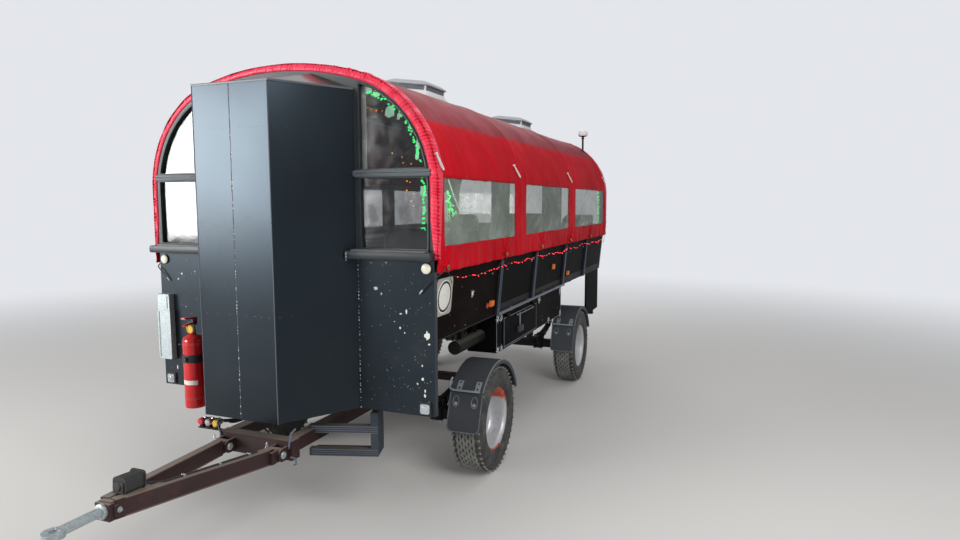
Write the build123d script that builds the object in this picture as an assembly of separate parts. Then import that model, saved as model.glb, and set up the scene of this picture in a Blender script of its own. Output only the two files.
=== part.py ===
from build123d import *
import math
import os

os.makedirs("parts", exist_ok=True)

# Covered passenger wagon, millimetres.
# X to the right of someone facing the wagon's front, Y from the front panel to the rear, Z up.
# Every sub-part is made with Y = 0 on the front panel and moved to the middle when it is written.

# Overall sizes
BODY_LENGTH = 5470.0
HALF_WIDTH = 1130.0
PANEL_BOTTOM = 795.0
DECK_TOP = 1330.0
DECK_THICKNESS = 40.0
SILL_Z = 1800.0
SHEET = 30.0
WALL = 40.0

# Tarpaulin arch
TARP_SIDE_OUT = 25.0
TARP_HALF = HALF_WIDTH + TARP_SIDE_OUT
TARP_TOP = 3065.0
ARCH_RISE = 815.0
SHOULDER_Z = TARP_TOP - ARCH_RISE
CORNER_RADIUS = 760.0
TARP_THICKNESS = 6.0
TARP_BOTTOM = 1715.0
TARP_OVERHANG = 8.0
TARP_GAP = 0.3
HEM_WIDTH = 50.0
WINDOW_LOW = 1880.0
WINDOW_HIGH = SHOULDER_Z + 60.0
SEAM_LOW = WINDOW_HIGH + 20.0
SEAM_HIGH = TARP_TOP - 370.0
CLEAR_THICKNESS = 2.0
# start and end of each clear window along the wagon
TARP_WINDOWS = [
    (100.0, 1510.0), (1820.0, BODY_LENGTH - 2115.0), (BODY_LENGTH - 1810.0, BODY_LENGTH - 180.0)]

# Hoops and purlins
TUBE = 40.0
HOOPS = [1665.0, BODY_LENGTH - 1963.0]
PURLIN_X = 560.0
WINDOW_RAIL_Z = SHOULDER_Z + 100.0
TUBE_GAP = 0.3

# Front bulkhead and its panes
FRAME_BORDER = 62.0
POST_WIDTH = 35.0
PANE_LOW = 1860.0
CROSSBAR_Z = SHOULDER_Z + 90.0
CROSSBAR_HEIGHT = 50.0
GLASS = 6.0
LEDGE_DEPTH = 75.0
LEDGE_HEIGHT = 45.0

# Wedge-shaped front cabin
CABIN_DEPTH = 477.0
CABIN_FRONT_HALF = 285.0
CABIN_BASE_HALF = 570.0
POST_X = CABIN_BASE_HALF + 5.0
CABIN_TOP = TARP_TOP - 185.0
CABIN_ROOF_RISE = 110.0
CABIN_RIDGE_HALF = 270.0
CABIN_WALL = 30.0
CABIN_SEAM = 1.0

# Chassis
RAIL_X = 450.0
RAIL_WIDTH = 80.0
RAIL_BOTTOM = 1130.0
RAIL_MARGIN = 60.0
CROSS_DEPTH = 100.0
CROSS_WIDTH = 80.0
OUTRIGGER_DEPTH = 60.0
CROSS_PLACES = [100.0, 700.0, 1450.0, 2450.0, 3400.0, 3900.0, 4500.0, BODY_LENGTH - 100.0]
SIDE_FOOT_X = HALF_WIDTH - 55.0
SIDE_RAIL_WIDTH = 30.0
SIDE_RAIL_DEPTH = 80.0
SIDE_THICKNESS = 25.0
SIDE_RAIL_BOTTOM = 1250.0
SIDE_TOP = 1830.0
TOP_RAIL_HEIGHT = 40.0

# Ribs on the leaning side walls
RIBS = [1260.0, 2230.0, BODY_LENGTH - 2110.0, BODY_LENGTH - 1070.0]
RIB_WIDTH = 40.0
RIB_DEPTH = 22.0
RIB_TOP = 1700.0

# Side lockers
LOCKER_OUTER_X = SIDE_FOOT_X - 15.0
LOCKER_INNER_X = LOCKER_OUTER_X - 260.0
LOCKER_START = 1323.0
LOCKER_BOTTOM = 920.0
LOCKER_WALL = 15.0
FLAP_START = 1500.0
FLAP_END = 2400.0
FLAP_LOW = 960.0
FLAP_HIGH = 1170.0
FLAP_LAP = 20.0
FLAP_THICKNESS = 10.0
FLAP_GAP = 0.5

# Wheels, axles and springs
TYRE_RADIUS = 420.0
TYRE_WIDTH = 248.0
TYRE_OUTER_X = HALF_WIDTH + 1.0
RIM_RADIUS = 255.0
RIM_SEAT = 247.0
RIM_WIDTH = 200.0
RIM_WALL = 12.0
DISC_THICKNESS = 16.0
DISC_INSET = 150.0
BARREL_TAPER = 14.0
HUB_RADIUS = 95.0
HUB_LENGTH = 72.0
CAP_RADIUS = 58.0
CAP_LENGTH = 40.0
SIDEWALL_BULGE = 14.0
SHOULDER_DROP = 18.0
SHOULDER_WIDTH = 34.0
BEAD_TURN = 60.0
WALL_TOP = 110.0
STUB_RADIUS = 35.0
RUNNING_GAP = 0.05
FRONT_AXLE_Y = 1187.0
REAR_AXLE_Y = BODY_LENGTH - 1331.0
LOCKER_END = REAR_AXLE_Y - 739.0
AXLE_SIZE = 90.0
AXLE_HALF = TYRE_OUTER_X - 291.0
SPRING_X = 600.0
SPRING_WIDTH = 70.0
SPRING_REACH = 430.0
SPRING_LEAF = 14.0
SPRING_LEAVES = 4
SPRING_RISE = 60.0

# Mudguards
GUARD_GAP = 45.0
GUARD_THICKNESS = 10.0
GUARD_FRONT_ANGLE = 40.0
GUARD_REAR_ANGLE = 20.0
GUARD_FLAP_Z = 430.0
GUARD_FLAP_OUT = 95.0
GUARD_STAY = 40.0

# Turntable and steered frame
RING_OUTER = 450.0
RING_INNER = 370.0
RING_HEIGHT = 45.0
RING_GAP = 0.3
SPIGOT_WALL = 40.0
BEAM_X = 240.0
BEAM_WIDTH = 80.0
BEAM_BOTTOM = 560.0
BEAM_HEIGHT = 86.0
BEAM_START = -300.0
BEAM_BEHIND_AXLE = 520.0
LEG_SPREAD = 300.0
CROSSBEAM_HALF = 290.0
CROSSBEAM_DEPTH = 80.0
CROSSBEAM_BOTTOM = 520.0

# Drawbar
PIVOT_Y = -412.0
PIVOT_Z = 575.0
PIVOT_X = 212.0
PIN_RADIUS = 15.0
EAR_THICKNESS = 14.0
EAR_GAP = 2.0
BOSS_RADIUS = 42.0
BOSS_WIDTH = 70.0
DRAWBAR_RISE = 3.5
BEAM_SECTION_HEIGHT = 100.0
BEAM_SECTION_WIDTH = 50.0
NOSE_Y = -1430.0
NOSE_HALF = 28.0
NOSE_DROP = 12.0
NOSE_LENGTH = 260.0
EYE_Y = -1720.0
EYE_BORE = 20.0
EYE_RADIUS = 50.0
EYE_THICKNESS = 30.0
SHANK_RADIUS = 25.0

# Rear
DOOR_HALF = 380.0
DOOR_TOP = TARP_TOP - 165.0
DOOR_GAP = 4.0
DOOR_THICKNESS = 36.0
REAR_PANE_INNER = 520.0
REAR_BORDER = 100.0
REAR_PANE_TOP = SHOULDER_Z + 310.0
BUMPER_HALF = HALF_WIDTH - 130.0
BUMPER_BOTTOM = 600.0
BUMPER_HEIGHT = 90.0
BUMPER_DEPTH = 60.0
SKIRT_START = BODY_LENGTH - 770.0
SKIRT_BOTTOM = 700.0
SKIRT_THICKNESS = 20.0
LADDER_HALF = 230.0
LADDER_FOOT = 360.0
LADDER_STILE = 40.0
LADDER_THICKNESS = 20.0
TREAD_DEPTH = 130.0
TREADS = [420.0, 690.0, 960.0]
LADDER_PIVOT_Z = 1200.0
LADDER_PIVOT_OUT = 35.0

# Small hinges
HINGE_PIN = 7.0
HINGE_BARREL = 13.0
HINGE_LUG = 10.0

# Rooflights
HATCH_X = 300.0
HATCHES = [1400.0, BODY_LENGTH - 1550.0]
HATCH_SIZE = 400.0
HATCH_FRAME = 360.0
HATCH_FRAME_WALL = 30.0
HATCH_FRAME_HEIGHT = 80.0
HATCH_LID = 46.0
HATCH_SINK = 30.0
HATCH_TUCK = 25.0
HATCH_CLEAR = 6.0

# Benches
BENCH_FRONT_X = 620.0
BENCH_BACK_X = SIDE_FOOT_X - 35.0
BENCH_START = 300.0
BENCH_END = BODY_LENGTH - 320.0
BENCH_GAP = 0.4
BENCH_SEAT_Z = 1790.0
BENCH_BOARD = 30.0
BENCH_SIDE = 20.0
BENCH_END_TOP = 1990.0
BENCH_END_ROUND = 100.0

# Fittings
BOTTLE_RADIUS = 72.0
BOTTLE_X = 385.0 - HALF_WIDTH
BOTTLE_BOTTOM = 690.0
BOTTLE_TOP = 1220.0
VALVE_TOP = 1350.0
BOTTLE_OFF = 28.0
REFLECTOR_RADIUS = 45.0
REFLECTOR_X = HALF_WIDTH - 52.0
REFLECTOR_Z = 1744.0
FRONT_LAMP_X = HALF_WIDTH - 68.0
FRONT_LAMP_Z = 845.0
FRONT_LAMP_SIZE = 80.0
LAMP_DEPTH = 25.0
HOLDER_X = 60.0 - HALF_WIDTH
HOLDER_WIDTH = 110.0
HOLDER_LOW = 1000.0
HOLDER_HIGH = 1486.0
HOLDER_DEPTH = 45.0
PLATE_SIZE = 250.0
PLATE_Y = 195.0
PLATE_Z = 1545.0
PLATE_THICKNESS = 8.0
BEACON_X = HALF_WIDTH - 280.0
BEACON_Y = BODY_LENGTH - 130.0
BEACON_TOP = TARP_TOP + 73.0
BEACON_RADIUS = 55.0
STEM_RADIUS = 15.0

# Overall reach, which sets the middle of the whole wagon
NOSE_REACH = EYE_Y - EYE_RADIUS
TAIL_REACH = BODY_LENGTH + LADDER_PIVOT_OUT + TREAD_DEPTH / 2
MIDDLE_Y = (NOSE_REACH + TAIL_REACH) / 2


def block(x0, x1, y0, y1, z0, z1):
    """A box between two corners."""
    centre = Pos((x0 + x1) / 2, (y0 + y1) / 2, (z0 + z1) / 2)
    return centre * Box(abs(x1 - x0), abs(y1 - y0), abs(z1 - z0))


def rod(start, end, radius):
    """A round bar between two points."""
    a, b = Vector(*start), Vector(*end)
    plane = Plane(origin=a, z_dir=(b - a).normalized())
    return extrude(plane * Circle(radius), (b - a).length)


def both(*solids):
    """Solids of the right side with their mirror images on the left."""
    made = []
    for solid in solids:
        made += [solid, mirror(solid, about=Plane.YZ)]
    return made


def save(name, *pieces):
    """Moves pieces to the shared frame and writes them as one sub-part."""
    solids = []
    for piece in pieces:
        solids += list(piece.solids())
    moved = [Pos(0, -MIDDLE_Y, 0) * solid for solid in solids]
    export_step(Compound(children=moved), f"parts/{name}.step")


# Arch of the tarpaulin: upright sides, two corner arcs and a crown arc, tangent to each other
CORNER_X = TARP_HALF - CORNER_RADIUS
CROWN_RISE = TARP_TOP - SHOULDER_Z - CORNER_RADIUS
CORNER_SWEEP = math.pi / 2 - 2 * math.atan(CROWN_RISE / CORNER_X)
CENTRE_OFFSET = CORNER_X / math.cos(CORNER_SWEEP)
CROWN_RADIUS = CORNER_RADIUS + CENTRE_OFFSET
CROWN_Z = SHOULDER_Z - CENTRE_OFFSET * math.sin(CORNER_SWEEP)


def arch_point(inset, angle, corner):
    """A point on the arch, inset from the outside, at an angle on a corner or crown arc."""
    centre_x, centre_z, radius = (CORNER_X, SHOULDER_Z, CORNER_RADIUS) if corner else (0, CROWN_Z, CROWN_RADIUS)
    return centre_x + (radius - inset) * math.cos(angle), centre_z + (radius - inset) * math.sin(angle)


def arch(inset, base, y0, y1):
    """The arch filled down to a base height, between two places along the wagon."""
    foot = (TARP_HALF - inset, base)
    shoulder = (TARP_HALF - inset, SHOULDER_Z)
    middle = arch_point(inset, CORNER_SWEEP / 2, True)
    join = arch_point(inset, CORNER_SWEEP, True)
    crown = (0, TARP_TOP - inset)

    def right(p):
        return (p[0], y0, p[1])

    def left(p):
        return (-p[0], y0, p[1])

    edges = [
        Line(left(foot), right(foot)),
        Line(right(foot), right(shoulder)),
        ThreePointArc(right(shoulder), right(middle), right(join)),
        ThreePointArc(right(join), right(crown), left(join)),
        ThreePointArc(left(join), left(middle), left(shoulder)),
        Line(left(shoulder), left(foot)),
    ]
    return extrude(make_face(edges), y1 - y0, dir=(0, 1, 0))


def arch_band(outer, inner, base, y0, y1):
    """The arch between two insets, open below."""
    return arch(outer, base, y0, y1) - arch(inner, base - 1, y0, y1)


def roof_height(x):
    """Height of the tarpaulin's outside at a distance from the middle, on the crown or a corner arc."""
    if x > CROWN_RADIUS * math.cos(CORNER_SWEEP):
        return SHOULDER_Z + math.sqrt(CORNER_RADIUS ** 2 - (x - CORNER_X) ** 2)
    return CROWN_Z + math.sqrt(CROWN_RADIUS ** 2 - x ** 2)


def side_x(z):
    """Outer face of the leaning side wall at a height."""
    share = (z - SIDE_RAIL_BOTTOM) / (SIDE_TOP - SIDE_RAIL_BOTTOM)
    return SIDE_FOOT_X + share * (HALF_WIDTH - SIDE_FOOT_X)


def leaning(out0, out1, y0, y1, z0, z1):
    """A slab that follows the leaning side wall, from out0 to out1 outside its face."""
    outline = Polyline(
        (side_x(z0) + out0, y0, z0), (side_x(z0) + out1, y0, z0),
        (side_x(z1) + out1, y0, z1), (side_x(z1) + out0, y0, z1), close=True)
    return extrude(make_face(outline), y1 - y0, dir=(0, 1, 0))


# Chassis
DECK_BOTTOM = DECK_TOP - DECK_THICKNESS
RAIL_SIDE = RAIL_X + RAIL_WIDTH / 2
RAIL_INSIDE = RAIL_X - RAIL_WIDTH / 2
SIDE_INSIDE = SIDE_FOOT_X - SIDE_RAIL_WIDTH

main_rail = block(RAIL_INSIDE, RAIL_SIDE, RAIL_MARGIN, BODY_LENGTH - RAIL_MARGIN, RAIL_BOTTOM, DECK_BOTTOM)
side_rail = block(
    SIDE_INSIDE, SIDE_FOOT_X, WALL, BODY_LENGTH - WALL, SIDE_RAIL_BOTTOM, SIDE_RAIL_BOTTOM + SIDE_RAIL_DEPTH)
save("chassis_rails", *both(main_rail, side_rail))

cross_members = []
for place in CROSS_PLACES:
    near, far = place - CROSS_WIDTH / 2, place + CROSS_WIDTH / 2
    cross_members.append(block(-RAIL_INSIDE, RAIL_INSIDE, near, far, DECK_BOTTOM - CROSS_DEPTH, DECK_BOTTOM))
    cross_members += both(block(RAIL_SIDE, SIDE_INSIDE, near, far, DECK_BOTTOM - OUTRIGGER_DEPTH, DECK_BOTTOM))
save("cross_members", *cross_members)

save("deck", block(-SIDE_INSIDE, SIDE_INSIDE, WALL, BODY_LENGTH - WALL, DECK_BOTTOM, DECK_TOP))

# Front panels, bulkhead and panes
CABIN_SLOPE = (CABIN_BASE_HALF - CABIN_FRONT_HALF) / CABIN_DEPTH
CABIN_SKEW = math.sqrt(1 + CABIN_SLOPE ** 2)


def wedge(inset, front_inset, back, z0, z1):
    """The cabin's plan shape, inset from its sides and front, between two heights."""
    front = -CABIN_DEPTH + front_inset

    def half(y):
        return CABIN_BASE_HALF + CABIN_SLOPE * y - inset * CABIN_SKEW

    outline = Polyline(
        (-half(front), front, z0), (half(front), front, z0), (half(back), back, z0), (-half(back), back, z0),
        close=True)
    return extrude(make_face(outline), z1 - z0, dir=(0, 0, 1))


save("front_panels", *both(block(CABIN_BASE_HALF, HALF_WIDTH, 0, WALL, PANEL_BOTTOM, SILL_Z)))

FRAME_INSET = TARP_THICKNESS + TARP_GAP
PANE_INNER = POST_X + POST_WIDTH


def pane_space(y0, y1):
    """The right side's two panes as solids, lower and upper."""
    inside = arch(FRAME_BORDER, PANE_LOW, y0, y1)
    lower_top = CROSSBAR_Z - CROSSBAR_HEIGHT / 2
    lower = inside & block(PANE_INNER, TARP_HALF, y0, y1, PANE_LOW, lower_top)
    upper = inside & block(PANE_INNER, TARP_HALF, y0, y1, lower_top + CROSSBAR_HEIGHT, TARP_TOP)
    return [lower, upper]


bulkhead = arch(FRAME_INSET, SILL_Z, 0, WALL)
bulkhead -= block(-POST_X + POST_WIDTH, POST_X - POST_WIDTH, -1, WALL + 1, SILL_Z - 1, CABIN_TOP - WALL)
for space in pane_space(-1, WALL + 1):
    for cut in both(space):
        bulkhead -= cut
front_ledge = block(0, HALF_WIDTH, -LEDGE_DEPTH, 0, SILL_Z, SILL_Z + LEDGE_HEIGHT)
front_ledge -= wedge(0, -LEDGE_DEPTH, 1, SILL_Z - 1, SILL_Z + LEDGE_HEIGHT + 1)
front_ledge = front_ledge.solids().sort_by(Axis.X)[-1]
for ledge in both(front_ledge):
    bulkhead += ledge
save("front_bulkhead", bulkhead)

front_panes = both(*pane_space((WALL - GLASS) / 2, (WALL + GLASS) / 2))

# Front cabin
cabin_shell = wedge(0, 0, 0, PANEL_BOTTOM, CABIN_TOP)
cabin_shell -= wedge(CABIN_WALL, CABIN_WALL, 1, PANEL_BOTTOM - 1, CABIN_TOP + 1)
seam = block(-CABIN_SEAM / 2, CABIN_SEAM / 2, -CABIN_DEPTH - 1, 0, PANEL_BOTTOM - 1, CABIN_TOP + 1)
save("cabin_walls", cabin_shell - seam)

cabin_base = wedge(CABIN_WALL, CABIN_WALL, 0, PANEL_BOTTOM, PANEL_BOTTOM + SHEET)
cabin_base += wedge(CABIN_WALL, CABIN_WALL, 0, DECK_BOTTOM, DECK_TOP)
cabin_base += block(-CABIN_BASE_HALF, CABIN_BASE_HALF, 0, SHEET, PANEL_BOTTOM, DECK_TOP)
save("cabin_base", cabin_base)

roof_low = Polyline(
    (-CABIN_FRONT_HALF, -CABIN_DEPTH, CABIN_TOP), (CABIN_FRONT_HALF, -CABIN_DEPTH, CABIN_TOP),
    (CABIN_BASE_HALF, 0, CABIN_TOP), (-CABIN_BASE_HALF, 0, CABIN_TOP), close=True)
RIDGE_Z = CABIN_TOP + CABIN_ROOF_RISE
RIDGE_DEPTH = 12.0
roof_high = Polyline(
    (-CABIN_RIDGE_HALF, -RIDGE_DEPTH, RIDGE_Z), (CABIN_RIDGE_HALF, -RIDGE_DEPTH, RIDGE_Z),
    (CABIN_RIDGE_HALF, 0, RIDGE_Z), (-CABIN_RIDGE_HALF, 0, RIDGE_Z), close=True)
cabin_roof = loft([make_face(roof_low), make_face(roof_high)], ruled=True)
cabin_roof -= arch_band(-TARP_GAP, HEM_WIDTH + TARP_GAP, SILL_Z, -TARP_OVERHANG - TARP_GAP, 1)
save("cabin_roof", cabin_roof)

# Side walls and ribs
side_wall = leaning(
    -SIDE_THICKNESS, 0, WALL, BODY_LENGTH - WALL, SIDE_RAIL_BOTTOM + SIDE_RAIL_DEPTH, SIDE_TOP)
save("side_walls", *both(side_wall))
ribs = [
    leaning(0, RIB_DEPTH, place - RIB_WIDTH / 2, place + RIB_WIDTH / 2, SIDE_RAIL_BOTTOM, RIB_TOP) for place in RIBS]
save("side_ribs", *both(*ribs))

# Hoops, purlins and rails that carry the tarpaulin
FRAME_FRONT = WALL
FRAME_BACK = BODY_LENGTH - WALL


def purlin(angle, corner, gap):
    """A square tube along the roof under the arch, turned to lie flat on it, or the cut it needs in a hoop."""
    radius = CORNER_RADIUS if corner else CROWN_RADIUS
    drop = TUBE ** 2 / (8 * (radius - FRAME_INSET - TUBE))
    x, z = arch_point(FRAME_INSET + TUBE / 2 + drop, angle, corner)
    tube = Box(TUBE * (2 if gap else 1), FRAME_BACK - FRAME_FRONT, TUBE + 2 * gap)
    return Pos(x, (FRAME_FRONT + FRAME_BACK) / 2, z) * Rot(0, -math.degrees(angle), 0) * tube


top_rail = block(
    HALF_WIDTH - SIDE_THICKNESS, TARP_HALF - FRAME_INSET, FRAME_FRONT, FRAME_BACK,
    SIDE_TOP, SIDE_TOP + TOP_RAIL_HEIGHT)
shoulder_angle = math.acos(PURLIN_X / CROWN_RADIUS)
rail_angle = math.asin((WINDOW_RAIL_Z - SHOULDER_Z) / CORNER_RADIUS)
purlins = both(purlin(shoulder_angle, False, 0), purlin(rail_angle, True, 0)) + [purlin(math.pi / 2, False, 0)]
save("purlins", *purlins, *both(top_rail))

hoops = []
cuts = both(purlin(shoulder_angle, False, TUBE_GAP), purlin(rail_angle, True, TUBE_GAP)) + [
    purlin(math.pi / 2, False, TUBE_GAP)]
for place in HOOPS:
    hoop = arch_band(
        FRAME_INSET, FRAME_INSET + TUBE, SIDE_TOP + TOP_RAIL_HEIGHT, place - TUBE / 2, place + TUBE / 2)
    for cut in cuts:
        hoop -= cut
    hoops.append(hoop)
save("hoops", *hoops)

# Tarpaulin: upright sides with clear windows, haunches and roof between its seams, and hems at both ends
SEAM_GAP = 0.4
sheet = arch_band(0, TARP_THICKNESS, TARP_BOTTOM, -TARP_OVERHANG, BODY_LENGTH + TARP_OVERHANG)
SHEET_ENDS = (-TARP_OVERHANG - 1, BODY_LENGTH + TARP_OVERHANG + 1)
tarp_side = sheet & block(0, TARP_HALF + 1, *SHEET_ENDS, TARP_BOTTOM, SEAM_LOW - SEAM_GAP / 2)
haunch = sheet & block(0, TARP_HALF + 1, *SHEET_ENDS, SEAM_LOW + SEAM_GAP / 2, SEAM_HIGH - SEAM_GAP / 2)
tarp_roof = sheet & block(-TARP_HALF, TARP_HALF, *SHEET_ENDS, SEAM_HIGH + SEAM_GAP / 2, TARP_TOP + 1)
clear_sheet = arch_band(
    (TARP_THICKNESS - CLEAR_THICKNESS) / 2, (TARP_THICKNESS + CLEAR_THICKNESS) / 2, WINDOW_LOW, 0, BODY_LENGTH)
clear_windows = []
for start, end in TARP_WINDOWS:
    opening = block(TARP_HALF / 2, TARP_HALF + 1, start, end, WINDOW_LOW, WINDOW_HIGH)
    tarp_side -= opening
    clear_windows.append(clear_sheet & opening)
save("tarp_windows", *both(*clear_windows))
save("tarp_sides", *both(tarp_side))

hem_base = SILL_Z + LEDGE_HEIGHT + TARP_GAP
hem_outer = TARP_THICKNESS + TARP_GAP
save(
    "tarp_hems", arch_band(hem_outer, HEM_WIDTH, hem_base, -TARP_OVERHANG, -TARP_GAP),
    arch_band(hem_outer, HEM_WIDTH, hem_base, BODY_LENGTH + TARP_GAP, BODY_LENGTH + TARP_OVERHANG))

# Rooflights
HATCH_TILT = math.degrees(math.asin(HATCH_X / CROWN_RADIUS))


def on_roof(y):
    """Place on the roof's outside over the hatch line, tilted with the roof."""
    return Pos(HATCH_X, y, roof_height(HATCH_X)) * Rot(0, HATCH_TILT, 0)


hatch_frames = []
for place in HATCHES:
    ring_height = HATCH_FRAME_HEIGHT + HATCH_SINK
    middle_z = (HATCH_FRAME_HEIGHT - HATCH_SINK) / 2
    outside = Box(HATCH_FRAME, HATCH_FRAME, ring_height)
    hole = Box(HATCH_FRAME - 2 * HATCH_FRAME_WALL, HATCH_FRAME - 2 * HATCH_FRAME_WALL, ring_height + 2)
    hatch_frames.append(on_roof(place) * Pos(0, 0, middle_z) * (outside - hole))
    tarp_roof -= on_roof(place) * Pos(0, 0, middle_z) * Box(
        HATCH_FRAME + TARP_GAP, HATCH_FRAME + TARP_GAP, ring_height)
save("tarp_roof", tarp_roof, *both(haunch))

LID_LOW = HATCH_FRAME_HEIGHT + RING_GAP
HINGE_RISE = LID_LOW + HINGE_BARREL
BARREL_LENGTH = 80.0
LUG_SPAN = BARREL_LENGTH + 2 * HINGE_LUG


def hinge_pin(length):
    """A hinge pin along Y, centred on the origin, long enough for its two lugs."""
    return rod((0, -length / 2 - HINGE_LUG, 0), (0, length / 2 + HINGE_LUG, 0), HINGE_PIN)


def hinge_barrel(length):
    """The barrel that turns on a pin along Y, still without its bore."""
    return rod((0, -length / 2 + RING_GAP, 0), (0, length / 2 - RING_GAP, 0), HINGE_BARREL)


def hinge_bore(length):
    """The space a pin along Y needs in a barrel."""
    return rod((0, -length, 0), (0, length, 0), HINGE_PIN + RUNNING_GAP)


HATCH_HINGE_X = -HATCH_SIZE / 2 - HINGE_BARREL
hatch_hinge = Pos(HATCH_HINGE_X, 0, HINGE_RISE)
LID_EDGE = 12.0
LID_TOP_SIZE = 290.0
hatch_lid = Pos(0, 0, LID_LOW + LID_EDGE / 2) * Box(HATCH_SIZE, HATCH_SIZE, LID_EDGE)
hatch_lid += loft([
    Pos(0, 0, LID_LOW + LID_EDGE) * Rectangle(HATCH_SIZE, HATCH_SIZE),
    Pos(0, 0, LID_LOW + HATCH_LID) * Rectangle(LID_TOP_SIZE, LID_TOP_SIZE)], ruled=True)
hatch_lid += block(
    HATCH_HINGE_X, -HATCH_SIZE / 2 + 1, -BARREL_LENGTH / 2 + RING_GAP, BARREL_LENGTH / 2 - RING_GAP,
    HINGE_RISE - HINGE_LUG / 2, HINGE_RISE + HINGE_LUG / 2)
hatch_lid += hatch_hinge * hinge_barrel(BARREL_LENGTH)
hatch_lid -= hatch_hinge * hinge_bore(BARREL_LENGTH)
hatch_lugs = hatch_hinge * hinge_pin(BARREL_LENGTH)
for side in (-1, 1):
    lug_in, lug_out = side * BARREL_LENGTH / 2, side * LUG_SPAN / 2
    hatch_lugs += block(
        HATCH_HINGE_X - HINGE_PIN, -HATCH_FRAME / 2, lug_in, lug_out, HATCH_TUCK, LID_LOW - HATCH_CLEAR)
    hatch_lugs += block(
        HATCH_HINGE_X - HINGE_PIN, HATCH_HINGE_X + HINGE_PIN, lug_in, lug_out, HATCH_TUCK, HINGE_RISE + HINGE_PIN)
for number, place in enumerate(HATCHES):
    save(f"hatch_lid_{number + 1}", on_roof(place) * hatch_lid)
    hatch_frames[number] += on_roof(place) * hatch_lugs
save("hatch_frames", *hatch_frames)

# Rear wall, panes and door
REAR_Y = BODY_LENGTH - WALL
rear_wall = arch(FRAME_INSET, SILL_Z, REAR_Y, BODY_LENGTH)
rear_low = Polyline(
    (-SIDE_FOOT_X, REAR_Y, SIDE_RAIL_BOTTOM), (SIDE_FOOT_X, REAR_Y, SIDE_RAIL_BOTTOM),
    (HALF_WIDTH, REAR_Y, SILL_Z), (-HALF_WIDTH, REAR_Y, SILL_Z), close=True)
rear_wall += extrude(make_face(rear_low), WALL, dir=(0, 1, 0))
rear_wall -= block(-DOOR_HALF, DOOR_HALF, REAR_Y - 1, BODY_LENGTH + 1, DECK_TOP, DOOR_TOP)


def rear_pane(y0, y1):
    """The right rear pane as a solid."""
    inside = arch(REAR_BORDER, PANE_LOW, y0, y1)
    return inside & block(REAR_PANE_INNER, TARP_HALF, y0, y1, PANE_LOW, REAR_PANE_TOP)


for cut in both(rear_pane(REAR_Y - 1, BODY_LENGTH + 1)):
    rear_wall -= cut
PANE_MIDDLE = REAR_Y + WALL / 2
rear_panes = both(rear_pane(PANE_MIDDLE - GLASS / 2, PANE_MIDDLE + GLASS / 2))
save("end_panes", *front_panes, *rear_panes)

DOOR_PANE_HALF = 250.0
DOOR_PANE_TOP = DOOR_TOP - 160.0
DOOR_PANE_LOW = DOOR_PANE_TOP - 740.0
DOOR_HINGE_X = -DOOR_HALF - HINGE_PIN
DOOR_HINGE_Y = BODY_LENGTH + HINGE_BARREL + RING_GAP
LOW_HINGE_Z = DECK_TOP + 170.0
TOP_HINGE_Z = DOOR_TOP - 200.0
DOOR_HINGES = [LOW_HINGE_Z, (LOW_HINGE_Z + TOP_HINGE_Z) / 2, TOP_HINGE_Z]
STRAP_LENGTH = 120.0
STRAP_THICKNESS = 8.0
door = block(
    -DOOR_HALF + DOOR_GAP, DOOR_HALF - DOOR_GAP, BODY_LENGTH - DOOR_THICKNESS, BODY_LENGTH,
    DECK_TOP + DOOR_GAP, DOOR_TOP - DOOR_GAP)
door -= block(-DOOR_PANE_HALF, DOOR_PANE_HALF, REAR_Y, BODY_LENGTH + 1, DOOR_PANE_LOW, DOOR_PANE_TOP)
for height in DOOR_HINGES:
    spot = Pos(DOOR_HINGE_X, DOOR_HINGE_Y, height) * Rot(90, 0, 0)
    strap_low, strap_high = height - BARREL_LENGTH / 2 + RING_GAP, height + BARREL_LENGTH / 2 - RING_GAP
    door += block(
        -DOOR_HALF + DOOR_GAP, DOOR_HINGE_X + STRAP_LENGTH, BODY_LENGTH, BODY_LENGTH + STRAP_THICKNESS,
        strap_low, strap_high)
    door += block(
        DOOR_HINGE_X, DOOR_HINGE_X + HINGE_BARREL + DOOR_GAP, BODY_LENGTH + RING_GAP, DOOR_HINGE_Y,
        strap_low, strap_high)
    door += spot * hinge_barrel(BARREL_LENGTH)
    door -= spot * hinge_bore(BARREL_LENGTH)
    rear_wall += spot * hinge_pin(BARREL_LENGTH)
    for side in (-1, 1):
        lug_in, lug_out = height + side * BARREL_LENGTH / 2, height + side * LUG_SPAN / 2
        rear_wall += block(
            DOOR_HINGE_X - HINGE_BARREL, DOOR_HINGE_X + HINGE_PIN, BODY_LENGTH, DOOR_HINGE_Y + HINGE_PIN,
            lug_in, lug_out)
save("rear_wall", rear_wall)
HANDLE_Z = 1950.0
HANDLE_X = DOOR_HALF - 60
HANDLE_OUT = 45.0
HANDLE_HALF = 80.0
HANDLE_FOOT = 60.0
for side in (-1, 1):
    foot_z = HANDLE_Z + side * HANDLE_FOOT
    door += rod((HANDLE_X, BODY_LENGTH, foot_z), (HANDLE_X, BODY_LENGTH + HANDLE_OUT, foot_z), 8)
door += rod(
    (HANDLE_X, BODY_LENGTH + HANDLE_OUT, HANDLE_Z - HANDLE_HALF),
    (HANDLE_X, BODY_LENGTH + HANDLE_OUT, HANDLE_Z + HANDLE_HALF), 10)
save("door_leaf", door)
save("door_pane", block(
    -DOOR_PANE_HALF, DOOR_PANE_HALF, PANE_MIDDLE - GLASS / 2, PANE_MIDDLE + GLASS / 2, DOOR_PANE_LOW, DOOR_PANE_TOP))

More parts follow.
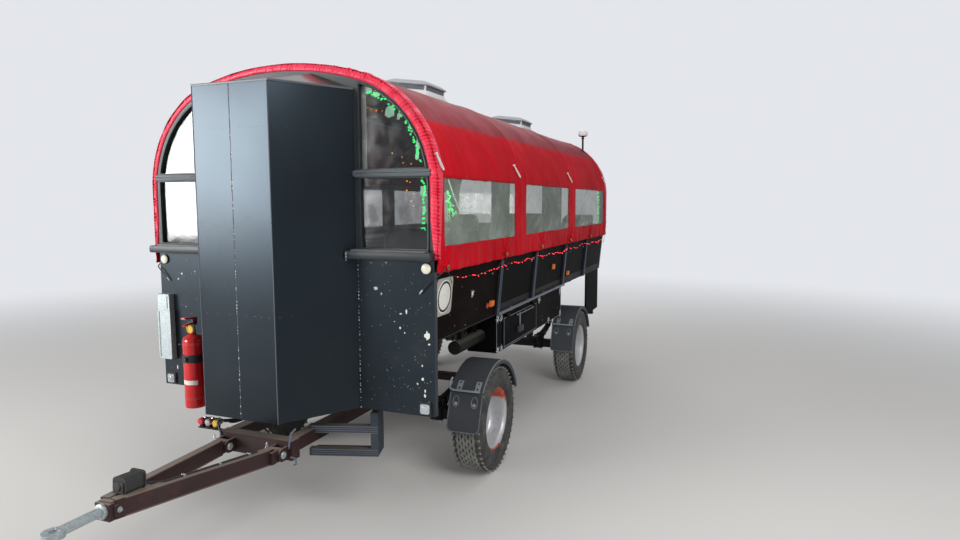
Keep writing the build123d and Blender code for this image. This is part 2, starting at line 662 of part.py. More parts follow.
# Ladder that hangs below the door
LADDER_Y = BODY_LENGTH + LADDER_PIVOT_OUT
LADDER_BORE = HINGE_PIN + RUNNING_GAP
stile = block(
    LADDER_HALF - LADDER_THICKNESS / 2, LADDER_HALF + LADDER_THICKNESS / 2,
    LADDER_Y - LADDER_STILE / 2, LADDER_Y + LADDER_STILE / 2, LADDER_FOOT, LADDER_PIVOT_Z)
stile += rod(
    (LADDER_HALF - LADDER_THICKNESS / 2, LADDER_Y, LADDER_PIVOT_Z),
    (LADDER_HALF + LADDER_THICKNESS / 2, LADDER_Y, LADDER_PIVOT_Z), LADDER_STILE / 2)


def tread(height):
    """One step of the ladder between its stiles."""
    return block(
        -LADDER_HALF, LADDER_HALF, LADDER_Y - LADDER_STILE / 2, LADDER_Y + TREAD_DEPTH / 2, height, height + SHEET)


ladder = tread(TREADS[0])
for piece in [*both(stile), *[tread(height) for height in TREADS[1:]]]:
    ladder += piece
ladder -= rod((-HALF_WIDTH, LADDER_Y, LADDER_PIVOT_Z), (HALF_WIDTH, LADDER_Y, LADDER_PIVOT_Z), LADDER_BORE)
save("ladder", ladder)

LADDER_LUG_IN = LADDER_HALF + LADDER_THICKNESS / 2 + EAR_GAP
ladder_mount = block(
    LADDER_LUG_IN, LADDER_LUG_IN + HINGE_LUG, BODY_LENGTH - RAIL_MARGIN, LADDER_Y + HINGE_BARREL,
    LADDER_PIVOT_Z - HINGE_BARREL, LADDER_PIVOT_Z + HINGE_BARREL)
ladder_mount += rod(
    (LADDER_HALF - LADDER_THICKNESS, LADDER_Y, LADDER_PIVOT_Z),
    (LADDER_LUG_IN + 1, LADDER_Y, LADDER_PIVOT_Z), HINGE_PIN)

# Rear bumper on drop arms, with the ladder's lugs on its upper bar
bumper = block(
    -BUMPER_HALF, BUMPER_HALF, BODY_LENGTH - BUMPER_DEPTH, BODY_LENGTH, BUMPER_BOTTOM, BUMPER_BOTTOM + BUMPER_HEIGHT)
bumper += block(
    -RAIL_SIDE, RAIL_SIDE, BODY_LENGTH - RAIL_MARGIN, BODY_LENGTH - WALL / 2,
    LADDER_PIVOT_Z - CROSS_DEPTH / 2, LADDER_PIVOT_Z + CROSS_DEPTH / 2 - RING_GAP)
for arm in both(block(
        RAIL_INSIDE, RAIL_SIDE, BODY_LENGTH - BUMPER_DEPTH, BODY_LENGTH - WALL / 2,
        BUMPER_BOTTOM + BUMPER_HEIGHT, LADDER_PIVOT_Z), ladder_mount):
    bumper += arm
save("rear_bumper", bumper)
save("rear_skirts", *both(block(
    SIDE_INSIDE, SIDE_INSIDE + SKIRT_THICKNESS, SKIRT_START, BODY_LENGTH - WALL, SKIRT_BOTTOM, SIDE_RAIL_BOTTOM)))

# Benches
bench_length = (BENCH_START, BENCH_END)
bench_front = block(
    BENCH_FRONT_X, BENCH_FRONT_X + BENCH_SIDE, BENCH_START + BENCH_GAP, BENCH_END - BENCH_GAP,
    DECK_TOP, BENCH_SEAT_Z - BENCH_BOARD)
bench_ends = []
for end in (BENCH_START - BENCH_SIDE, BENCH_END):
    panel = block(BENCH_FRONT_X, BENCH_BACK_X, end, end + BENCH_SIDE, DECK_TOP, BENCH_END_TOP)
    corner = panel.edges().filter_by(Axis.Y).group_by(Axis.Z)[-1].sort_by(Axis.X)[0]
    bench_ends.append(fillet(corner, BENCH_END_ROUND))
save("bench_panels", *both(bench_front, *bench_ends))
bench_seat = block(BENCH_FRONT_X, BENCH_BACK_X, *bench_length, BENCH_SEAT_Z - BENCH_BOARD, BENCH_SEAT_Z)
save("bench_seats", *both(bench_seat))

# Side lockers with top-hinged flaps
LOCKER_TOP = DECK_BOTTOM - OUTRIGGER_DEPTH
locker = block(LOCKER_INNER_X, LOCKER_OUTER_X, LOCKER_START, LOCKER_END, LOCKER_BOTTOM, LOCKER_TOP)
locker -= block(
    LOCKER_INNER_X + LOCKER_WALL, LOCKER_OUTER_X - LOCKER_WALL, LOCKER_START + LOCKER_WALL, LOCKER_END - LOCKER_WALL,
    LOCKER_BOTTOM + LOCKER_WALL, LOCKER_TOP - LOCKER_WALL)
locker -= block(LOCKER_OUTER_X - LOCKER_WALL - 1, LOCKER_OUTER_X + 1, FLAP_START, FLAP_END, FLAP_LOW, FLAP_HIGH)
FLAP_IN = LOCKER_OUTER_X + FLAP_GAP
FLAP_PIVOT_X = FLAP_IN + HINGE_BARREL
FLAP_PIVOT_Z = FLAP_HIGH + FLAP_LAP + HINGE_BARREL
flap = block(
    FLAP_IN, FLAP_IN + FLAP_THICKNESS, FLAP_START - FLAP_LAP, FLAP_END + FLAP_LAP,
    FLAP_LOW - FLAP_LAP, FLAP_HIGH + FLAP_LAP)
for place in (FLAP_START + BARREL_LENGTH, FLAP_END - BARREL_LENGTH):
    spot = Pos(FLAP_PIVOT_X, place, FLAP_PIVOT_Z)
    flap += block(
        FLAP_IN, FLAP_PIVOT_X, place - BARREL_LENGTH / 2 + RING_GAP, place + BARREL_LENGTH / 2 - RING_GAP,
        FLAP_HIGH, FLAP_PIVOT_Z)
    flap += spot * hinge_barrel(BARREL_LENGTH)
    flap -= spot * hinge_bore(BARREL_LENGTH)
    locker += spot * hinge_pin(BARREL_LENGTH)
    for side in (-1, 1):
        lug_in, lug_out = place + side * BARREL_LENGTH / 2, place + side * LUG_SPAN / 2
        locker += block(
            LOCKER_OUTER_X, FLAP_PIVOT_X + HINGE_PIN, lug_in, lug_out,
            FLAP_PIVOT_Z - HINGE_LUG, FLAP_PIVOT_Z + HINGE_BARREL)
save("lockers", *both(locker))
save("flap_right", flap)
save("flap_left", mirror(flap, about=Plane.YZ))

# Wheels
TYRE_X = TYRE_OUTER_X - TYRE_WIDTH / 2
# radius and distance from the tyre's middle, from the bead to the tread
tyre_half_outline = [
    (RIM_SEAT, RIM_WIDTH / 2),
    (RIM_SEAT + BEAD_TURN, TYRE_WIDTH / 2),
    (RIM_SEAT + WALL_TOP, TYRE_WIDTH / 2),
    (TYRE_RADIUS - SHOULDER_DROP, TYRE_WIDTH / 2 - SIDEWALL_BULGE),
    (TYRE_RADIUS, TYRE_WIDTH / 2 - SHOULDER_WIDTH),
]
tyre_outline = [(x, 0, r) for r, x in tyre_half_outline] + [(-x, 0, r) for r, x in reversed(tyre_half_outline)]
tyre = revolve(make_face(Polyline(*tyre_outline, close=True)), Axis.X)

DISC_X = RIM_WIDTH / 2 - DISC_INSET
FLANGE_X = RIM_WIDTH / 2 + 2
BARREL_X = RIM_WIDTH / 2 - RIM_WALL
DISH_RADIUS = RIM_SEAT - RIM_WALL - BARREL_TAPER
# distance from the tyre's middle and radius, once round the rim's section and its hub
rim_outline = [
    (-FLANGE_X, RIM_SEAT - RIM_WALL), (-FLANGE_X, RIM_RADIUS), (-BARREL_X, RIM_RADIUS), (-BARREL_X, RIM_SEAT),
    (BARREL_X, RIM_SEAT), (BARREL_X, RIM_RADIUS), (FLANGE_X, RIM_RADIUS), (FLANGE_X, RIM_SEAT - RIM_WALL),
    (DISC_X + 2 * BARREL_TAPER, DISH_RADIUS), (DISC_X + BARREL_TAPER / 2, DISH_RADIUS - BARREL_TAPER),
    (DISC_X, DISH_RADIUS - 3 * BARREL_TAPER), (DISC_X, CAP_RADIUS), (DISC_X + CAP_LENGTH, CAP_RADIUS - RIM_WALL),
    (DISC_X + CAP_LENGTH, 0), (DISC_X - HUB_LENGTH, 0), (DISC_X - HUB_LENGTH, HUB_RADIUS),
    (DISC_X - DISC_THICKNESS, HUB_RADIUS), (DISC_X - DISC_THICKNESS, RIM_SEAT - RIM_WALL),
]
rim = revolve(make_face(Polyline(*[(x, 0, r) for x, r in rim_outline], close=True)), Axis.X)
tyre -= rim
rim -= rod((-TYRE_WIDTH, 0, 0), (DISC_X, 0, 0), STUB_RADIUS + RUNNING_GAP)

for end, axle_y in (("front", FRONT_AXLE_Y), ("rear", REAR_AXLE_Y)):
    for side_name, side in (("right", 1), ("left", -1)):
        place = Pos(side * TYRE_X, axle_y, TYRE_RADIUS)
        turn = Rot(0, 0, 0 if side > 0 else 180)
        save(f"tyre_{end}_{side_name}", place * turn * tyre)
        save(f"rim_{end}_{side_name}", place * turn * rim)

# Axles and leaf springs
AXLE_TOP = TYRE_RADIUS + AXLE_SIZE / 2
STUB_END = TYRE_X + DISC_X - RING_GAP


def axle(y):
    """A square beam with a round stub at each end."""
    beam = block(-AXLE_HALF, AXLE_HALF, y - AXLE_SIZE / 2, y + AXLE_SIZE / 2, TYRE_RADIUS - AXLE_SIZE / 2, AXLE_TOP)
    return beam + rod((-STUB_END, y, TYRE_RADIUS), (STUB_END, y, TYRE_RADIUS), STUB_RADIUS)


def spring(y):
    """A right-hand pack of curved leaves on the axle, each shorter than the one above."""
    pack = None
    for leaf in range(SPRING_LEAVES):
        reach = SPRING_REACH * (leaf + 1) / SPRING_LEAVES
        low = AXLE_TOP + leaf * SPRING_LEAF
        rise = SPRING_RISE * (reach / SPRING_REACH) ** 2
        under = ThreePointArc((0, y - reach, low + rise), (0, y, low), (0, y + reach, low + rise))
        over = ThreePointArc(
            (0, y + reach, low + rise + SPRING_LEAF), (0, y, low + SPRING_LEAF),
            (0, y - reach, low + rise + SPRING_LEAF))
        ends = [Line(under @ 1, over @ 0), Line(over @ 1, under @ 0)]
        made = extrude(make_face([under, over, *ends]), SPRING_WIDTH / 2, dir=(1, 0, 0), both=True)
        pack = made if pack is None else pack + made
    return Pos(SPRING_X, 0, 0) * pack


SPRING_TOP = AXLE_TOP + SPRING_LEAVES * SPRING_LEAF
SPRING_END_TOP = SPRING_TOP + SPRING_RISE


def spring_carrier(y, top):
    """Hangers on both sides that take the spring's ends, joined by cross beams under a height."""
    made = None
    for end in (-1, 1):
        at = y + end * (SPRING_REACH - SHEET)
        beam = block(
            -SPRING_X - SPRING_WIDTH / 2, SPRING_X + SPRING_WIDTH / 2, at - SHEET, at + SHEET, SPRING_END_TOP, top)
        made = beam if made is None else made + beam
    return made


for name, place in (("front_axle", FRONT_AXLE_Y), ("rear_axle", REAR_AXLE_Y)):
    running_gear = axle(place)
    for pack in both(spring(place)):
        running_gear += pack
    save(name, running_gear)

# Mudguards
GUARD_RADIUS = TYRE_RADIUS + GUARD_GAP
GUARD_OUTER = GUARD_RADIUS + GUARD_THICKNESS
GUARD_IN_X = TYRE_OUTER_X - TYRE_WIDTH - 18
GUARD_OUT_X = TYRE_OUTER_X + 4
GUARD_LIP = 22.0
FLAP_CORNER = 40.0
JOINT_FILL = 5.0
STAY_PLATE = 8.0


def guard_point(y, radius, degrees):
    """A point on the guard's arc about the wheel at a place along the wagon."""
    turn = math.radians(degrees)
    return Vector(0, y + math.cos(turn) * radius, TYRE_RADIUS + math.sin(turn) * radius)


def guard_band(y, inner, outer, rear, length, x0, x1):
    """A band that follows the guard's arc from a rear angle to the joint and then straight down the flap."""
    front = 180 - GUARD_FRONT_ANGLE
    middle = (front + rear) / 2
    flap_foot = Vector(0, -GUARD_FLAP_OUT, GUARD_FLAP_Z - guard_point(y, GUARD_RADIUS, front).Z)
    down = flap_foot * (length / flap_foot.length)
    low_in = guard_point(y, inner, front) + down
    low_out = guard_point(y, outer, front) + down
    edges = [
        ThreePointArc(guard_point(y, inner, rear), guard_point(y, inner, middle), guard_point(y, inner, front)),
        Line(guard_point(y, inner, front), low_in),
        Line(low_in, low_out),
        Line(low_out, guard_point(y, outer, front)),
        ThreePointArc(guard_point(y, outer, front), guard_point(y, outer, middle), guard_point(y, outer, rear)),
        Line(guard_point(y, outer, rear), guard_point(y, inner, rear)),
    ]
    return Pos(x0, 0, 0) * extrude(make_face(edges), x1 - x0, dir=(1, 0, 0))


def mudguard(y):
    """A right-hand guard: an arc over the tyre with a rolled lip, a flap in front and a stay on the axle."""
    shell = guard_band(y, GUARD_RADIUS, GUARD_OUTER, GUARD_REAR_ANGLE, JOINT_FILL, GUARD_IN_X, GUARD_OUT_X)
    shell += guard_band(
        y, GUARD_RADIUS - GUARD_LIP, GUARD_OUTER, GUARD_REAR_ANGLE, JOINT_FILL, GUARD_OUT_X - GUARD_THICKNESS, GUARD_OUT_X)
    joint = guard_point(y, GUARD_RADIUS, 180 - GUARD_FRONT_ANGLE)
    down = Vector(0, -GUARD_FLAP_OUT, GUARD_FLAP_Z - joint.Z)
    out = Vector(1, 0, 0).cross(down).normalized()
    outline = Rectangle(GUARD_OUT_X - GUARD_IN_X, down.length)
    outline = fillet(outline.vertices().group_by(Axis.Y)[0], FLAP_CORNER)
    middle = joint + down * 0.5 + Vector((GUARD_IN_X + GUARD_OUT_X) / 2, 0, 0)
    thickness = abs((guard_point(y, GUARD_OUTER, 180 - GUARD_FRONT_ANGLE) - joint).dot(out))
    flap_plane = Plane(origin=middle, x_dir=(1, 0, 0), z_dir=out * -1)
    plate = extrude(flap_plane * outline, thickness * (1 if out.Y > 0 else -1))
    stay_top = TYRE_RADIUS + GUARD_RADIUS + GUARD_THICKNESS / 2
    stay = block(GUARD_IN_X - STAY_PLATE, GUARD_IN_X, y - GUARD_STAY, y + GUARD_STAY, AXLE_TOP, stay_top)
    foot = block(AXLE_HALF - 40, GUARD_IN_X, y - GUARD_STAY, y + GUARD_STAY, AXLE_TOP, AXLE_TOP + 10)
    shell += plate
    return shell + stay + foot


save("front_mudguards", *both(mudguard(FRONT_AXLE_Y)))
save("rear_mudguards", *both(mudguard(REAR_AXLE_Y)))

# Turntable
UPPER_RING_LOW = RAIL_BOTTOM - RING_HEIGHT
LOWER_RING_TOP = UPPER_RING_LOW - RING_GAP
LOWER_RING_LOW = LOWER_RING_TOP - RING_HEIGHT


def ring_between(outer, inner, z0, z1):
    """A flat ring about the kingpin line."""
    shape = rod((0, FRONT_AXLE_Y, z0), (0, FRONT_AXLE_Y, z1), outer)
    return shape - rod((0, FRONT_AXLE_Y, z0 - 1), (0, FRONT_AXLE_Y, z1 + 1), inner)


save("upper_ring", ring_between(RING_OUTER, RING_INNER, UPPER_RING_LOW, RAIL_BOTTOM))
spigot_outer = RING_INNER - RUNNING_GAP
lower_ring = ring_between(RING_OUTER, RING_INNER - SPIGOT_WALL, LOWER_RING_LOW, LOWER_RING_TOP)
lower_ring += ring_between(spigot_outer, RING_INNER - SPIGOT_WALL, LOWER_RING_TOP, RAIL_BOTTOM - RING_GAP)
save("lower_ring", lower_ring)

# Steered frame: side beams, spring carriers, legs up to the ring and the crossbeam with its ears
BEAM_IN, BEAM_OUT = BEAM_X - BEAM_WIDTH / 2, BEAM_X + BEAM_WIDTH / 2
BEAM_TOP = BEAM_BOTTOM + BEAM_HEIGHT
BEAM_END = FRONT_AXLE_Y + BEAM_BEHIND_AXLE
steer_frame = spring_carrier(FRONT_AXLE_Y, BEAM_TOP)
for beam in both(block(BEAM_IN, BEAM_OUT, BEAM_START, BEAM_END, BEAM_BOTTOM, BEAM_TOP)):
    steer_frame += beam
for offset in (-LEG_SPREAD, LEG_SPREAD):
    y = FRONT_AXLE_Y + offset
    for leg in both(block(BEAM_IN, BEAM_OUT, y - BEAM_WIDTH / 2, y + BEAM_WIDTH / 2, BEAM_TOP, LOWER_RING_LOW)):
        steer_frame += leg
    steer_frame += block(
        -BEAM_IN, BEAM_IN, y - BEAM_WIDTH / 2, y + BEAM_WIDTH / 2, LOWER_RING_LOW - BEAM_WIDTH, LOWER_RING_LOW)
CROSSBEAM_Y = BEAM_START - CROSSBEAM_DEPTH / 2 + 20
crossbeam = block(
    -CROSSBEAM_HALF, CROSSBEAM_HALF, CROSSBEAM_Y - CROSSBEAM_DEPTH / 2, CROSSBEAM_Y + CROSSBEAM_DEPTH / 2,
    CROSSBEAM_BOTTOM, BEAM_TOP)
steer_frame += crossbeam
for side in (-1, 1):
    inner = PIVOT_X + side * (BOSS_WIDTH / 2 + EAR_GAP)
    outer = inner + side * EAR_THICKNESS
    for ear in both(block(inner, outer, PIVOT_Y, CROSSBEAM_Y, PIVOT_Z - BOSS_RADIUS, PIVOT_Z + BOSS_RADIUS) + rod(
            (min(inner, outer), PIVOT_Y, PIVOT_Z), (max(inner, outer), PIVOT_Y, PIVOT_Z), BOSS_RADIUS)):
        steer_frame += ear
pin_half = BOSS_WIDTH / 2 + EAR_GAP + EAR_THICKNESS
for pin in both(rod((PIVOT_X - pin_half, PIVOT_Y, PIVOT_Z), (PIVOT_X + pin_half, PIVOT_Y, PIVOT_Z), PIN_RADIUS)):
    steer_frame += pin
save("steer_frame", steer_frame)

# Rear frame that carries the rear springs below the chassis rails
rear_frame = spring_carrier(REAR_AXLE_Y, BEAM_TOP)
for beam in both(block(
        BEAM_IN, BEAM_OUT, REAR_AXLE_Y - BEAM_BEHIND_AXLE, REAR_AXLE_Y + BEAM_BEHIND_AXLE, BEAM_BOTTOM, BEAM_TOP)):
    rear_frame += beam
for offset in (-1, 1):
    y = REAR_AXLE_Y + offset * (SPRING_REACH - SHEET)
    for leg in both(block(RAIL_INSIDE, RAIL_SIDE, y - SHEET, y + SHEET, BEAM_TOP, RAIL_BOTTOM)):
        rear_frame += leg
save("rear_frame", rear_frame)

# Black step frame beside the steered frame
STEP_ANGLE = 18.0
STEP_LENGTH = 470.0
STEP_DEPTH = 180.0
STEP_LOW = 460.0
STEP_HIGH = 760.0
STEP_BAR = 50.0
STEP_PLATE = 8.0
STEP_START_Y = -110.0
STEP_UPPER = 620.0
step = block(0, STEP_LENGTH, 0, STEP_BAR, STEP_LOW, STEP_LOW + STEP_BAR)
step += block(0, STEP_LENGTH, 0, STEP_DEPTH, STEP_LOW, STEP_LOW + STEP_PLATE)
step += block(0, STEP_LENGTH, 0, STEP_BAR, STEP_UPPER, STEP_UPPER + STEP_BAR)
step += block(STEP_LENGTH - STEP_BAR, STEP_LENGTH, 0, STEP_DEPTH, STEP_LOW, STEP_HIGH)
step = Pos(BEAM_X, STEP_START_Y, 0) * Rot(0, 0, STEP_ANGLE) * step
for beam in both(block(BEAM_IN, BEAM_OUT, BEAM_START, BEAM_END, BEAM_BOTTOM, BEAM_TOP)):
    step -= beam
step = step.solids().sort_by(SortBy.VOLUME)[-1]
save("step_frame", step)

# Drawbar: two beams that meet at the nose, with bosses on the pins, and the towing eye
RISE = math.radians(DRAWBAR_RISE)


def drawbar_z(y):
    """Height of the drawbar's middle line at a place along it."""
    return PIVOT_Z + (PIVOT_Y - y) * math.tan(RISE)


beam_start = (PIVOT_X, PIVOT_Y, drawbar_z(PIVOT_Y))
beam_end = (NOSE_HALF, NOSE_Y, drawbar_z(NOSE_Y))
run = Vector(*beam_end) - Vector(*beam_start)
beam_plane = Plane(origin=beam_start, z_dir=run.normalized(), x_dir=run.cross(Vector(0, 0, 1)).normalized())
drawbar_beam = extrude(beam_plane * Rectangle(BEAM_SECTION_WIDTH, BEAM_SECTION_HEIGHT), run.length)
boss = rod((PIVOT_X - BOSS_WIDTH / 2, PIVOT_Y, PIVOT_Z), (PIVOT_X + BOSS_WIDTH / 2, PIVOT_Y, PIVOT_Z), BOSS_RADIUS)
BEAM_CLEAR = 45.0
drawbar_beam -= block(0, HALF_WIDTH, PIVOT_Y - BEAM_CLEAR, 0, 0, DECK_TOP) - boss
neck = block(
    PIVOT_X - BOSS_WIDTH / 2, PIVOT_X + BOSS_WIDTH / 2, PIVOT_Y - BEAM_CLEAR - 40, PIVOT_Y,
    PIVOT_Z - BOSS_RADIUS + 4, PIVOT_Z + BOSS_RADIUS - 4)
right_half = drawbar_beam + boss + neck
drawbar = right_half + mirror(right_half, about=Plane.YZ)
drawbar += block(
    -NOSE_HALF - 20, NOSE_HALF + 20, NOSE_Y - 40, NOSE_Y - 40 + NOSE_LENGTH,
    drawbar_z(NOSE_Y) - BEAM_SECTION_HEIGHT / 2, drawbar_z(NOSE_Y) + BEAM_SECTION_HEIGHT / 2 - NOSE_DROP)
drawbar -= rod((-HALF_WIDTH, PIVOT_Y, PIVOT_Z), (HALF_WIDTH, PIVOT_Y, PIVOT_Z), PIN_RADIUS + RUNNING_GAP)
EYE_Z = drawbar_z(NOSE_Y)
save("drawbar_frame", drawbar)

eye = rod((0, EYE_Y, EYE_Z - EYE_THICKNESS / 2), (0, EYE_Y, EYE_Z + EYE_THICKNESS / 2), EYE_RADIUS)
eye += rod((0, NOSE_Y - 40, EYE_Z), (0, EYE_Y + EYE_BORE, EYE_Z), SHANK_RADIUS)
eye -= rod((0, EYE_Y, EYE_Z - EYE_THICKNESS), (0, EYE_Y, EYE_Z + EYE_THICKNESS), EYE_BORE)
save("towing_eye", eye)

# Line couplings on a bracket of the steered frame, and the hoses that run from them behind the crossbeam
COUPLING_Y = -275.0
COUPLING_LENGTH = 75.0
COUPLING_Z = 650.0
COUPLING_RADIUS = 24.0
COUPLINGS = [-545.0, -480.0, -415.0]
BRACKET_Y = -245.0
BRACKET_HALF = 15.0
BRACKET_LOW = 600.0
BRACKET_HIGH = 612.0
HOSE_RADIUS = 9.0
HOSE_GAP = 0.3
HOSE_END_X = -300.0
BRACKET = (BRACKET_Y - BRACKET_HALF, BRACKET_Y + BRACKET_HALF)
bracket = block(COUPLINGS[0] - 30, -BEAM_OUT, *BRACKET, BRACKET_LOW, BRACKET_HIGH)
hoses = []
for number, x in enumerate(COUPLINGS):
    back = COUPLING_Y + COUPLING_LENGTH
    bracket += rod((x, COUPLING_Y, COUPLING_Z), (x, back, COUPLING_Z), COUPLING_RADIUS)
    bracket += block(x - 12, x + 12, *BRACKET, BRACKET_LOW, COUPLING_Z)
    end_y = 20.0 + 45 * number
    line = Spline(
        (x, back, COUPLING_Z), (x + 12, back + 90, COUPLING_Z - 45), (HOSE_END_X - 50, end_y, BEAM_BOTTOM + 70),
        (-BEAM_OUT - HOSE_GAP, end_y + 40, BEAM_BOTTOM + 60), tangents=[(0, 1, 0), (1, 0, 0)])
    hoses.append(sweep(Plane(origin=line @ 0, z_dir=line % 0) * Circle(HOSE_RADIUS), path=line))
save("couplings", bracket)
save("coupling_hoses", *hoses)

# Socket box on the drawbar's nose, tilted with the drawbar
BOX_LENGTH = 110.0
BOX_HALF = 45.0
BOX_HEIGHT = 85.0
BOX_RIM = 8.0
BOX_START = NOSE_Y + 60
BOX_SEAT = 0.5
socket_box = fillet(block(-BOX_HALF, BOX_HALF, 0, BOX_LENGTH, 0, BOX_HEIGHT).edges().filter_by(Axis.Y), 22)
socket_rim = block(-BOX_HALF - BOX_RIM, BOX_HALF + BOX_RIM, BOX_LENGTH, BOX_LENGTH + BOX_RIM, 0, BOX_HEIGHT + BOX_RIM)
socket_box += fillet(socket_rim.edges().filter_by(Axis.Y), 20)
beam_top = drawbar_z(BOX_START) + BEAM_SECTION_HEIGHT / 2 / math.cos(RISE) + BOX_SEAT
save("socket_box", Pos(0, BOX_START, beam_top) * Rot(-DRAWBAR_RISE, 0, 0) * socket_box)

# Extinguisher and its holder on the left front panel
BOTTLE_Y = -BOTTLE_OFF - BOTTLE_RADIUS
STRAP_LOW = 1030.0
STRAP_HIGH = 1070.0
VALVE_NECK = 18.0
VALVE_HALF = 15.0
VALVE_HEIGHT = 60.0
LEVER_FRONT = 90.0
LEVER_BACK = 40.0
bottle = rod((BOTTLE_X, BOTTLE_Y, BOTTLE_BOTTOM), (BOTTLE_X, BOTTLE_Y, BOTTLE_TOP), BOTTLE_RADIUS)
bottle = fillet(bottle.edges().group_by(Axis.Z)[-1], BOTTLE_RADIUS * 0.7)
bottle += rod((BOTTLE_X, BOTTLE_Y, BOTTLE_TOP - 5), (BOTTLE_X, BOTTLE_Y, VALVE_TOP - VALVE_HEIGHT + 10), VALVE_NECK)
bottle += block(
    BOTTLE_X - VALVE_HALF, BOTTLE_X + VALVE_HALF, BOTTLE_Y - LEVER_FRONT, BOTTLE_Y + LEVER_BACK,
    VALVE_TOP - VALVE_HEIGHT, VALVE_TOP)
save("extinguisher", bottle)
holder = block(BOTTLE_X - 40, BOTTLE_X + 40, -BOTTLE_OFF, 0, BOTTLE_BOTTOM + 130, BOTTLE_TOP - 60)
holder += rod((BOTTLE_X, BOTTLE_Y, STRAP_LOW), (BOTTLE_X, BOTTLE_Y, STRAP_HIGH), BOTTLE_RADIUS + 4)
holder -= rod((BOTTLE_X, BOTTLE_Y, BOTTLE_BOTTOM), (BOTTLE_X, BOTTLE_Y, BOTTLE_TOP), BOTTLE_RADIUS)

# Long tube in front of the right locker, hung from the deck
TUBE_X = LOCKER_OUTER_X - 150.0
TUBE_Z = 1060.0
TUBE_RADIUS = 52.0
TUBE_START = 800.0
TUBE_HANGERS = [900.0, 1200.0]
long_tube = rod((TUBE_X, TUBE_START, TUBE_Z), (TUBE_X, LOCKER_START, TUBE_Z), TUBE_RADIUS)
for place in TUBE_HANGERS:
    long_tube += block(TUBE_X - 20, TUBE_X + 20, place - 4, place + 4, TUBE_Z, DECK_BOTTOM)
save("long_tube", long_tube)

# Galvanised holder, lamps, blank plates and beacon
slim_holder = block(
    HOLDER_X - HOLDER_WIDTH / 2, HOLDER_X + HOLDER_WIDTH / 2, -HOLDER_DEPTH, 0, HOLDER_LOW, HOLDER_HIGH)
save("panel_holders", holder, slim_holder)
reflector = rod((REFLECTOR_X, 0, REFLECTOR_Z), (REFLECTOR_X, -LAMP_DEPTH / 2, REFLECTOR_Z), REFLECTOR_RADIUS)
lamp = block(
    FRONT_LAMP_X - FRONT_LAMP_SIZE / 2, FRONT_LAMP_X + FRONT_LAMP_SIZE / 2, -LAMP_DEPTH, 0,
    FRONT_LAMP_Z - FRONT_LAMP_SIZE / 2, FRONT_LAMP_Z + FRONT_LAMP_SIZE / 2)
REAR_LAMP_X = BUMPER_HALF - 200.0
REAR_LAMP_WIDTH = 210.0
rear_lamp = block(
    REAR_LAMP_X - REAR_LAMP_WIDTH / 2, REAR_LAMP_X + REAR_LAMP_WIDTH / 2, BODY_LENGTH, BODY_LENGTH + LAMP_DEPTH,
    BUMPER_BOTTOM, BUMPER_BOTTOM + BUMPER_HEIGHT)
# middle along the wagon and height of each side lamp
MARKERS = [(1090.0, 1370.0), (2900.0, 1500.0), (3560.0, 1370.0)]
MARKER_SIZE = 70.0
MARKER_HEIGHT = 40.0
markers = [
    leaning(0, LAMP_DEPTH, y - MARKER_SIZE / 2, y + MARKER_SIZE / 2, z - MARKER_HEIGHT / 2, z + MARKER_HEIGHT / 2)
    for y, z in MARKERS]
save("lamps", *both(reflector, lamp, rear_lamp, *markers))
save("blank_plates", *both(leaning(
    0, PLATE_THICKNESS, PLATE_Y - PLATE_SIZE / 2, PLATE_Y + PLATE_SIZE / 2,
    PLATE_Z - PLATE_SIZE / 2, PLATE_Z + PLATE_SIZE / 2)))
stem_foot = roof_height(BEACON_X)
stem = rod((BEACON_X, BEACON_Y, stem_foot - 2), (BEACON_X, BEACON_Y, BEACON_TOP - BEACON_RADIUS), STEM_RADIUS)
stem += Pos(BEACON_X, BEACON_Y, BEACON_TOP - BEACON_RADIUS) * Sphere(BEACON_RADIUS)
stem -= arch(0, SIDE_TOP, BEACON_Y - 200, BEACON_Y + 200)
save("beacon", stem)
print("middle", MIDDLE_Y, "eye", EYE_Y - MIDDLE_Y, EYE_Z)
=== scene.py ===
"""Covered passenger wagon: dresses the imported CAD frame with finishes, fabric, tyres, trim and lights."""
import logging
import math
import random
from collections.abc import Callable, Iterable, Sequence
from dataclasses import dataclass, field
from enum import Enum

import bmesh
import bpy
from mathutils import Matrix, Vector, noise


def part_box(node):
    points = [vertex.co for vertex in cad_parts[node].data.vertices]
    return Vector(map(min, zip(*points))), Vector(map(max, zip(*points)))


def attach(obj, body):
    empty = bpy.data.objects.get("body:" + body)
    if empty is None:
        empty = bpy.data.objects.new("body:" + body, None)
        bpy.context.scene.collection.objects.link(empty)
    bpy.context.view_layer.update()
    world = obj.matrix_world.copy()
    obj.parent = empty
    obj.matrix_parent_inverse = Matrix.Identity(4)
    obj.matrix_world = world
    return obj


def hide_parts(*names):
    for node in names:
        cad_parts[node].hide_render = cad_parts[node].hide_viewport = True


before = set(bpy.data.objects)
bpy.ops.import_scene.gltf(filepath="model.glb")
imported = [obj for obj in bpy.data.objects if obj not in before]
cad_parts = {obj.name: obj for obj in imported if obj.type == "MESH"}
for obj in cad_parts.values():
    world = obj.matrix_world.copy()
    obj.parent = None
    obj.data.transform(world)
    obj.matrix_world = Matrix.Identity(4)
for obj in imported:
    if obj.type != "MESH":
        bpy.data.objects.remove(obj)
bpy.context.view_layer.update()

LOG = logging.getLogger("wagon")

Colour = tuple[int, int, int]
Profile = Sequence[tuple[float, float]]
Socket = bpy.types.NodeSocket

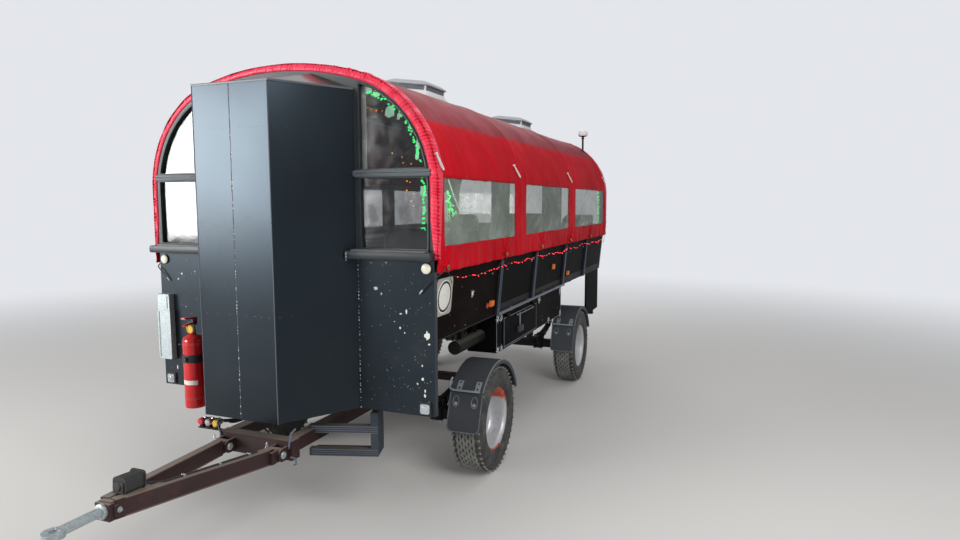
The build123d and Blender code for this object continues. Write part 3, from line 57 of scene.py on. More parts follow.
RIGHT, ALONG, UP = Vector((1, 0, 0)), Vector((0, 1, 0)), Vector((0, 0, 1))
FRONT_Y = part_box("front_panels")[0].y
REAR_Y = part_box("rear_wall")[0].y + 0.04
HALF_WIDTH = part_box("front_panels")[1].x
AXLE_HEIGHT = 0.42
FRONT_AXLE, REAR_AXLE = 1.187, 4.139
SAME_POINT = 2e-6
CHIP_DEPTH = 0.0006
SIDES = (1, -1)


def side_name(side: int) -> str:
    """Returns the name of a side, 1 for the right and -1 for the left."""
    return "right" if side > 0 else "left"


def even_turns(count: int, first: float = 0.0) -> list[float]:
    """Returns evenly spaced angles of one full turn, from a first share of a step."""
    return [2 * math.pi * (step + first) / count for step in range(count)]


def station(distance: float) -> float:
    """Returns the frame's Y at a distance behind the front panel."""
    return FRONT_Y + distance


def linear(colour: Colour) -> tuple[float, float, float, float]:
    """Turns a colour as it is seen, 0 to 255, into the linear one that shaders take."""
    parts = [(c / 255 / 12.92) if c <= 10 else ((c / 255 + 0.055) / 1.055) ** 2.4 for c in colour]
    return (*parts, 1.0)


class Shader:
    """A material's nodes, built with short calls around one Principled shader."""

    def __init__(self, name: str, colour: Colour, roughness: float, metallic: float, specular: float = 0.5,
                 tint: Colour = (255, 255, 255)) -> None:
        """Makes a material whose Principled shader has the given flat values.

        Args:
            name: Name of the material.
            colour: Base colour as it is seen.
            roughness: Roughness of the surface.
            metallic: 1 for bare metal, 0 for the rest.
            specular: Strength of its gloss, 0.5 for most paints.
            tint: Colour of its gloss as it is seen.
        """
        self.material = bpy.data.materials.new(name)
        self.material.use_nodes = True
        self.tree = self.material.node_tree
        self.surface = self.tree.nodes["Principled BSDF"]
        self.surface.inputs["Base Color"].default_value = linear(colour)
        self.surface.inputs["Roughness"].default_value = roughness
        self.surface.inputs["Metallic"].default_value = metallic
        self.surface.inputs["Specular IOR Level"].default_value = specular
        self.surface.inputs["Specular Tint"].default_value = linear(tint)
        self._place: Socket | None = None
        self._normal: Socket | None = None

    def node(self, kind: str, **settings: object) -> bpy.types.Node:
        """Adds a node of a kind with its settings."""
        made = self.tree.nodes.new(kind)
        for key, value in settings.items():
            setattr(made, key, value)
        return made

    def feed(self, socket: Socket, value: object) -> None:
        """Links a socket to a value socket, or sets its plain value."""
        if isinstance(value, Socket):
            self.tree.links.new(value, socket)
        else:
            socket.default_value = value

    def place(self) -> Socket:
        """Returns the point on the piece, in metres."""
        if self._place is None:
            self._place = self.node("ShaderNodeTexCoord").outputs["Object"]
        return self._place

    def stretched(self, scale: tuple[float, float, float]) -> Socket:
        """Returns the point on the piece with each axis scaled, for streaks and grain."""
        mapping = self.node("ShaderNodeMapping")
        mapping.inputs["Scale"].default_value = scale
        self.feed(mapping.inputs["Vector"], self.place())
        return mapping.outputs["Vector"]

    def axis(self, name: str) -> Socket:
        """Returns one of X, Y and Z of the point on the piece."""
        split = self.node("ShaderNodeSeparateXYZ")
        self.feed(split.inputs["Vector"], self.place())
        return split.outputs[name]

    def noise(self, scale: float, detail: float = 4.0, rough: float = 0.55,
              vector: Socket | None = None, distortion: float = 0.0) -> Socket:
        """Returns cloudy noise.

        Args:
            scale: Features per metre.
            detail: Number of finer layers.
            rough: Weight of the finer layers.
            vector: Point to read, or the piece's own.
            distortion: How much the noise is swirled.

        Returns:
            The noise from about 0.3 to 0.7.
        """
        made = self.node("ShaderNodeTexNoise")
        self.feed(made.inputs["Vector"], vector or self.place())
        made.inputs["Scale"].default_value = scale
        made.inputs["Detail"].default_value = detail
        made.inputs["Roughness"].default_value = rough
        made.inputs["Distortion"].default_value = distortion
        return made.outputs["Fac"]

    def cells(self, scale: float, vector: Socket | None = None,
              output: str = "Distance") -> Socket:
        """Returns a cell pattern, by the distance to the cells' middles or by their colours."""
        made = self.node("ShaderNodeTexVoronoi")
        self.feed(made.inputs["Vector"], vector or self.place())
        made.inputs["Scale"].default_value = scale
        return made.outputs[output]

    def ramp(self, value: Socket, start: float, end: float,
             low: float = 0.0, high: float = 1.0) -> Socket:
        """Returns a value that goes smoothly from low to high while another goes from start to end."""
        made = self.node("ShaderNodeMapRange", interpolation_type="SMOOTHSTEP")
        for name, number in (("From Min", start), ("From Max", end), ("To Min", low), ("To Max", high)):
            made.inputs[name].default_value = number
        self.feed(made.inputs["Value"], value)
        return made.outputs["Result"]

    def sum(self, operation: str, first: object, second: object) -> Socket:
        """Returns two values joined by one arithmetic operation."""
        made = self.node("ShaderNodeMath", operation=operation)
        self.feed(made.inputs[0], first)
        self.feed(made.inputs[1], second)
        return made.outputs["Value"]

    def blend(self, share: object, first: object, second: object) -> Socket:
        """Returns a colour between two, each a colour as it is seen or a socket."""
        made = self.node("ShaderNodeMix", data_type="RGBA", clamp_factor=True)
        self.feed(made.inputs["Factor"], share)
        for socket, value in ((made.inputs[6], first), (made.inputs[7], second)):
            self.feed(socket, value if isinstance(value, Socket) else linear(value))
        return made.outputs[2]

    def facing(self, axis: str, start: float, end: float) -> Socket:
        """Returns how far a surface faces along an axis, by its own normal."""
        split = self.node("ShaderNodeSeparateXYZ")
        self.feed(split.inputs["Vector"], self.node("ShaderNodeNewGeometry").outputs["Normal"])
        return self.ramp(split.outputs[axis], start, end)

    def colour(self, value: Socket) -> None:
        """Gives the surface a colour pattern."""
        self.feed(self.surface.inputs["Base Color"], value)

    def roughness(self, value: Socket) -> None:
        """Gives the surface a roughness pattern."""
        self.feed(self.surface.inputs["Roughness"], value)

    def bump(self, height: Socket, distance: float, strength: float = 1.0) -> None:
        """Adds relief, in metres, on top of the relief that is already there."""
        made = self.node("ShaderNodeBump")
        made.inputs["Strength"].default_value = strength
        made.inputs["Distance"].default_value = distance
        self.feed(made.inputs["Height"], height)
        if self._normal is not None:
            self.feed(made.inputs["Normal"], self._normal)
        self._normal = made.outputs["Normal"]
        self.feed(self.surface.inputs["Normal"], self._normal)


@dataclass(frozen=True)
class Finish:
    """What every finish has: a name, a colour as it is seen, and how rough and metallic it is."""

    name: str
    colour: Colour
    roughness: float = 0.5
    metallic: float = 0.0
    specular: float = 0.5
    tint: Colour = (255, 255, 255)

    def material(self) -> bpy.types.Material:
        """Returns the finish's material, made the first time it is asked for."""
        known = bpy.data.materials.get(self.name)
        return known or self.dress(
            Shader(self.name, self.colour, self.roughness, self.metallic, self.specular, self.tint)).material

    def dress(self, shader: Shader) -> Shader:
        """Adds the finish's patterns to its shader."""
        return shader


@dataclass(frozen=True)
class Paint(Finish):
    """Paint on steel or board, with tone changes, dust on what faces up, faint ripples and small chips."""

    dust: Colour = (120, 112, 100)
    dust_share: float = 0.35
    film_share: float = 0.05
    chip: Colour = (205, 203, 196)
    chip_share: float = 0.0
    ripple: float = 0.0
    rust_share: float = 0.0

    def dress(self, shader: Shader) -> Shader:
        """Adds soft tones, dust, rust, chips and ripples."""
        cloud = shader.noise(0.9, 3.0, 0.5)
        fine = shader.noise(24.0, 2.0)
        darker = tuple(round(c * 0.8) for c in self.colour)
        tone = shader.blend(shader.ramp(cloud, 0.35, 0.68), darker, self.colour)
        lying = shader.sum("MULTIPLY", shader.facing("Z", 0.3, 0.95), self.dust_share)
        film = shader.sum("MULTIPLY", shader.ramp(shader.noise(3.0, 5.0, 0.6), 0.45, 0.8), self.film_share)
        tone = shader.blend(shader.sum("ADD", lying, film), tone, self.dust)
        if self.rust_share:
            patches = shader.ramp(shader.noise(9.0, 8.0, 0.7), 0.62 - 0.2 * self.rust_share, 0.7)
            tone = shader.blend(shader.sum("MULTIPLY", patches, self.rust_share), tone, (104, 58, 34))
        if self.chip_share:
            flakes = shader.cells(16.0, shader.stretched((1.0, 1.0, 0.8)))
            size = shader.ramp(shader.noise(1.7, 2.0), 0.5, 0.75, 0.0, 0.14 * self.chip_share)
            torn = shader.sum("ADD", flakes, shader.sum("MULTIPLY", shader.noise(90.0, 2.0), 0.08))
            spot = shader.sum("LESS_THAN", torn, shader.sum("ADD", size, 0.03))
            tone = shader.blend(spot, tone, self.chip)
        shader.colour(tone)
        shader.roughness(shader.ramp(cloud, 0.3, 0.7, self.roughness - 0.03, self.roughness + 0.05))
        shader.bump(fine, 0.0003, 0.1)
        if self.ripple:
            shader.bump(shader.noise(1.6, 1.0, 0.4), self.ripple)
        return shader


@dataclass(frozen=True)
class Zinc(Finish):
    """Galvanised or bare metal with spangles, a fine grain and a little rust."""

    rust_share: float = 0.15

    def dress(self, shader: Shader) -> Shader:
        """Adds spangles, stains and grain."""
        spangle = shader.cells(130.0, output="Color")
        darker = tuple(round(c * 0.88) for c in self.colour)
        tone = shader.blend(shader.ramp(spangle, 0.1, 0.9), darker, self.colour)
        stain = shader.ramp(shader.noise(14.0, 7.0, 0.7), 0.55, 0.78, 0.0, self.rust_share)
        shader.colour(shader.blend(stain, tone, (118, 76, 48)))
        shader.roughness(shader.ramp(shader.noise(40.0), 0.3, 0.7, self.roughness - 0.1, self.roughness + 0.15))
        shader.bump(shader.noise(90.0, 2.0), 0.0002, 0.2)
        return shader


@dataclass(frozen=True)
class OldRim(Finish):
    """Silver paint over old red paint, which shows where the attribute red_left says."""

    red: Colour = (204, 74, 52)
    rust: Colour = (96, 52, 34)

    def dress(self, shader: Shader) -> Shader:
        """Adds the red areas with torn borders and the rust along the bead."""
        left = shader.node("ShaderNodeAttribute", attribute_name="red_left").outputs["Fac"]
        ragged = shader.sum("SUBTRACT", shader.noise(13.0, 8.0, 0.75), 0.5)
        torn = shader.sum("ADD", left, shader.sum("MULTIPLY", ragged, 1.5))
        red = shader.blend(shader.ramp(shader.noise(26.0, 6.0, 0.7), 0.45, 0.7), self.red, (226, 128, 104))
        tone = shader.blend(shader.ramp(torn, 0.42, 0.58), self.colour, red)
        bead = shader.ramp(shader.noise(34.0, 8.0, 0.75), 0.55, 0.68)
        rusty = shader.sum("MULTIPLY", bead, shader.ramp(left, 0.3, 0.6))
        shader.colour(shader.blend(rusty, tone, self.rust))
        shader.roughness(shader.ramp(shader.noise(30.0), 0.3, 0.7, self.roughness - 0.08, self.roughness + 0.15))
        shader.bump(shader.noise(60.0, 4.0), 0.0006, 0.4)
        return shader


@dataclass(frozen=True)
class Tarpaulin(Finish):
    """Coated red fabric: a fine weave, deep red on its sides, and grey above a line on the roof, where dust and a
    painted reflection lie.
    """

    # Roof colours, used above the line: dust together with a painted reflection.
    roof: Colour = (132, 42, 52)
    roof_paler_dust_and_reflection: Colour = (158, 82, 86)
    grey_roof_line_height: float = 2.694
    grey_roof_line_rise: float = 0.0128
    shadow: Colour = (172, 6, 22)

    def dress(self, shader: Shader) -> Shader:
        """Adds the weave, the grey roof of dust and painted reflection, and soft stains."""
        cloud = shader.noise(1.4, 3.0, 0.5)
        side = shader.blend(shader.ramp(cloud, 0.32, 0.7), self.shadow, self.colour)
        wavy = shader.sum("MULTIPLY", shader.sum("SUBTRACT", shader.noise(3.0, 3.0), 0.5), 0.04)
        # Above a wavy line that rises towards the rear, the fabric turns grey: dust and painted reflection.
        slope = shader.sum("MULTIPLY", shader.axis("Y"), -self.grey_roof_line_rise)
        edge = shader.sum("ADD", shader.sum("ADD", shader.axis("Z"), slope), wavy)
        top = shader.ramp(edge, self.grey_roof_line_height - 0.004, self.grey_roof_line_height + 0.014)
        share = shader.ramp(shader.noise(2.2, 6.0, 0.6), 0.35, 0.7, 0.0, 0.5)
        shader.colour(shader.blend(top, side, shader.blend(share, self.roof, self.roof_paler_dust_and_reflection)))
        shader.roughness(shader.ramp(shader.noise(6.0), 0.3, 0.7, self.roughness - 0.04, self.roughness + 0.06))
        weave = shader.node("ShaderNodeTexWave", wave_type="BANDS", bands_direction="Z")
        weave.inputs["Scale"].default_value = 160.0
        weave.inputs["Distortion"].default_value = 1.2
        shader.feed(weave.inputs["Vector"], shader.place())
        shader.bump(weave.outputs["Fac"], 0.0002, 0.2)
        shader.bump(shader.noise(6.0, 2.0, 0.5, shader.stretched((1.0, 1.0, 0.5))), 0.003, 0.15)
        return shader


@dataclass(frozen=True)
class Clear(Finish):
    """Glass or clear film: mostly see-through, with haze, smears and dust."""

    cover: float = 0.2
    haze: float = 0.15
    wave: float = 0.0
    index: float = 1.5

    def dress(self, shader: Shader) -> Shader:
        """Adds haze where the surface is scuffed, and waves for film."""
        smear = shader.ramp(shader.noise(3.0, 6.0, 0.6), 0.36, 0.72, self.cover, self.cover + self.haze)
        shader.feed(shader.surface.inputs["Alpha"], smear)
        shader.surface.inputs["IOR"].default_value = self.index
        shader.roughness(shader.ramp(shader.noise(9.0, 4.0), 0.3, 0.7, self.roughness, self.roughness + 0.12))
        if self.wave:
            shader.bump(shader.noise(6.0, 2.0, 0.4, shader.stretched((1.0, 1.0, 0.6))), self.wave)
        return shader


@dataclass(frozen=True)
class Rubber(Finish):
    """Tyre and hose rubber with dust caught in its grain."""

    dust: Colour = (124, 116, 104)
    dust_share: float = 0.3

    def dress(self, shader: Shader) -> Shader:
        """Adds dust clouds and a fine grain."""
        grime = shader.ramp(shader.noise(10.0, 8.0, 0.7), 0.38, 0.72, 0.0, self.dust_share)
        shader.colour(shader.blend(grime, self.colour, self.dust))
        shader.roughness(shader.ramp(shader.noise(30.0), 0.3, 0.7, self.roughness - 0.08, self.roughness + 0.1))
        shader.bump(shader.noise(160.0, 3.0), 0.0005, 0.4)
        return shader


@dataclass(frozen=True)
class Timber(Finish):
    """Varnished boards with grain along the wagon."""

    grain: Colour = (110, 70, 42)

    def dress(self, shader: Shader) -> Shader:
        """Adds grain lines, tone changes and worn varnish."""
        line = shader.noise(14.0, 6.0, 0.65, shader.stretched((3.0, 0.12, 3.0)), 0.6)
        tone = shader.blend(shader.ramp(line, 0.38, 0.62), self.grain, self.colour)
        shader.colour(shader.blend(shader.ramp(shader.noise(2.0), 0.4, 0.7, 0.0, 0.25), tone, (176, 136, 96)))
        shader.roughness(shader.ramp(line, 0.3, 0.7, self.roughness, self.roughness + 0.15))
        shader.bump(line, 0.0006, 0.5)
        return shader


@dataclass(frozen=True)
class Glow(Finish):
    """A small lamp that shines in its own colour; the pale tape takes it too, as painted glow, though it is no lamp."""

    power: float = 2.0

    def dress(self, shader: Shader) -> Shader:
        """Adds the light, a little uneven over the lamp."""
        shader.surface.inputs["Emission Color"].default_value = linear(self.colour)
        shader.feed(shader.surface.inputs["Emission Strength"],
                    shader.ramp(shader.noise(60.0), 0.3, 0.7, self.power * 0.6, self.power * 1.2))
        return shader


@dataclass(frozen=True)
class Moulding(Finish):
    """Moulded plastic: even colour with a fine grain, scuffs and dust."""

    scuff: Colour = (112, 114, 114)
    scuff_share: float = 0.3

    def dress(self, shader: Shader) -> Shader:
        """Adds scuffs, dust on upper faces and a moulded grain."""
        worn = shader.ramp(shader.noise(12.0, 8.0, 0.7), 0.45, 0.75, 0.0, self.scuff_share)
        tone = shader.blend(worn, self.colour, self.scuff)
        lying = shader.sum("MULTIPLY", shader.facing("Z", 0.2, 0.95), self.scuff_share * 0.7)
        shader.colour(shader.blend(lying, tone, self.scuff))
        shader.roughness(shader.ramp(worn, 0.0, 0.3, self.roughness, self.roughness + 0.2))
        shader.bump(shader.noise(220.0, 2.0), 0.0003, 0.4)
        return shader


# Sky blue tint of the gloss on the black panel and cabin paints: a painted reflection of a blue sky.
PAINTED_SKY_REFLECTION_TINT: Colour = (202, 227, 246)
BLACK_PANEL = Paint("black_panel_paint", (25, 31, 36), 0.3, specular=0.36, tint=PAINTED_SKY_REFLECTION_TINT, ripple=0.003,
                    chip_share=0.25, dust_share=0.25)
CABIN_PAINT = Paint("cabin_paint", (15, 20, 25), 0.24, specular=0.42, tint=PAINTED_SKY_REFLECTION_TINT, ripple=0.003, dust_share=0.3,
                    film_share=0.02)
SIDE_PAINT = Paint("side_board_paint", (13, 12, 12), 0.6, specular=0.03, ripple=0.003, dust_share=0.2, film_share=0.02)
RIB_PAINT = Paint("rib_paint", (44, 53, 66), 0.45, specular=0.12, dust_share=0.3)
CHASSIS_PAINT = Paint("chassis_paint", (22, 23, 25), 0.6, specular=0.2, dust_share=0.5, rust_share=0.25)
BROWN_PAINT = Paint("drawbar_paint", (54, 32, 34), 0.5, specular=0.35, dust=(146, 134, 122), dust_share=0.7,
                    rust_share=0.25)
STEP_PAINT = Paint("step_paint", (44, 52, 64), 0.5, dust_share=0.5)
STEP_EDGE = Paint("step_edge_paint", (96, 105, 114), 0.45, dust_share=0.5)
FRAME_PAINT = Paint("window_frame_paint", (46, 52, 56), 0.36, specular=0.35, dust_share=0.35)
TARP_RED = Tarpaulin("tarpaulin_red", (196, 10, 30), 0.55, specular=0.06)
# The hem is the tarpaulin's fabric in a lighter pink red: a painted highlight of the hem where it faces the front
# light.
HEM_RED_PAINTED_HIGHLIGHT = Tarpaulin("hem_red_painted_highlight", (236, 58, 88), 0.38, specular=0.4, grey_roof_line_height=9.0, shadow=(216, 38, 66))
EYELET_METAL = Zinc("eyelet_brass", (158, 140, 100), 0.35, 0.9)
STRAP_WHITE = Moulding("strap_white", (216, 216, 210), 0.6, scuff=(150, 146, 140), scuff_share=0.3)
CHIP_WHITE = Moulding("chip_white", (214, 214, 206), 0.7, scuff=(176, 172, 160), scuff_share=0.4)
SCUFF_GREY = Moulding("scuff_grey", (92, 98, 108), 0.6, scuff=(120, 124, 130))
DARK_GAP = Moulding("dark_gap", (12, 12, 13), 0.8, scuff_share=0.05)
SEAL_BLACK = Moulding("seal_black", (22, 23, 25), 0.5, scuff=(74, 74, 72), scuff_share=0.25)
# Lighter grey copy of the cabin paint, used on its corners, roof edge and seam lip: painted highlight.
CABIN_EDGE_PAINTED_HIGHLIGHT = Paint("cabin_edge_painted_highlight", (92, 99, 110), 0.4, dust_share=0.2)
# Lighter copy of the window frame paint on the crossbar covers and ledge steps: painted sheen, with real chips and
# dust.
FRAME_EDGE_PAINTED_SHEEN = Paint("frame_edge_painted_sheen", (104, 114, 120), 0.45, dust_share=0.35, chip_share=0.3)
RIB_EDGE = Paint("rib_edge_paint", (104, 114, 130), 0.45, dust_share=0.3)
RAIL_LIGHT = Zinc("rail_light", (128, 134, 142), 0.4, 0.7, rust_share=0.1)
BAY_BROWN = Paint("bay_brown_paint", (19, 11, 10), 0.6, specular=0.02, dust_share=0.2, film_share=0.03)
GUARD_EDGE = Moulding("guard_edge", (80, 90, 100), 0.5, scuff=(150, 152, 150), scuff_share=0.55)
BROWN_EDGE = Paint("beam_edge_paint", (104, 78, 74), 0.55, dust=(158, 146, 132), dust_share=0.6, rust_share=0.3)
REFLECTOR_CREAM = Moulding("reflector_cream", (228, 224, 202), 0.25, scuff=(190, 184, 160), scuff_share=0.2)
LENS_CLEAR = Moulding("lens_clear", (168, 178, 182), 0.1, scuff=(96, 104, 108), scuff_share=0.7)
LENS_ORANGE = Moulding("lens_orange", (232, 120, 22), 0.2, scuff=(190, 110, 50), scuff_share=0.3)
LENS_RED = Moulding("lens_red", (178, 30, 24), 0.2, scuff=(140, 50, 44), scuff_share=0.3)
SIGN_GREY = Moulding("sign_plate_grey", (164, 160, 152), 0.5, scuff=(110, 106, 100), scuff_share=0.4)
GAUGE_YELLOW = Moulding("gauge_yellow", (222, 178, 40), 0.35, scuff=(170, 140, 60), scuff_share=0.2)
# Lighter copy of the bottle red on its pressed rings: painted highlight.
PRESSED_LINE_HIGHLIGHT = Paint("pressed_line_painted_highlight", (240, 92, 92), 0.25, dust_share=0.1, film_share=0.0)
LEVER_RED = Paint("lever_red", (226, 22, 28), 0.3, dust_share=0.1)
CAP_RED = Moulding("cap_red", (200, 34, 52), 0.4, scuff=(150, 80, 84))
CAP_YELLOW = Moulding("cap_yellow", (214, 172, 42), 0.4, scuff=(160, 140, 80))
COUPLING_SILVER = Zinc("coupling_silver", (186, 188, 186), 0.3, 0.85)
WIRE_GREEN = Moulding("wire_green", (22, 66, 42), 0.5, scuff=(60, 80, 64))
ELASTIC_BLACK = Rubber("elastic_black", (26, 26, 28), 0.7, dust_share=0.25)
# The pale tape is no lamp: its glow is painted light.
TAPE_PAINTED_GLOW = Glow("tape_painted_glow", (190, 240, 216), 0.4, power=0.65)
BULB_RED = Glow("bulb_red", (255, 36, 54), 0.3, power=4.5)
BULB_GREEN = Glow("bulb_green", (40, 235, 110), 0.3, power=2.4)
BULB_WARM = Glow("bulb_warm", (255, 160, 40), 0.3, power=3.0)
WINDOW_FILM = Clear("clear_window_film", (146, 156, 144), 0.16, cover=0.44, haze=0.3, wave=0.006)
GLASS = Clear("pane_glass", (20, 26, 28), 0.03, cover=0.28, haze=0.06, index=2.2)
GALVANISED = Zinc("galvanised_steel", (178, 188, 190), 0.42, 0.55, rust_share=0.08)
RIM_SILVER = Zinc("rim_silver", (190, 194, 196), 0.36, 0.65, rust_share=0.1)
RIM_OLD = OldRim("rim_silver_over_red", (190, 194, 196), 0.36, 0.5)
TYRE_RUBBER = Rubber("tyre_rubber", (40, 41, 43), 0.62, dust_share=0.35)
TREAD_RUBBER = Rubber("tread_rubber", (112, 113, 110), 0.8, dust=(152, 150, 142), dust_share=0.7)
HOSE_BLACK = Rubber("hose_rubber", (24, 24, 26), 0.5, dust_share=0.3)
# The guards are black plastic; this lighter blue-grey base colour is painted sheen, with real scuffs and dust.
GUARD_PLASTIC_PAINTED_SHEEN = Moulding("guard_plastic", (98, 110, 122), 0.42, scuff=(150, 160, 166), scuff_share=0.6)
BENCH_WOOD = Timber("bench_wood", (150, 104, 66), 0.4)
DECK_WOOD = Timber("deck_board", (92, 78, 64), 0.6, grain=(60, 50, 42))
HATCH_GREY = Moulding("hatch_grey", (122, 128, 130), 0.36, scuff=(104, 106, 102), scuff_share=0.4)
HATCH_WHITE = Moulding("hatch_white", (222, 224, 224), 0.4, scuff=(170, 168, 160), scuff_share=0.25)
EXTINGUISHER_RED = Paint("bottle_red", (232, 20, 28), 0.2, dust_share=0.1, film_share=0.0)
LENS_WHITE = Moulding("lamp_lens_white", (226, 228, 220), 0.2, scuff=(180, 178, 168), scuff_share=0.2)
BEACON_WHITE = Moulding("beacon_white", (232, 234, 234), 0.25, scuff=(190, 190, 184), scuff_share=0.15)
PLATE_WHITE = Moulding("blank_plate_white", (220, 220, 212), 0.5, scuff=(150, 146, 136), scuff_share=0.35)
COUPLING_METAL = Zinc("coupling_metal", (170, 150, 96), 0.35, 0.9)

NODE_FINISHES: dict[Finish, tuple[str, ...]] = {
    BLACK_PANEL: ("front_panels", "rear_wall", "cabin_base"),
    CABIN_PAINT: ("cabin_walls", "cabin_roof"),
    SIDE_PAINT: ("side_walls", "lockers", "flap_right", "flap_left", "rear_skirts", "door_leaf", "bench_panels"),
    RIB_PAINT: ("side_ribs",),
    FRAME_PAINT: ("front_bulkhead", "hoops", "purlins"),
    CHASSIS_PAINT: (
        "chassis_rails", "cross_members", "upper_ring", "lower_ring", "front_axle", "rear_axle", "rear_frame",
        "rear_bumper", "long_tube", "ladder"),
    BROWN_PAINT: ("steer_frame", "drawbar_frame"),
    STEP_PAINT: ("step_frame",),
    GALVANISED: ("towing_eye", "panel_holders"),
    GUARD_PLASTIC_PAINTED_SHEEN: ("front_mudguards", "rear_mudguards"),
    BENCH_WOOD: ("bench_seats",),
    DECK_WOOD: ("deck",),
    GLASS: ("end_panes", "door_pane"),
    WINDOW_FILM: ("tarp_windows",),
    TARP_RED: ("tarp_roof", "tarp_sides", "tarp_hems"),
    HATCH_GREY: ("hatch_lid_1", "hatch_lid_2"),
    HATCH_WHITE: ("hatch_frames",),
    EXTINGUISHER_RED: ("extinguisher",),
    LENS_WHITE: ("lamps",),
    BEACON_WHITE: ("beacon",),
    PLATE_WHITE: ("blank_plates",),
    COUPLING_METAL: ("couplings",),
    HOSE_BLACK: ("coupling_hoses", "socket_box"),
    TYRE_RUBBER: tuple(f"tyre_{end}_{side}" for end in ("front", "rear") for side in ("right", "left")),
    RIM_SILVER: tuple(f"rim_{end}_{side}" for end in ("front", "rear") for side in ("right", "left")),
}


def dress_nodes() -> None:
    """Gives every CAD node its own finish."""
    for finish, nodes in NODE_FINISHES.items():
        for name in nodes:
            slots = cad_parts[name].material_slots
            for slot in slots:
                slot.material = finish.material()
            LOG.info("node %s in %s", name, finish.name)


class Form:
    """Collects the faces of one piece, in the frame's metres."""

    def __init__(self) -> None:
        """Starts an empty piece."""
        self.mesh = bmesh.new()

    def grid(self, rows: Sequence[Sequence[Vector]], closed: bool = False,
             keep: Callable[[int, int], bool] = lambda row, column: True) -> None:
        """Joins rows of points, all of one length, into four-sided faces.

        Args:
            rows: The rows of points.
            closed: Whether each row's end meets its start.
            keep: Whether the face after a row and a column is made.
        """
        made = [[self.mesh.verts.new(point) for point in row] for row in rows]
        across = len(rows[0]) - (0 if closed else 1)
        for row in range(len(rows) - 1):
            for column in range(across):
                if keep(row, column):
                    after = (column + 1) % len(rows[0])
                    self.mesh.faces.new(
                        (made[row][column], made[row][after], made[row + 1][after], made[row + 1][column]))

    def cap(self, ring: Iterable[Vector]) -> None:
        """Closes a ring of points with one face."""
        self.mesh.faces.new([self.mesh.verts.new(point) for point in ring])

    def block(self, low: Sequence[float], high: Sequence[float], place: Matrix = Matrix.Identity(4)) -> None:
        """Adds a box between two corners of its own space, put in place by a matrix."""
        ring = [(low[0], low[1]), (high[0], low[1]), (high[0], high[1]), (low[0], high[1])]
        rows = [[place @ Vector((x, y, z)) for x, y in ring] for z in (low[2], high[2])]
        self.grid(rows, closed=True)
        for row in rows:
            self.cap(row)

    def plate(self, outline: Sequence[Vector], thickness: Vector) -> None:
        """Adds a flat plate with an outline, as thick as a vector says."""
        rows = [list(outline), [point + thickness for point in outline]]
        self.grid(rows, closed=True)
        for row in rows:
            self.cap(row)

    def sweep(self, path: Sequence[Vector], profile: Profile, up: Vector, closed: bool = False) -> None:
        """Draws a profile along a path that lies in one plane.

        Args:
            path: Points of the path.
            profile: The section's points, sideways from the path and along up.
            up: The plane's normal.
            closed: Whether the path's end meets its start.
        """
        rings = []
        for place, point in enumerate(path):
            ins = point - path[place - 1] if place or closed else path[place + 1] - point
            outs = path[(place + 1) % len(path)] - point if place < len(path) - 1 or closed else ins
            along = (ins.normalized() + outs.normalized()).normalized()
            side = along.cross(up).normalized()
            stretch = 1 / max(0.4, side.dot(ins.cross(up).normalized()))
            rings.append([point + side * (across * stretch) + up * rise for across, rise in profile])
        self.grid(rings + rings[:1] if closed else rings, closed=True)
        if not closed:
            self.cap(rings[0])
            self.cap(rings[-1])

    def tube(self, path: Sequence[Vector], radius: float, sides: int = 10) -> None:
        """Draws a round bar along a path of points."""
        runs = [(b - a).normalized() for a, b in zip(path, path[1:])]
        side = runs[0].orthogonal().normalized()
        rings = []
        for place, point in enumerate(path):
            along = (runs[max(place - 1, 0)] + runs[min(place, len(runs) - 1)]).normalized()
            side = (side - along * side.dot(along)).normalized()
            other = along.cross(side)
            rings.append([
                point + (side * math.cos(turn) + other * math.sin(turn)) * radius for turn in even_turns(sides)])
        self.grid(rings, closed=True)
        self.cap(rings[0])
        self.cap(rings[-1])

    def lathe(self, profile: Profile, place: Matrix, sides: int = 32) -> None:
        """Turns a profile of radius and height about its own Z, put in place by a matrix."""
        self.grid([
            [place @ Vector((math.cos(turn) * radius, math.sin(turn) * radius, height)) for turn in even_turns(sides)]
            for radius, height in profile], closed=True)

    def piece(self, name: str, finish: Finish, body: str = "wagon", replaces: Sequence[str] = (),
              slot: str = "", bevel: float = 0.0, sharp: float = 35.0) -> bpy.types.Object:
        """Makes the collected faces one piece of the wagon.

        Args:
            name: The piece's name.
            finish: Its finish.
            body: The CAD body that it rides on.
            replaces: The CAD nodes that it stands for.
            slot: A material slot name; not used.
            bevel: Width of its rounded edges.
            sharp: Angle in degrees past which an edge stays sharp.

        Returns:
            The new object.
        """
        bmesh.ops.remove_doubles(self.mesh, verts=self.mesh.verts, dist=SAME_POINT)
        bmesh.ops.delete(self.mesh, geom=[v for v in self.mesh.verts if not v.link_faces], context="VERTS")
        bmesh.ops.recalc_face_normals(self.mesh, faces=self.mesh.faces)
        data = bpy.data.meshes.new(name)
        self.mesh.to_mesh(data)
        self.mesh.free()
        return settle(name, data, finish, body, replaces, bevel, sharp)


def settle(name: str, data: bpy.types.Mesh, finish: Finish, body: str, replaces: Sequence[str] = (),
           bevel: float = 0.0, sharp: float = 35.0) -> bpy.types.Object:
    """Puts a finished mesh in the scene as a piece that rides on a body; the values are those of Form.piece."""
    made = bpy.data.objects.new(name, data)
    bpy.context.scene.collection.objects.link(made)
    data.materials.clear()
    data.materials.append(finish.material())
    for face in data.polygons:
        face.use_smooth = True
    data.set_sharp_from_angle(angle=math.radians(sharp))
    if bevel:
        edges = made.modifiers.new("edges", "BEVEL")
        edges.width = bevel
        edges.segments = 2
        edges.limit_method = "ANGLE"
        edges.angle_limit = math.radians(sharp)
    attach(made, body)
    if replaces:
        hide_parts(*replaces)
    LOG.info("piece %s on %s: %d faces", name, body, len(data.polygons))
    return made


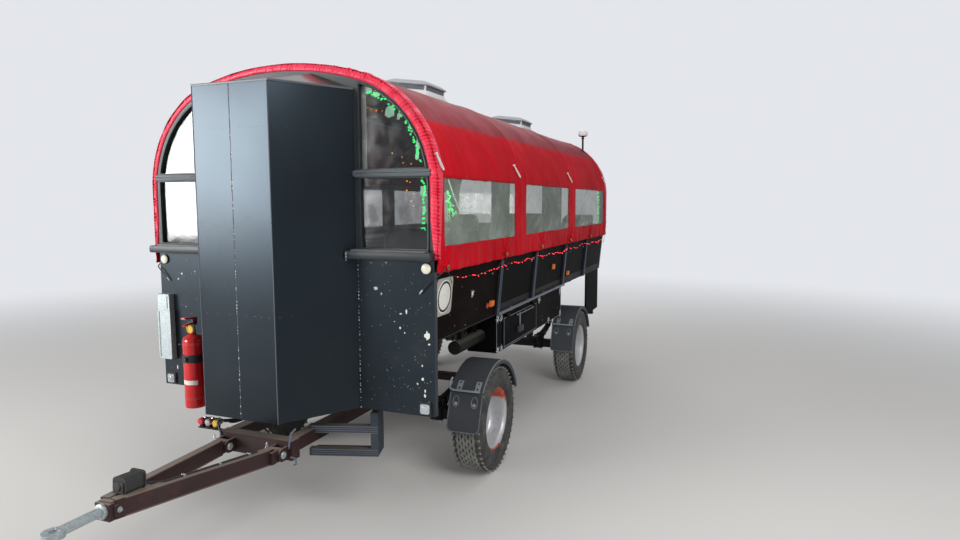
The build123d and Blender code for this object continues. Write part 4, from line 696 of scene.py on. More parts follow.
def arc(centre: Vector, first: Vector, second: Vector, start: float, end: float, steps: int) -> list[Vector]:
    """Returns points on an arc whose two half axes are vectors, from a start to an end in degrees."""
    angles = [math.radians(start + (end - start) * step / steps) for step in range(steps + 1)]
    return [centre + first * math.cos(angle) + second * math.sin(angle) for angle in angles]


def rounded(width: float, height: float, radius: float, steps: int = 4) -> list[tuple[float, float]]:
    """Returns the outline of a rectangle with round corners, about its middle."""
    corners = [(1, 1, 0), (-1, 1, 90), (-1, -1, 180), (1, -1, 270)]
    outline = []
    for side, rise, start in corners:
        middle = Vector((side * (width / 2 - radius), rise * (height / 2 - radius), 0))
        outline += [(p.x, p.y) for p in arc(middle, RIGHT * radius, ALONG * radius, start, start + 90, steps)]
    return outline


def circle(radius: float, sides: int = 8) -> list[tuple[float, float]]:
    """Returns a round profile."""
    return [(math.cos(turn) * radius, math.sin(turn) * radius) for turn in even_turns(sides)]


def facing(place: Vector, out: Vector) -> Matrix:
    """Returns the matrix that puts a shape at a place with its own Z along a direction."""
    return Matrix.Translation(place) @ out.to_track_quat("Z", "Y").to_matrix().to_4x4()


class Nodes:
    """A geometry node tree with named inputs, built with short calls."""

    def __init__(self, name: str, inputs: dict[str, str]) -> None:
        """Starts a tree.

        Args:
            name: Name of the tree.
            inputs: Each input's name and its kind, such as Float, Int, Vector, Geometry or Material.
        """
        self.tree = bpy.data.node_groups.new(name, "GeometryNodeTree")
        for label, kind in inputs.items():
            self.tree.interface.new_socket(label, in_out="INPUT", socket_type=f"NodeSocket{kind}")
        self.tree.interface.new_socket("Pieces", in_out="OUTPUT", socket_type="NodeSocketGeometry")
        self.given = self.tree.nodes.new("NodeGroupInput").outputs

    def add(self, kind: str, values: dict[str | int, object] | None = None, **settings: object) -> bpy.types.Node:
        """Adds a node with its settings, and links or sets its inputs."""
        made = self.tree.nodes.new(kind)
        for key, value in settings.items():
            setattr(made, key, value)
        for key, value in (values or {}).items():
            if isinstance(value, Socket):
                self.tree.links.new(value, made.inputs[key])
            else:
                made.inputs[key].default_value = value
        return made

    def maths(self, operation: str, first: object, second: object = 0.0) -> Socket:
        """Returns two numbers joined by one arithmetic operation."""
        return self.add("ShaderNodeMath", {0: first, 1: second}, operation=operation).outputs[0]

    def vector(self, x: object = 0.0, y: object = 0.0, z: object = 0.0) -> Socket:
        """Returns a vector of three numbers."""
        return self.add("ShaderNodeCombineXYZ", {"X": x, "Y": y, "Z": z}).outputs[0]

    def join(self, parts: Sequence[Socket]) -> Socket:
        """Returns several geometries as one."""
        made = self.tree.nodes.new("GeometryNodeJoinGeometry")
        for part in parts:
            self.tree.links.new(part, made.inputs[0])
        return made.outputs[0]

    def finish(self, geometry: Socket) -> None:
        """Ends the tree in real meshes with the input's material."""
        real = self.add("GeometryNodeRealizeInstances", {"Geometry": geometry}).outputs[0]
        dressed = self.add("GeometryNodeSetMaterial", {"Geometry": real, "Material": self.given["Finish"]})
        end = self.tree.nodes.new("NodeGroupOutput")
        self.tree.links.new(dressed.outputs[0], end.inputs[0])

    def plain(self, base: bpy.types.Mesh, values: dict[str, object]) -> bpy.types.Mesh:
        """Runs the tree on a mesh and returns the result as a plain mesh.

        Args:
            base: The mesh that the tree starts from.
            values: Each named input's value.

        Returns:
            The new mesh.
        """
        holder = bpy.data.objects.new("holder", base)
        bpy.context.scene.collection.objects.link(holder)
        modifier = holder.modifiers.new("nodes", "NODES")
        modifier.node_group = self.tree
        for item in self.tree.interface.items_tree:
            if item.name in values:
                modifier[item.identifier] = values[item.name]
        shown = holder.evaluated_get(bpy.context.evaluated_depsgraph_get())
        made = bpy.data.meshes.new_from_object(shown)
        bpy.data.objects.remove(holder)
        return made


class Shape(Enum):
    """Small shapes that a Repeat puts on its points, standing along the point's direction."""

    BOLT = "bolt"
    RIVET = "rivet"
    EYELET = "eyelet"
    BULB = "bulb"
    DAB = "dab"


@dataclass
class Repeat:
    """Puts one small shape on many points by a node tree."""

    name: str
    shape: Shape
    radius: float
    height: float
    vary: float = 0.0
    seed: int = 7

    def shapes(self, nodes: Nodes) -> Socket:
        """Returns the geometry of one shape, standing on the origin."""
        radius, height = nodes.given["Radius"], nodes.given["Height"]
        if self.shape is Shape.BOLT:
            head = nodes.add("GeometryNodeMeshCylinder", {"Vertices": 6, "Radius": radius, "Depth": height})
            washer = nodes.add("GeometryNodeMeshCylinder", {
                "Vertices": 14, "Radius": nodes.maths("MULTIPLY", radius, 1.5),
                "Depth": nodes.maths("MULTIPLY", height, 0.5)})
            lifted = nodes.add("GeometryNodeTransform", {
                "Geometry": head.outputs[0], "Translation": nodes.vector(z=nodes.maths("MULTIPLY", height, 0.6))})
            return nodes.join([lifted.outputs[0], washer.outputs[0]])
        if self.shape is Shape.EYELET:
            ring = nodes.add("GeometryNodeCurvePrimitiveCircle", {"Resolution": 18, "Radius": radius})
            wire = nodes.add("GeometryNodeCurvePrimitiveCircle", {"Resolution": 8, "Radius": height})
            return nodes.add("GeometryNodeCurveToMesh", {
                0: ring.outputs[0], "Profile Curve": wire.outputs[0]}).outputs[0]
        ball = nodes.add("GeometryNodeMeshIcoSphere", {"Radius": radius, "Subdivisions": 2})
        flat = nodes.maths("DIVIDE", height, radius)
        long = 1.7 if self.shape is Shape.DAB else 1.0
        return nodes.add("GeometryNodeTransform", {
            "Geometry": ball.outputs[0], "Scale": nodes.vector(1.0, long, flat)}).outputs[0]

    def mesh(self, points: Sequence[Vector], outs: Sequence[Vector], finish: Finish) -> bpy.types.Mesh:
        """Returns the shapes on all points as one mesh.

        Args:
            points: Where the shapes stand.
            outs: The direction of each.
            finish: Their finish.

        Returns:
            A plain mesh.
        """
        base = bpy.data.meshes.new("points")
        base.from_pydata([tuple(point) for point in points], [], [])
        out = base.attributes.new("out", "FLOAT_VECTOR", "POINT")
        out.data.foreach_set("vector", [number for direction in outs for number in direction])
        nodes = Nodes(self.name, {
            "Points": "Geometry", "Radius": "Float", "Height": "Float", "Vary": "Float", "Seed": "Int",
            "Finish": "Material"})
        direction = nodes.add("GeometryNodeInputNamedAttribute", {"Name": "out"}, data_type="FLOAT_VECTOR")
        aligned = nodes.add("FunctionNodeAlignRotationToVector", {"Vector": direction.outputs[0]}, axis="Z")
        size = nodes.add("FunctionNodeRandomValue", {
            2: nodes.maths("SUBTRACT", 1.0, nodes.given["Vary"]), 3: nodes.maths("ADD", 1.0, nodes.given["Vary"]),
            "Seed": nodes.given["Seed"]}, data_type="FLOAT")
        placed = nodes.add("GeometryNodeInstanceOnPoints", {
            "Points": nodes.given["Points"], "Instance": self.shapes(nodes), "Rotation": aligned.outputs[0],
            "Scale": nodes.vector(size.outputs[1], size.outputs[1], 1.0)})
        nodes.finish(placed.outputs[0])
        return nodes.plain(base, {
            "Radius": self.radius, "Height": self.height, "Vary": self.vary, "Seed": self.seed,
            "Finish": finish.material()})

    def piece(self, points: Sequence[Vector], outs: Sequence[Vector], finish: Finish,
              body: str = "wagon") -> bpy.types.Object:
        """Makes the shapes on all points one piece."""
        return settle(self.name, self.mesh(points, outs, finish), finish, body)


@dataclass(frozen=True)
class Arch:
    """The tarpaulin's section: upright sides, two corner arcs and a crown arc, measured from the crown."""

    half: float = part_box("tarp_sides")[1].x
    top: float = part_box("tarp_roof")[1].z
    base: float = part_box("tarp_sides")[0].z
    shoulder: float = 2.25
    corner: float = 0.76

    @property
    def sweep(self) -> float:
        """Angle of a corner arc."""
        rise = self.top - self.shoulder - self.corner
        return math.pi / 2 - 2 * math.atan(rise / (self.half - self.corner))

    @property
    def crown(self) -> float:
        """Radius of the crown arc."""
        return self.corner + (self.half - self.corner) / math.cos(self.sweep)

    @property
    def crown_run(self) -> float:
        """Length of half the crown arc."""
        return self.crown * (math.pi / 2 - self.sweep)

    @property
    def half_run(self) -> float:
        """Length from the crown to the lower edge."""
        return self.crown_run + self.corner * self.sweep + self.shoulder - self.base

    def spot(self, run: float, inset: float = 0.0) -> tuple[float, float, Vector]:
        """Returns the place on the arch at a run from the crown, positive to the right.

        Args:
            run: Distance along the arch.
            inset: Distance inside it.

        Returns:
            X, Z and the outward direction.
        """
        side = 1 if run >= 0 else -1
        far = abs(run)
        if far <= self.crown_run:
            angle = math.pi / 2 - far / self.crown
            middle_x, middle_z, radius = 0.0, self.top - self.crown, self.crown
        elif far <= self.crown_run + self.corner * self.sweep:
            angle = self.sweep - (far - self.crown_run) / self.corner
            middle_x, middle_z, radius = self.half - self.corner, self.shoulder, self.corner
        else:
            angle, radius = 0.0, self.corner
            middle_x = self.half - self.corner
            middle_z = self.shoulder - (far - self.crown_run - self.corner * self.sweep)
        out = Vector((side * math.cos(angle), 0, math.sin(angle)))
        return (side * (middle_x + (radius - inset) * math.cos(angle)),
                middle_z + (radius - inset) * math.sin(angle), out)

    def half_at(self, height: float, inset: float) -> float:
        """Returns the arch's half width at a height, measured inside it by an inset."""
        join = self.shoulder + (self.corner - inset) * math.sin(self.sweep)
        if height <= self.shoulder:
            return self.half - inset
        if height <= join:
            return self.half - self.corner + math.sqrt((self.corner - inset) ** 2 - (height - self.shoulder) ** 2)
        return math.sqrt(max(0.0, (self.crown - inset) ** 2 - (height - self.top + self.crown) ** 2))

    def height_at(self, across: float, inset: float) -> float:
        """Returns the arch's height at a half width, measured inside it by an inset."""
        join = self.half - self.corner + (self.corner - inset) * math.cos(self.sweep)
        if across <= join:
            return self.top - self.crown + math.sqrt((self.crown - inset) ** 2 - across ** 2)
        return self.shoulder + math.sqrt((self.corner - inset) ** 2 - (across - self.half + self.corner) ** 2)

    def run_at(self, height: float) -> float:
        """Returns the run at which the right side has a height."""
        if height <= self.shoulder:
            return self.half_run - (height - self.base)
        join = self.shoulder + self.corner * math.sin(self.sweep)
        if height <= join:
            angle = math.asin((height - self.shoulder) / self.corner)
            return self.crown_run + self.corner * (self.sweep - angle)
        return self.crown * math.acos((height - self.top + self.crown) / self.crown)


ARCH = Arch()


def steps(start: float, end: float, step: float) -> list[float]:
    """Returns even steps from a start up to, and without, an end."""
    count = max(1, round((end - start) / step))
    return [start + (end - start) * place / count for place in range(count)]


@dataclass
class Cover:
    """The red tarpaulin: one sheet over the hoops, its puckered hems, clear windows, eyelets and straps."""

    length: float = 5.47
    overhang: float = 0.008
    window_low: float = 1.88
    window_high: float = 2.31
    windows: tuple[tuple[float, float], ...] = ((0.1, 1.51), (1.82, 3.355), (3.66, 5.29))
    hoops: tuple[float, ...] = (0.0, 1.665, 3.507, 5.47)
    eyelets: tuple[float, ...] = (0.12, 1.26, 2.3, 3.42, 4.45, 5.36)
    eyelet_height: float = 1.745
    purlins: tuple[float, ...] = (0.0, 0.566, ARCH.run_at(2.35))
    fabric: float = 0.002
    lap: float = 0.018
    film_ripple: tuple[float, ...] = (0.003, 0.004, 0.009)
    pucker: float = 0.0042
    hooks: tuple[tuple[float, float, float, float], ...] = (
        (0.02, 0.036, 2.45, 2.352), (1.552, 0.043, 2.46, 2.36), (3.378, 0.06, 2.468, 2.37),
        (5.34, 0.035, 2.492, 2.408))

    def sag(self, distance: float, height: float) -> float:
        """Returns how far the fabric dips between two hoops."""
        share = 0.0
        for start, end in zip(self.hoops, self.hoops[1:]):
            if start <= distance <= end:
                share = math.sin(math.pi * (distance - start) / (end - start))
        upper = min(1.0, max(0.0, (height - 1.9) / 0.7))
        return -0.011 * share ** 0.6 * (0.15 + 0.85 * upper)

    def pull(self, distance: float, height: float, side: int) -> float:
        """Returns the folds that run from the eyelets and along the lower edge."""
        low = max(0.0, (self.window_low + 0.03 - height) / 0.2)
        if low <= 0:
            return 0.0
        wave = noise.noise(Vector((distance * 8.5, height * 1.6, side * 3.1)))
        fine = noise.noise(Vector((distance * 21.0, height * 3.0, side * 5.7)))
        made = low * (0.016 * wave + 0.014 * fine)
        for eyelet in self.eyelets:
            along, rise = distance - eyelet, height - self.eyelet_height
            reach = math.hypot(along, rise)
            made += 0.014 * math.exp(-reach / 0.12) * math.cos(7 * math.atan2(rise, along))
        return made

    def gather(self, distance: float, height: float, side: int) -> float:
        """Returns the short pleats that rise from the windows' top edge, strongest at the windows' corners."""
        above = height - self.window_high
        if above < 0 or above > 0.7:
            return 0.0
        corner = min(abs(distance - edge) for pair in self.windows for edge in pair)
        wave = noise.noise(Vector((distance * 17.0 + above * 2.0, above * 1.2, side * 9.3)))
        return wave * (0.005 + 0.009 * math.exp(-corner / 0.14)) * math.exp(-above / 0.15)

    def hold(self, run: float, distance: float) -> float:
        """Returns 0 where a hoop or a purlin carries the fabric, and 1 where nothing does."""
        rail = min(abs(abs(run) - purlin) for purlin in self.purlins)
        hoop = min(abs(distance - place) for place in self.hoops)
        return min(1.0, max(0.0, min(rail, hoop) - 0.022) / 0.12)

    def relief(self, run: float, distance: float) -> float:
        """Returns how far the fabric stands out from the arch at a place."""
        height = ARCH.spot(run)[1]
        side = 1 if run >= 0 else -1
        loose = self.hold(run, distance)
        soft = 0.0035 * noise.noise(Vector((distance * 2.2, run * 2.6, 4.0)))
        ridge = sum(0.0045 * math.exp(-((distance - hoop) / 0.03) ** 2) for hoop in self.hoops)
        if height < self.window_high + 0.7:
            soft += self.pull(distance, height, side) + self.gather(distance, height, side)
        return max(0.002 + self.sag(distance, height) * loose + ridge + soft, 0.001 - 0.014 * loose)

    def spread(self, run: float, distance: float, extra: float = 0.0) -> Vector:
        """Returns the fabric's point at a run and a distance, lifted by its relief."""
        x, z, out = ARCH.spot(run)
        return Vector((x, station(distance), z)) + out * (self.relief(run, distance) + extra)

    def lines(self) -> tuple[list[float], list[float]]:
        """Returns the runs and distances of the sheet's grid, with a line on each window edge."""
        low, high = ARCH.run_at(self.window_low), ARCH.run_at(self.window_high)
        half = steps(0.0, high, 0.032) + steps(high, low, 0.022) + steps(low, ARCH.half_run, 0.0125)
        half.append(ARCH.half_run)
        runs = [-run for run in reversed(half)] + half[1:]
        edges = [edge for pair in self.windows for edge in pair]
        marks = sorted([-self.overhang, self.length + self.overhang, *edges])
        distances = []
        for start, end in zip(marks, marks[1:]):
            distances += steps(start, end, 0.0185)
        return runs, distances + marks[-1:]

    def open_at(self, run: float, distance: float) -> bool:
        """Returns whether a place lies in a window."""
        low, high = ARCH.run_at(self.window_low), ARCH.run_at(self.window_high)
        return high < abs(run) < low and any(start < distance < end for start, end in self.windows)

    def sheet(self) -> bpy.types.Object:
        """Builds the red sheet with its window openings."""
        runs, distances = self.lines()
        low, high = ARCH.run_at(self.window_low), ARCH.run_at(self.window_high)
        rows = []
        for run in runs:
            row = []
            for distance in distances:
                edge = min(abs(abs(run) - low), abs(abs(run) - high))
                wander = 0.005 * noise.noise(Vector((distance * 9.0, run * 9.0, 2.0)))
                near_edge = math.exp(-edge / 0.02)
                row.append(self.spread(run + wander * near_edge, distance + wander))
            rows.append(row)

        def solid(row: int, column: int) -> bool:
            """Returns whether the sheet has fabric after a row and a column."""
            return not self.open_at(
                (runs[row] + runs[row + 1]) / 2, (distances[column] + distances[column + 1]) / 2)

        form = Form()
        form.grid(rows, keep=solid)
        made = form.piece("tarpaulin", TARP_RED, replaces=("tarp_roof", "tarp_sides", "tarp_hems"), slot="tarp_red",
                          sharp=60.0)
        wall = made.modifiers.new("fabric", "SOLIDIFY")
        wall.thickness = self.fabric
        wall.offset = -1.0
        return made

    def hem(self, name: str, front: bool) -> bpy.types.Object:
        """Builds one puckered hem that wraps the end of the frame.

        Args:
            name: The hem's name.
            front: Whether it is the front one.

        Returns:
            The hem.
        """
        profile = [(-0.0035, 1.0), (-0.006, 0.96), (-0.0075, 0.8), (-0.008, 0.58), (-0.008, 0.36),
                   (-0.0075, 0.18), (-0.005, 0.03), (0.0, -0.005), (0.25, -0.009), (0.52, -0.01),
                   (0.8, -0.008), (0.97, -0.004), (1.0, 0.002)]
        reach = ARCH.run_at(1.8)
        runs = steps(-reach, reach, 0.0042 if front else 0.007) + [reach]
        form = Form()
        rows = []
        phase = 0.0
        for run in runs:
            swing = noise.noise(Vector((run * 9.0, 2.0, 7.0 if front else 3.0)))
            phase += (runs[1] - runs[0]) * 2 * math.pi / (0.023 + 0.01 * swing)
            weak = noise.noise(Vector((run * 17.0, 9.0, 4.0)))
            gathered = max(0.0, run + 0.3) / 0.7 if run > -0.9 else (-run - 0.9) / 0.8
            force = (0.15 + 0.75 * min(1.0, gathered)) * (1 + 1.7 * weak)
            lean = 0.3 + 0.55 * noise.noise(Vector((run * 5.0, 1.0, 8.0)))
            low = min(1.0, max(0.0, (ARCH.spot(run)[1] - 1.85) / 0.55))
            back = 0.03 + 0.065 * low
            inner = 0.034 + 0.014 * min(1.0, max(0.0, run + 0.6) / 1.2)
            inner *= min(1.0, 0.5 + 0.5 * (ARCH.spot(run)[1] - 1.8) / 0.25)
            row = []
            for place, (inset, ahead) in enumerate(profile):
                lift = math.sin(math.pi * place / (len(profile) - 1)) ** 0.6
                slant = math.sin(phase + lean * place) * force
                slant += 0.9 * noise.noise(Vector((run * 42.0, place * 0.5, 5.0))) + 0.5 * noise.noise(
                    Vector((run * 9.0, place * 0.3, 1.0)))
                deep = inset * inner if inset > 0 else inset
                x, z, _ = ARCH.spot(run, deep - self.pucker * slant * lift)
                depth = (ahead * back if ahead > 0.01 else ahead) - self.pucker * slant * lift
                y = depth if front else self.length - depth
                row.append(Vector((x, station(y), z)))
            rows.append(row)
        form.grid(rows)
        return form.piece(name, HEM_RED_PAINTED_HIGHLIGHT, slot="tarp_red", sharp=80.0)

    def films(self) -> None:
        lap = self.lap
        low, high = ARCH.run_at(self.window_low - lap), ARCH.run_at(self.window_high + lap)
        for side in SIDES:
            for number, (start, end) in enumerate(self.windows, 1):
                distances = steps(start - lap, end + lap, 0.02) + [end + lap]
                runs = steps(high, low, 0.02) + [low]
                rows = []
                for run in runs:
                    row = []
                    for distance in distances:
                        into = min(run - high, low - run, distance - start + lap, end + lap - distance)
                        loose = min(1.0, max(0.0, into - 0.02) / 0.05)
                        billow = noise.noise(Vector((distance * 4.5 + run, run * 6.0, side * 2.0)))
                        fine = noise.noise(Vector((distance * 9.0 + run * 12.0, run * 4.0, side * 6.0)))
                        lift = -0.0035 + loose * (0.007 * billow + self.film_ripple[number - 1] * fine)
                        row.append(self.spread(side * run, distance, lift))
                    rows.append(row)
                form = Form()
                form.grid(rows)
                film = form.piece(f"clear_window_{side_name(side)}_{number}", WINDOW_FILM,
                                  replaces=("tarp_windows",), slot="clear_sheet", sharp=60.0)

    def fittings(self) -> None:
        """Adds the eyelets and the white straps over the posts between the windows."""
        points, outs = [], []
        for side in SIDES:
            for distance in self.eyelets:
                run = side * ARCH.run_at(self.eyelet_height)
                points.append(self.spread(run, distance, 0.001))
                outs.append(ARCH.spot(run)[2])
        Repeat("eyelets", Shape.EYELET, 0.0135, 0.0042).piece(points, outs, EYELET_METAL)
        Repeat("eyelet_holes", Shape.RIVET, 0.0115, 0.002).piece(points, outs, DARK_GAP)
        form = Form()
        for side in SIDES:
            for top, lean, high, low in self.hooks:
                start, end = side * ARCH.run_at(high), side * ARCH.run_at(low)
                out = ARCH.spot(start)[2]
                ends = [self.spread(start, top, 0.006), self.spread(end, top + lean, 0.008)]
                across = (ends[1] - ends[0]).normalized().cross(out)
                loop = []
                for turn in even_turns(24, 0.5):
                    down = (1 - math.cos(turn)) / 2
                    wide = 0.015 * math.sin(turn) * (0.35 + 0.65 * down)
                    loop.append(ends[0].lerp(ends[1], down) + across * wide + out * (0.004 + 0.012 * down))
                form.sweep(loop, circle(0.0042, 6), out, closed=True)
                knot = facing(ends[0] + out * 0.004, out)
                form.lathe([(0.0, -0.01), (0.009, -0.008), (0.01, 0.004), (0.006, 0.009), (0.0, 0.01)], knot, 12)
        form.piece("white_strap_hooks", STRAP_WHITE)

    def build(self) -> None:
        sheet = self.sheet()
        hems = [self.hem("front_hem", True), self.hem("rear_hem", False)]
        width, length = 2 * ARCH.half_run, self.length + 2 * self.overhang
        self.films()
        self.fittings()


@dataclass
class Wheel:
    """One wheel: a tyre with zigzag ribs and shoulder lugs, and a deep dished rim."""

    end: str
    side: str
    radius: float = 0.42
    half_width: float = 0.124
    rib_height: float = 0.007
    ribs: int = 6
    rib_spacing: float = 0.026
    teeth: int = 44
    lugs: int = 46
    red: float = 0.0

    @property
    def middle(self) -> Vector:
        """The wheel's centre, read from its CAD tyre."""
        low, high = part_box(f"tyre_{self.end}_{self.side}")
        return (low + high) / 2

    @property
    def place(self) -> Matrix:
        """Puts the wheel's own Z on its axle, pointing away from the wagon."""
        return facing(self.middle, RIGHT if self.side == "right" else -RIGHT)

    def tread(self, body: str) -> None:
        """Builds the tread by a node tree: zigzag ribs round the crown and blocks on both shoulders."""
        nodes = Nodes(f"tread_{self.end}_{self.side}_nodes", {
            "Start": "Geometry", "Radius": "Float", "Teeth": "Int", "Ribs": "Int", "Spacing": "Float",
            "Rib Height": "Float", "Swing": "Float", "Lugs": "Int", "Half Width": "Float", "Finish": "Material"})
        given = nodes.given
        index = nodes.add("GeometryNodeInputIndex").outputs[0]
        odd = nodes.maths("MODULO", index, 2.0)
        swing = nodes.maths("MULTIPLY", nodes.maths("SUBTRACT", odd, 0.5), given["Swing"])
        ring = nodes.add("GeometryNodeCurvePrimitiveCircle", {
            "Resolution": nodes.maths("MULTIPLY", given["Teeth"], 2.0),
            "Radius": nodes.maths("SUBTRACT", given["Radius"], nodes.maths("MULTIPLY", given["Rib Height"], 0.5))})
        bent = nodes.add("GeometryNodeSetPosition", {0: ring.outputs[0], "Offset": nodes.vector(z=swing)})
        upright = nodes.add("GeometryNodeSetCurveNormal", {0: bent.outputs[0]}, mode="Z_UP")
        band = nodes.add("GeometryNodeCurvePrimitiveQuadrilateral", {
            "Width": given["Rib Height"], "Height": nodes.maths("MULTIPLY", given["Spacing"], 0.72)})
        rib = nodes.add("GeometryNodeCurveToMesh", {0: upright.outputs[0], "Profile Curve": band.outputs[0]})
        first = nodes.maths("MULTIPLY", nodes.maths("SUBTRACT", given["Ribs"], 1.0),
                            nodes.maths("MULTIPLY", given["Spacing"], -0.5))
        row = nodes.add("GeometryNodeMeshLine", {
            "Count": given["Ribs"], "Start Location": nodes.vector(z=first),
            "Offset": nodes.vector(z=given["Spacing"])}, mode="OFFSET")
        phase = nodes.maths("MULTIPLY", odd, nodes.maths("DIVIDE", math.pi, given["Teeth"]))
        ribs = nodes.add("GeometryNodeInstanceOnPoints", {
            "Points": row.outputs[0], "Instance": rib.outputs[0], "Rotation": nodes.vector(z=phase)})
        lug = nodes.add("GeometryNodeMeshCube", {"Size": (0.011, 0.0165, 0.038)})
        shoulders = []
        for way, shift in ((1.0, 0.0), (-1.0, 0.5)):
            line = nodes.add("GeometryNodeMeshCircle", {
                "Vertices": given["Lugs"], "Radius": nodes.maths("SUBTRACT", given["Radius"], 0.0135)})
            spot = nodes.add("GeometryNodeInputPosition").outputs[0]
            out = nodes.add("FunctionNodeAlignRotationToVector", {"Vector": spot}, axis="X", pivot_axis="Z")
            tilted = nodes.add("FunctionNodeRotateRotation", {
                "Rotation": out.outputs[0],
                "Rotate By": nodes.vector(way * 0.35, 0.42 * way, 0.0)}, rotation_space="LOCAL")
            blocks = nodes.add("GeometryNodeInstanceOnPoints", {
                "Points": line.outputs[0], "Instance": lug.outputs[0], "Rotation": tilted.outputs[0]})
            edge = nodes.maths("MULTIPLY", nodes.maths("SUBTRACT", given["Half Width"], 0.026), way)
            turn = nodes.maths("DIVIDE", 2 * math.pi * shift, given["Lugs"])
            turned = nodes.add("GeometryNodeTransform", {
                "Geometry": blocks.outputs[0], "Translation": nodes.vector(z=edge), "Rotation": nodes.vector(z=turn)})
            shoulders.append(turned.outputs[0])
        nodes.finish(nodes.join([ribs.outputs[0], *shoulders]))
        mesh = nodes.plain(bpy.data.meshes.new("start"), {
            "Radius": self.radius, "Teeth": self.teeth, "Ribs": self.ribs, "Spacing": self.rib_spacing,
            "Rib Height": self.rib_height, "Swing": 0.01, "Lugs": self.lugs, "Half Width": self.half_width,
            "Finish": TREAD_RUBBER.material()})
        mesh.transform(self.place)
        settle(f"tread_{self.end}_{self.side}", mesh, TREAD_RUBBER, body)

    def carcass(self, body: str) -> None:
        """Builds the tyre's smooth walls and the grooves' ground under the tread."""
        ground = self.radius - self.rib_height
        half = [(0.246, 0.096), (0.25, 0.104), (0.262, 0.113), (0.274, 0.1165), (0.2765, 0.1195), (0.281, 0.1205),
                (0.3, 0.1235), (0.33, 0.124), (0.352, 0.1235), (0.356, 0.1245), (0.362, 0.124), (0.38, 0.1195),
                (0.394, 0.113), (0.404, 0.104), (ground - 0.002, 0.09), (ground, 0.06), (ground, 0.0)]
        profile = half + [(radius, -across) for radius, across in reversed(half[:-1])]
        form = Form()
        form.lathe(profile + profile[:1], self.place, 96)
        form.piece(f"tyre_body_{self.end}_{self.side}", TYRE_RUBBER, body, (f"tyre_{self.end}_{self.side}",), "tyre",
                   sharp=50.0)

    def rim(self, body: str) -> None:
        """Builds the dished rim and marks where its old red paint shows."""
        outer = [(0.0, -0.012), (0.02, -0.012), (0.04, -0.014), (0.052, -0.02), (0.056, -0.032), (0.056, -0.048),
                 (0.064, -0.052), (0.12, -0.052), (0.165, -0.05), (0.196, -0.044), (0.212, -0.034), (0.22, -0.018),
                 (0.224, 0.01), (0.228, 0.06), (0.232, 0.084), (0.236, 0.09), (0.241, 0.094), (0.244, 0.1),
                 (0.25, 0.103), (0.2555, 0.101), (0.256, 0.096), (0.25, 0.092), (0.247, 0.086), (0.247, -0.086),
                 (0.25, -0.092), (0.256, -0.096), (0.2555, -0.101), (0.25, -0.103), (0.24, -0.098), (0.236, -0.066),
                 (0.1, -0.064), (0.095, -0.066), (0.095, -0.12), (0.0, -0.12)]
        form = Form()
        form.lathe(outer, self.place, 96)
        made = form.piece(f"rim_shell_{self.end}_{self.side}", RIM_OLD if self.red else RIM_SILVER, body,
                          (f"rim_{self.end}_{self.side}",), "rim_silver", sharp=50.0)
        if self.red:
            self.mark_red(made)

    def mark_red(self, rim: bpy.types.Object) -> None:
        """Writes how much red paint is left at each point of a rim."""
        worn = rim.data.attributes.new("red_left", "FLOAT", "POINT")
        middle = self.middle
        for vertex, value in zip(rim.data.vertices, worn.data):
            away = vertex.co - middle
            radius, across = math.hypot(away.y, away.z), abs(away.x)
            top = (away.z / max(radius, 0.01) + 0.25 * away.y / max(radius, 0.01))
            dish = 1.0 if radius > 0.15 else 0.0
            flange = 1.0 if radius > 0.238 and across > 0.085 else 0.0
            edge = 0.4 + 0.45 * (top > 0.75) + 0.3 * (top < -0.9)
            value.value = max(dish * max(0.0, top - 0.55) * 2.6, flange * edge)

    def build(self) -> None:
        """Builds the wheel."""
        body = f"wheel_{self.end}_{self.side}"
        self.carcass(body)
        self.tread(body)
        self.rim(body)


SIDE_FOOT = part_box("chassis_rails")[1].x
SIDE_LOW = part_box("side_ribs")[0].z
SIDE_LEAN = (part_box("side_walls")[1].x - SIDE_FOOT) / (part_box("side_walls")[1].z - SIDE_LOW)


def side_out(height: float) -> float:
    """Returns how far out the leaning side wall stands at a height."""
    return SIDE_FOOT + (height - SIDE_LOW) * SIDE_LEAN


def on_side(side: int, distance: float, height: float, out: float = 0.0) -> Vector:
    """Returns a point on the side wall, lifted outwards.

    Args:
        side: 1 for the right wall, -1 for the left one.
        distance: Distance behind the front panel.
        height: Height above the ground.
        out: Lift from the wall.

    Returns:
        The point.
    """
    return Vector((side * side_out(height), station(distance), height)) + side_face(side) * out


def side_face(side: int) -> Vector:
    """Returns the outward direction of a leaning side wall."""
    return Vector((side, 0, -SIDE_LEAN)).normalized()


def flake(form: Form, place: Matrix, width: float, height: float, draw: random.Random,
          thickness: float = CHIP_DEPTH) -> None:
    """Adds one chip with a torn outline, lying on the XY plane of a place."""
    outline = []
    for turn in even_turns(11):
        reach = draw.uniform(0.62, 1.1)
        outline.append(place @ Vector((math.cos(turn) * width / 2 * reach, math.sin(turn) * height / 2 * reach, 0.0)))
    form.plate(outline, place.to_3x3() @ Vector((0, 0, thickness)))


def star(form: Form, place: Matrix, size: float, draw: random.Random) -> None:
    """Adds a chip with torn points, as paint breaks round a bolt."""
    outline = []
    for step, turn in enumerate(even_turns(14)):
        reach = size / 2 * (draw.uniform(0.7, 1.25) if step % 2 else draw.uniform(0.22, 0.4))
        outline.append(place @ Vector((math.cos(turn) * reach, math.sin(turn) * reach, 0.0)))
    form.plate(outline, place.to_3x3() @ Vector((0, 0, CHIP_DEPTH)))


